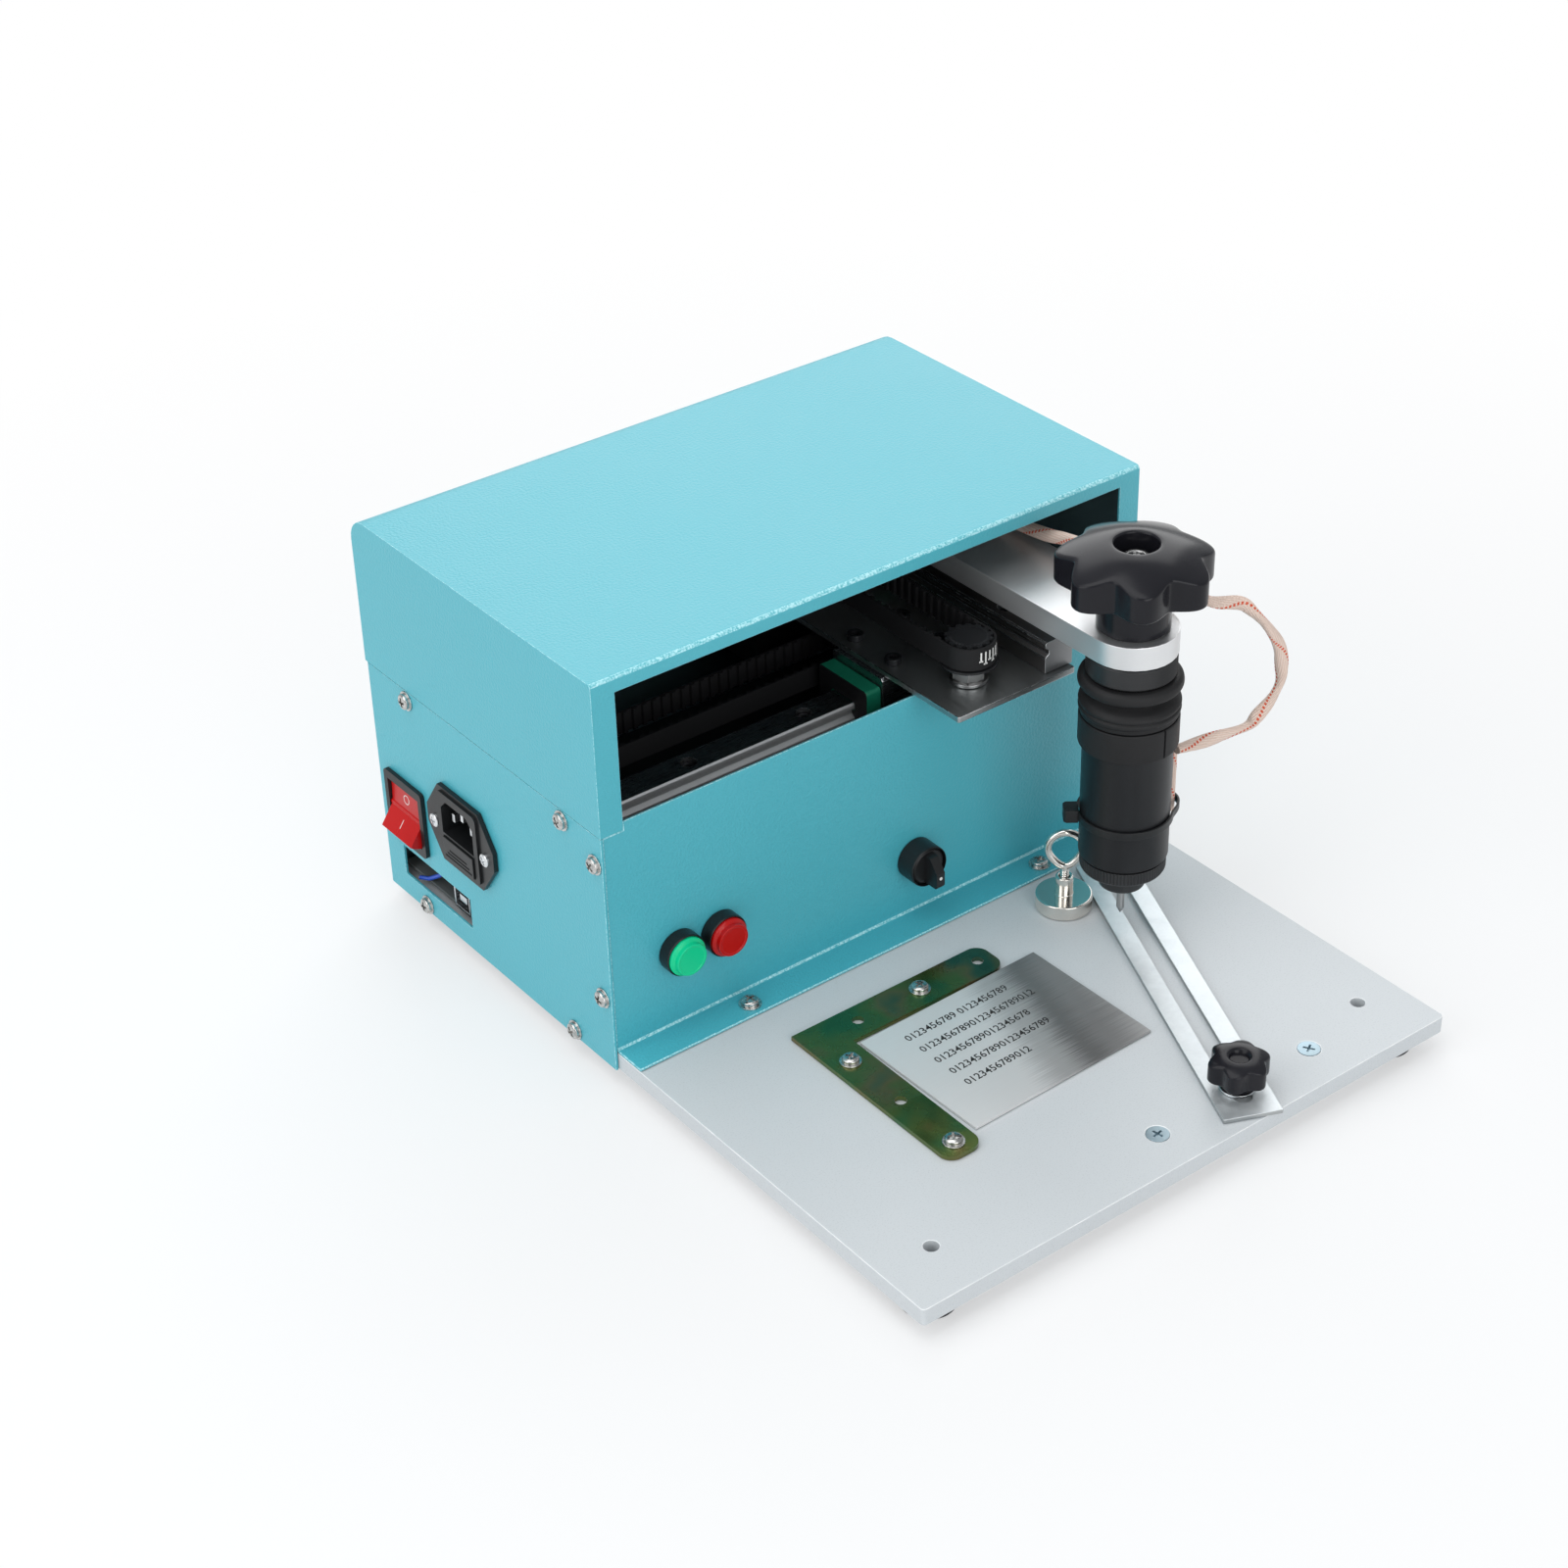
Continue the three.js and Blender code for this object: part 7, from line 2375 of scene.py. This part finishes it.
    def _ring(self) -> None:
        """Builds the knurled ring under the arm."""
        low, high, radius, bore = self.ring_low, self.ring_high, self.ring_radius, self.stem + 0.3
        rows, sides = self.knurl_rows, self.knurl_sides
        profile = [(bore, low), (radius - 0.9, low), (radius - 0.25, low + 0.7)]
        first = len(profile)
        span = high - low - 1.8
        profile += [(radius - 0.15, low + 0.9 + span * i / rows) for i in range(rows + 1)]
        last = len(profile)
        profile += [(radius - 0.25, high - 0.7), (radius - 0.9, high), (bore, high), (bore, low)]

        def diamonds(degrees: float, number: int) -> float:
            """Raises every other point of the knurl, at an angle and a profile point."""
            height = self.knurl_heights[(round(degrees * sides / 360) + number) % 2]
            return height if first <= number < last else 0.0

        self._turn("knurled_lock_ring", profile, sides, KNURLED_BLACK, "knurled_ring", diamonds, 60)

    def _bellows(self) -> None:
        """Builds the rubber bellows between the ring and the head."""
        bore, low = self.bellows_bore, self.bellows_low
        high = low + self.bellows_line[-1][1]
        outside = [(radius, low + height) for radius, height in self.bellows_line]
        profile = softened([(bore, low), *outside, (bore, high)], 0.7, 4)
        bend = Bend("head", (self.x, self.y, high), (self.x, self.y, low))
        self._turn(
            "bellows_rubber_form", closed(profile), 96, BELLOWS_RUBBER, "bellows", sharp=50, bend=bend
        )

    def _cuff(self) -> None:
        """Builds the cuff that clamps the bellows to the head."""
        bore = self.body_radius + 0.3
        low, high, radius = self.cuff_low, self.cuff_high, self.cuff_radius
        cuff = [
            (bore, low), (radius - 0.9, low), (radius - 0.2, low + 0.5), (radius, low + 1.2),
            (radius, high - 0.6), (radius - 0.4, high), (bore, high), (bore, low),
        ]

        def split(degrees: float, number: int) -> float:
            """Cuts a narrow upright groove in the cuff, at an angle and a profile point."""
            near = abs(degrees - self.split_angle) < self.split_half_angle
            return -self.split_depth if near and 0 < number < 6 else 0.0

        self._turn("rubber_cuff", cuff, 360, BELLOWS_RUBBER, "cuff", split)

    def _body(self) -> None:
        """Builds the head's barrel with its stem."""
        radius, low, high = self.body_radius, self.body_low, self.cuff_high - 0.2
        hole, spigot, stem, floor = self.pin_radius + 0.3, self.spigot_radius, self.stem, high - 16.0
        profile = [
            (hole, self.spigot_low), (spigot, self.spigot_low), (spigot, low), (radius, low), (radius, high),
            (stem, high), (stem, self.stem_top), (self.bore, self.stem_top), (self.bore, floor), (0.0, floor),
        ]
        self._turn("head_barrel", softened(profile, 0.6), 112, BLACK_ANODISED, "head_body")

    def _end_cap(self) -> None:
        """Builds the knurled end cap with its nozzle."""
        radius, low, nozzle, mouth = self.cap_radius, self.cap_low, self.nozzle_low, self.nozzle_radius
        high, floor = self.body_low - 0.3, self.spigot_low - 0.3
        hole, recess = self.pin_radius + 0.3, self.spigot_radius + 0.3
        profile = [
            (hole, nozzle), (mouth - 2.2, nozzle), (mouth - 0.7, nozzle + 0.6), (mouth, nozzle + 2.1),
            (mouth, low + 0.1), (mouth + 0.4, low), (radius - 1.3, low), (radius - 0.6, low + 0.5),
            (radius - 0.25, low + 1.2),
        ]
        first = len(profile)
        profile += [(radius - 0.05, low + 1.5), (radius - 0.05, high - 1.5)]
        last = len(profile)
        profile += [
            (radius - 0.35, high - 1.1), (self.cap_neck, high - 0.95), (self.cap_neck, high), (recess, high),
            (recess, floor), (hole, floor),
        ]

        def fluted(degrees: float, number: int) -> float:
            """Presses the knurl into the cap's side, at an angle and a profile point."""
            depth = self.flute_depth * (1 - math.cos(math.radians(degrees * self.flutes))) / 2
            return -depth if first <= number < last else 0.0

        sides = self.flutes * 6
        self._turn("knurled_end_cap", closed(profile), sides, KNURLED_BLACK, "end_cap", fluted, 40)

    def _pin(self) -> None:
        """Builds the marking pin."""
        self._turn("marking_pin", softened(self.pin_line, 0.2), 40, TURNED_STEEL, "stylus_pin")

    def _band(self, degrees: float, grow: float) -> float:
        """Gives the radius of the tie's band, which bulges over the lead.

        Args:
            degrees: The angle round the head.
            grow: Distance from the band's inner face.

        Returns:
            The radius.
        """
        tail = Vector(polar(self.body_radius + self.lead_off, self.tail_angle))
        ray = Vector(polar(1.0, degrees))
        reach = self.body_radius + self.tie_gap + grow
        best = reach
        around = self.lead_half + grow
        off = tail.x * ray.y - tail.y * ray.x
        if abs(off) < around and tail.dot(ray) > 0:
            best = max(best, tail.dot(ray) + math.sqrt(around * around - off * off))
        bridge = math.radians(abs((degrees - self.tail_angle + 180) % 360 - 180))
        spread = math.radians(self.bridge_spread)
        if bridge < spread:
            rise = max(0.0, math.cos(bridge / spread * math.pi / 2)) ** self.bridge_power
            best = max(best, reach + (tail.length + around - reach) * rise)
        return best

    def _tie(self) -> None:
        """Builds the cable tie that holds the end of the lead to the barrel."""
        inner, thick = self.body_radius + self.tie_gap, self.tie_thickness
        grows = (0.0, thick, thick, 0.0)

        def bulge(degrees: float, number: int) -> float:
            """Gives the bulge over the lead at an angle and a profile point."""
            return self._band(degrees, grows[number]) - inner - grows[number]

        profile = slab(inner, inner + thick, self.tie_z - self.tie_half, self.tie_z + self.tie_half)
        form = Form().lathe(closed(profile), 180, self.stand, bulge)
        block = self.stand @ Matrix.Rotation(math.radians(self.tie_head_angle), 4, "Z")
        near, far = (inner + reach for reach in self.tie_block_reach)
        low, high = (self.tie_z + rise for rise in self.tie_block_rise)
        half, side, short = self.tie_block_half, far - self.tie_block_corner, 2.8
        outline = [(near, -half), (side, -half), (far, -short), (far, short), (side, half), (near, half)]
        form.prism(outline, low, high, block)
        show("cable_tie_band", form, BLACK_PLASTIC, "cable_tie", edge=0.35)


@dataclass
class CornerStop:
    """The slotted bracket in the corner of the bed and the plate that it locates."""

    screws: tuple[Flat, ...] = ((121.6, 149.1), (68.9, 129.5), (68.9, 64.5))
    top: float = 2.3
    plate_corner: Flat = (80.4, 137.6)
    plate_turn: float = 1.2
    plate_top: float = 1.5
    rows: tuple[tuple[str, float, float, float], ...] = (
        ("0123456789 0123456789", 15.5, -12.5, 5.4),
        ("01234567890123456789012", 15.5, -21.8, 5.4),
        ("0123456789012345678", 15.5, -31.0, 5.4),
        ("01234567890123456789", 15.5, -40.2, 5.4),
        ("0123456789012", 15.5, -49.4, 5.4),
    )

    def build(self) -> None:
        """Builds the bracket, its screws, the plate and the rows of plain figures on it."""
        dress("corner_bracket", chromate_finish(), 0.3)
        fasteners(
            "bracket_screws", CrossHead(3.7, 2.2, washer=4.7, washer_height=0.7),
            uprights(self.screws, self.top), SCREW_STEEL, "corner_bracket", "zinc",
        )
        dress("nameplate_blank", plate_finish(), 0.12)
        stand = upright(*self.plate_corner, self.plate_top, self.plate_turn)
        form = Form()
        for text, x, y, size in self.rows:
            form.copy_of(self._figures(text, size), stand @ Matrix.Translation((x, y, 0.0)))
        show("plate_figures", form, ENGRAVING, "nameplate_blank", slot="bright_steel")

    def _figures(self, text: str, size: float) -> bpy.types.Mesh:
        """Sets a row of figures.

        Args:
            text: The figures.
            size: Their height.

        Returns:
            A thin mesh in millimetres.
        """
        data = bpy.data.curves.new("figures", "FONT")
        data.body = text
        data.size = size
        data.extrude = 0.015
        data.offset = 0.012 * size
        data.resolution_u = 2
        thing = add_object("figures", data)
        mesh = evaluated(thing)
        bpy.data.objects.remove(thing)
        return mesh


@dataclass
class StrapClamp:
    """The slotted strap with its washer and knob."""

    x: float = 178.6
    y: float = 18.6
    turn: float = -23.5
    washer: tuple[float, float, float, float] = (3.3, 7.5, 2.6, 3.6)
    hub: float = 7.0
    low: float = 3.9
    rim_low: float = 7.9
    top: float = 18.4
    stud: float = 3.0
    stud_low: float = -6.0

    def build(self) -> None:
        """Builds the strap and what clamps it."""
        # The strap's side faces get dark steel as painted shade along its edges.
        paint_faces(dress("strap", STRAP_STEEL, 0.3), DARK_STEEL, lambda spot, normal: abs(normal.z) < 0.4)
        stand = upright(self.x, self.y, 0.0, self.turn)
        ring = closed(softened(slab(*self.washer), 0.2))
        show("strap_washer_ring", Form().lathe(ring, 56, stand), ZINC, "strap_washer")
        rim, top, low, hub = self.rim_low, self.top, self.low, self.hub
        knob = LobedKnob(
            tip=13.0, valley=10.4, lobes=6, first=0.0, rim_low=rim, top=top, crown=5.2, sink=0.9, edge=0.9,
            sides=240, bend=1.8, dome_rows=8,
        )
        below = [
            (0.0, self.stud_low), (self.stud, self.stud_low), (self.stud, low), (hub - 0.3, low),
            (hub, low + 0.3), (hub, rim - 0.3), (hub + 0.6, rim),
        ]
        above = [(4.4, top - 0.3), (4.0, top - 1.0), (3.6, top - 1.9), (0.0, top - 2.0)]
        form = knob.shape(below, above, stand, False)
        show("strap_knob_moulding", form, KNOB_PLASTIC, "strap_knob", sharp=50)


@dataclass
class EyeMagnet:
    """The pot magnet with its eye."""

    x: float = 210.8
    y: float = 158.5
    radius: float = 12.5
    low: float = 0.3
    top: float = 7.1
    boss: float = 3.9
    boss_top: float = 16.1
    wire: float = 1.65
    half_width: float = 7.6
    eye_low: float = 21.1
    eye_height: float = 19.0
    turn: float = -37.0
    bore: float = 2.4
    bore_depth: float = 7.0
    rod_low: float = 11.2
    crests: int = 9
    crest_height: float = 0.3
    crest_pitch: float = 0.9
    first_crest: float = -4.6
    loop_steps: int = 72

    def build(self) -> None:
        """Builds the pot, its boss and the eye."""
        stand = upright(self.x, self.y)
        radius, boss, high, floor = self.radius, self.boss, self.boss_top, self.boss_top - self.bore_depth
        pot = [
            (0.0, self.low), (radius, self.low), (radius, self.top), (boss + 0.2, self.top),
            (boss, self.top + 0.3), (boss, high), (self.bore, high), (self.bore, floor), (0.0, floor),
        ]
        form = Form().lathe(softened(pot, 0.8, 4), 88, stand)
        show("magnet_pot_steel", form, NICKEL, "magnet_pot")
        half, wire = self.half_width, self.wire
        middle = self.eye_low + self.eye_height - half - wire
        loop = []
        for i in range(self.loop_steps):
            angle = math.tau * i / self.loop_steps - math.pi / 2
            below = max(0.0, -math.sin(angle))
            reach = half + (middle - self.eye_low - half) * below ** 4
            loop.append(Vector((half * math.cos(angle), 0.0, middle + reach * math.sin(angle))))
        turn = upright(self.x, self.y, 0.0, self.turn)
        form = Form().sweep([turn @ spot for spot in loop], circle(wire, 18), closed=True)
        rod, rise = [(0.0, self.rod_low), (wire, self.rod_low)], self.crest_height
        for i in range(self.crests):
            z = high + self.first_crest + i * self.crest_pitch
            rod += [(wire, z), (wire + rise, z + rise), (wire, z + 2 * rise)]
        rod += [(wire, self.eye_low + 1.0), (0.0, self.eye_low + 1.0)]
        form.lathe(rod, 40, stand)
        show("eye_bolt_wire", form, NICKEL, "eye_bolt", sharp=50)


def main() -> None:
    """Builds the scene: camera and lead first, then the machine from the bed up."""
    logging.basicConfig(level=logging.INFO, format="%(name)s: %(message)s")
    studio = Studio()
    studio.place_camera()
    HeadLead().build()
    studio.build_floor()
    studio.build_lights()
    for part in (
        WorkBed(), Housing(), PowerSwitch(), MainsInlet(), FrontControls(), Electronics(), XAxis(), YAxis(),
        Arm(), MarkingHead(), CornerStop(), StrapClamp(), EyeMagnet(),
    ):
        part.build()
        log.info("%s built", type(part).__name__)


if __name__ == "__main__":
    main()
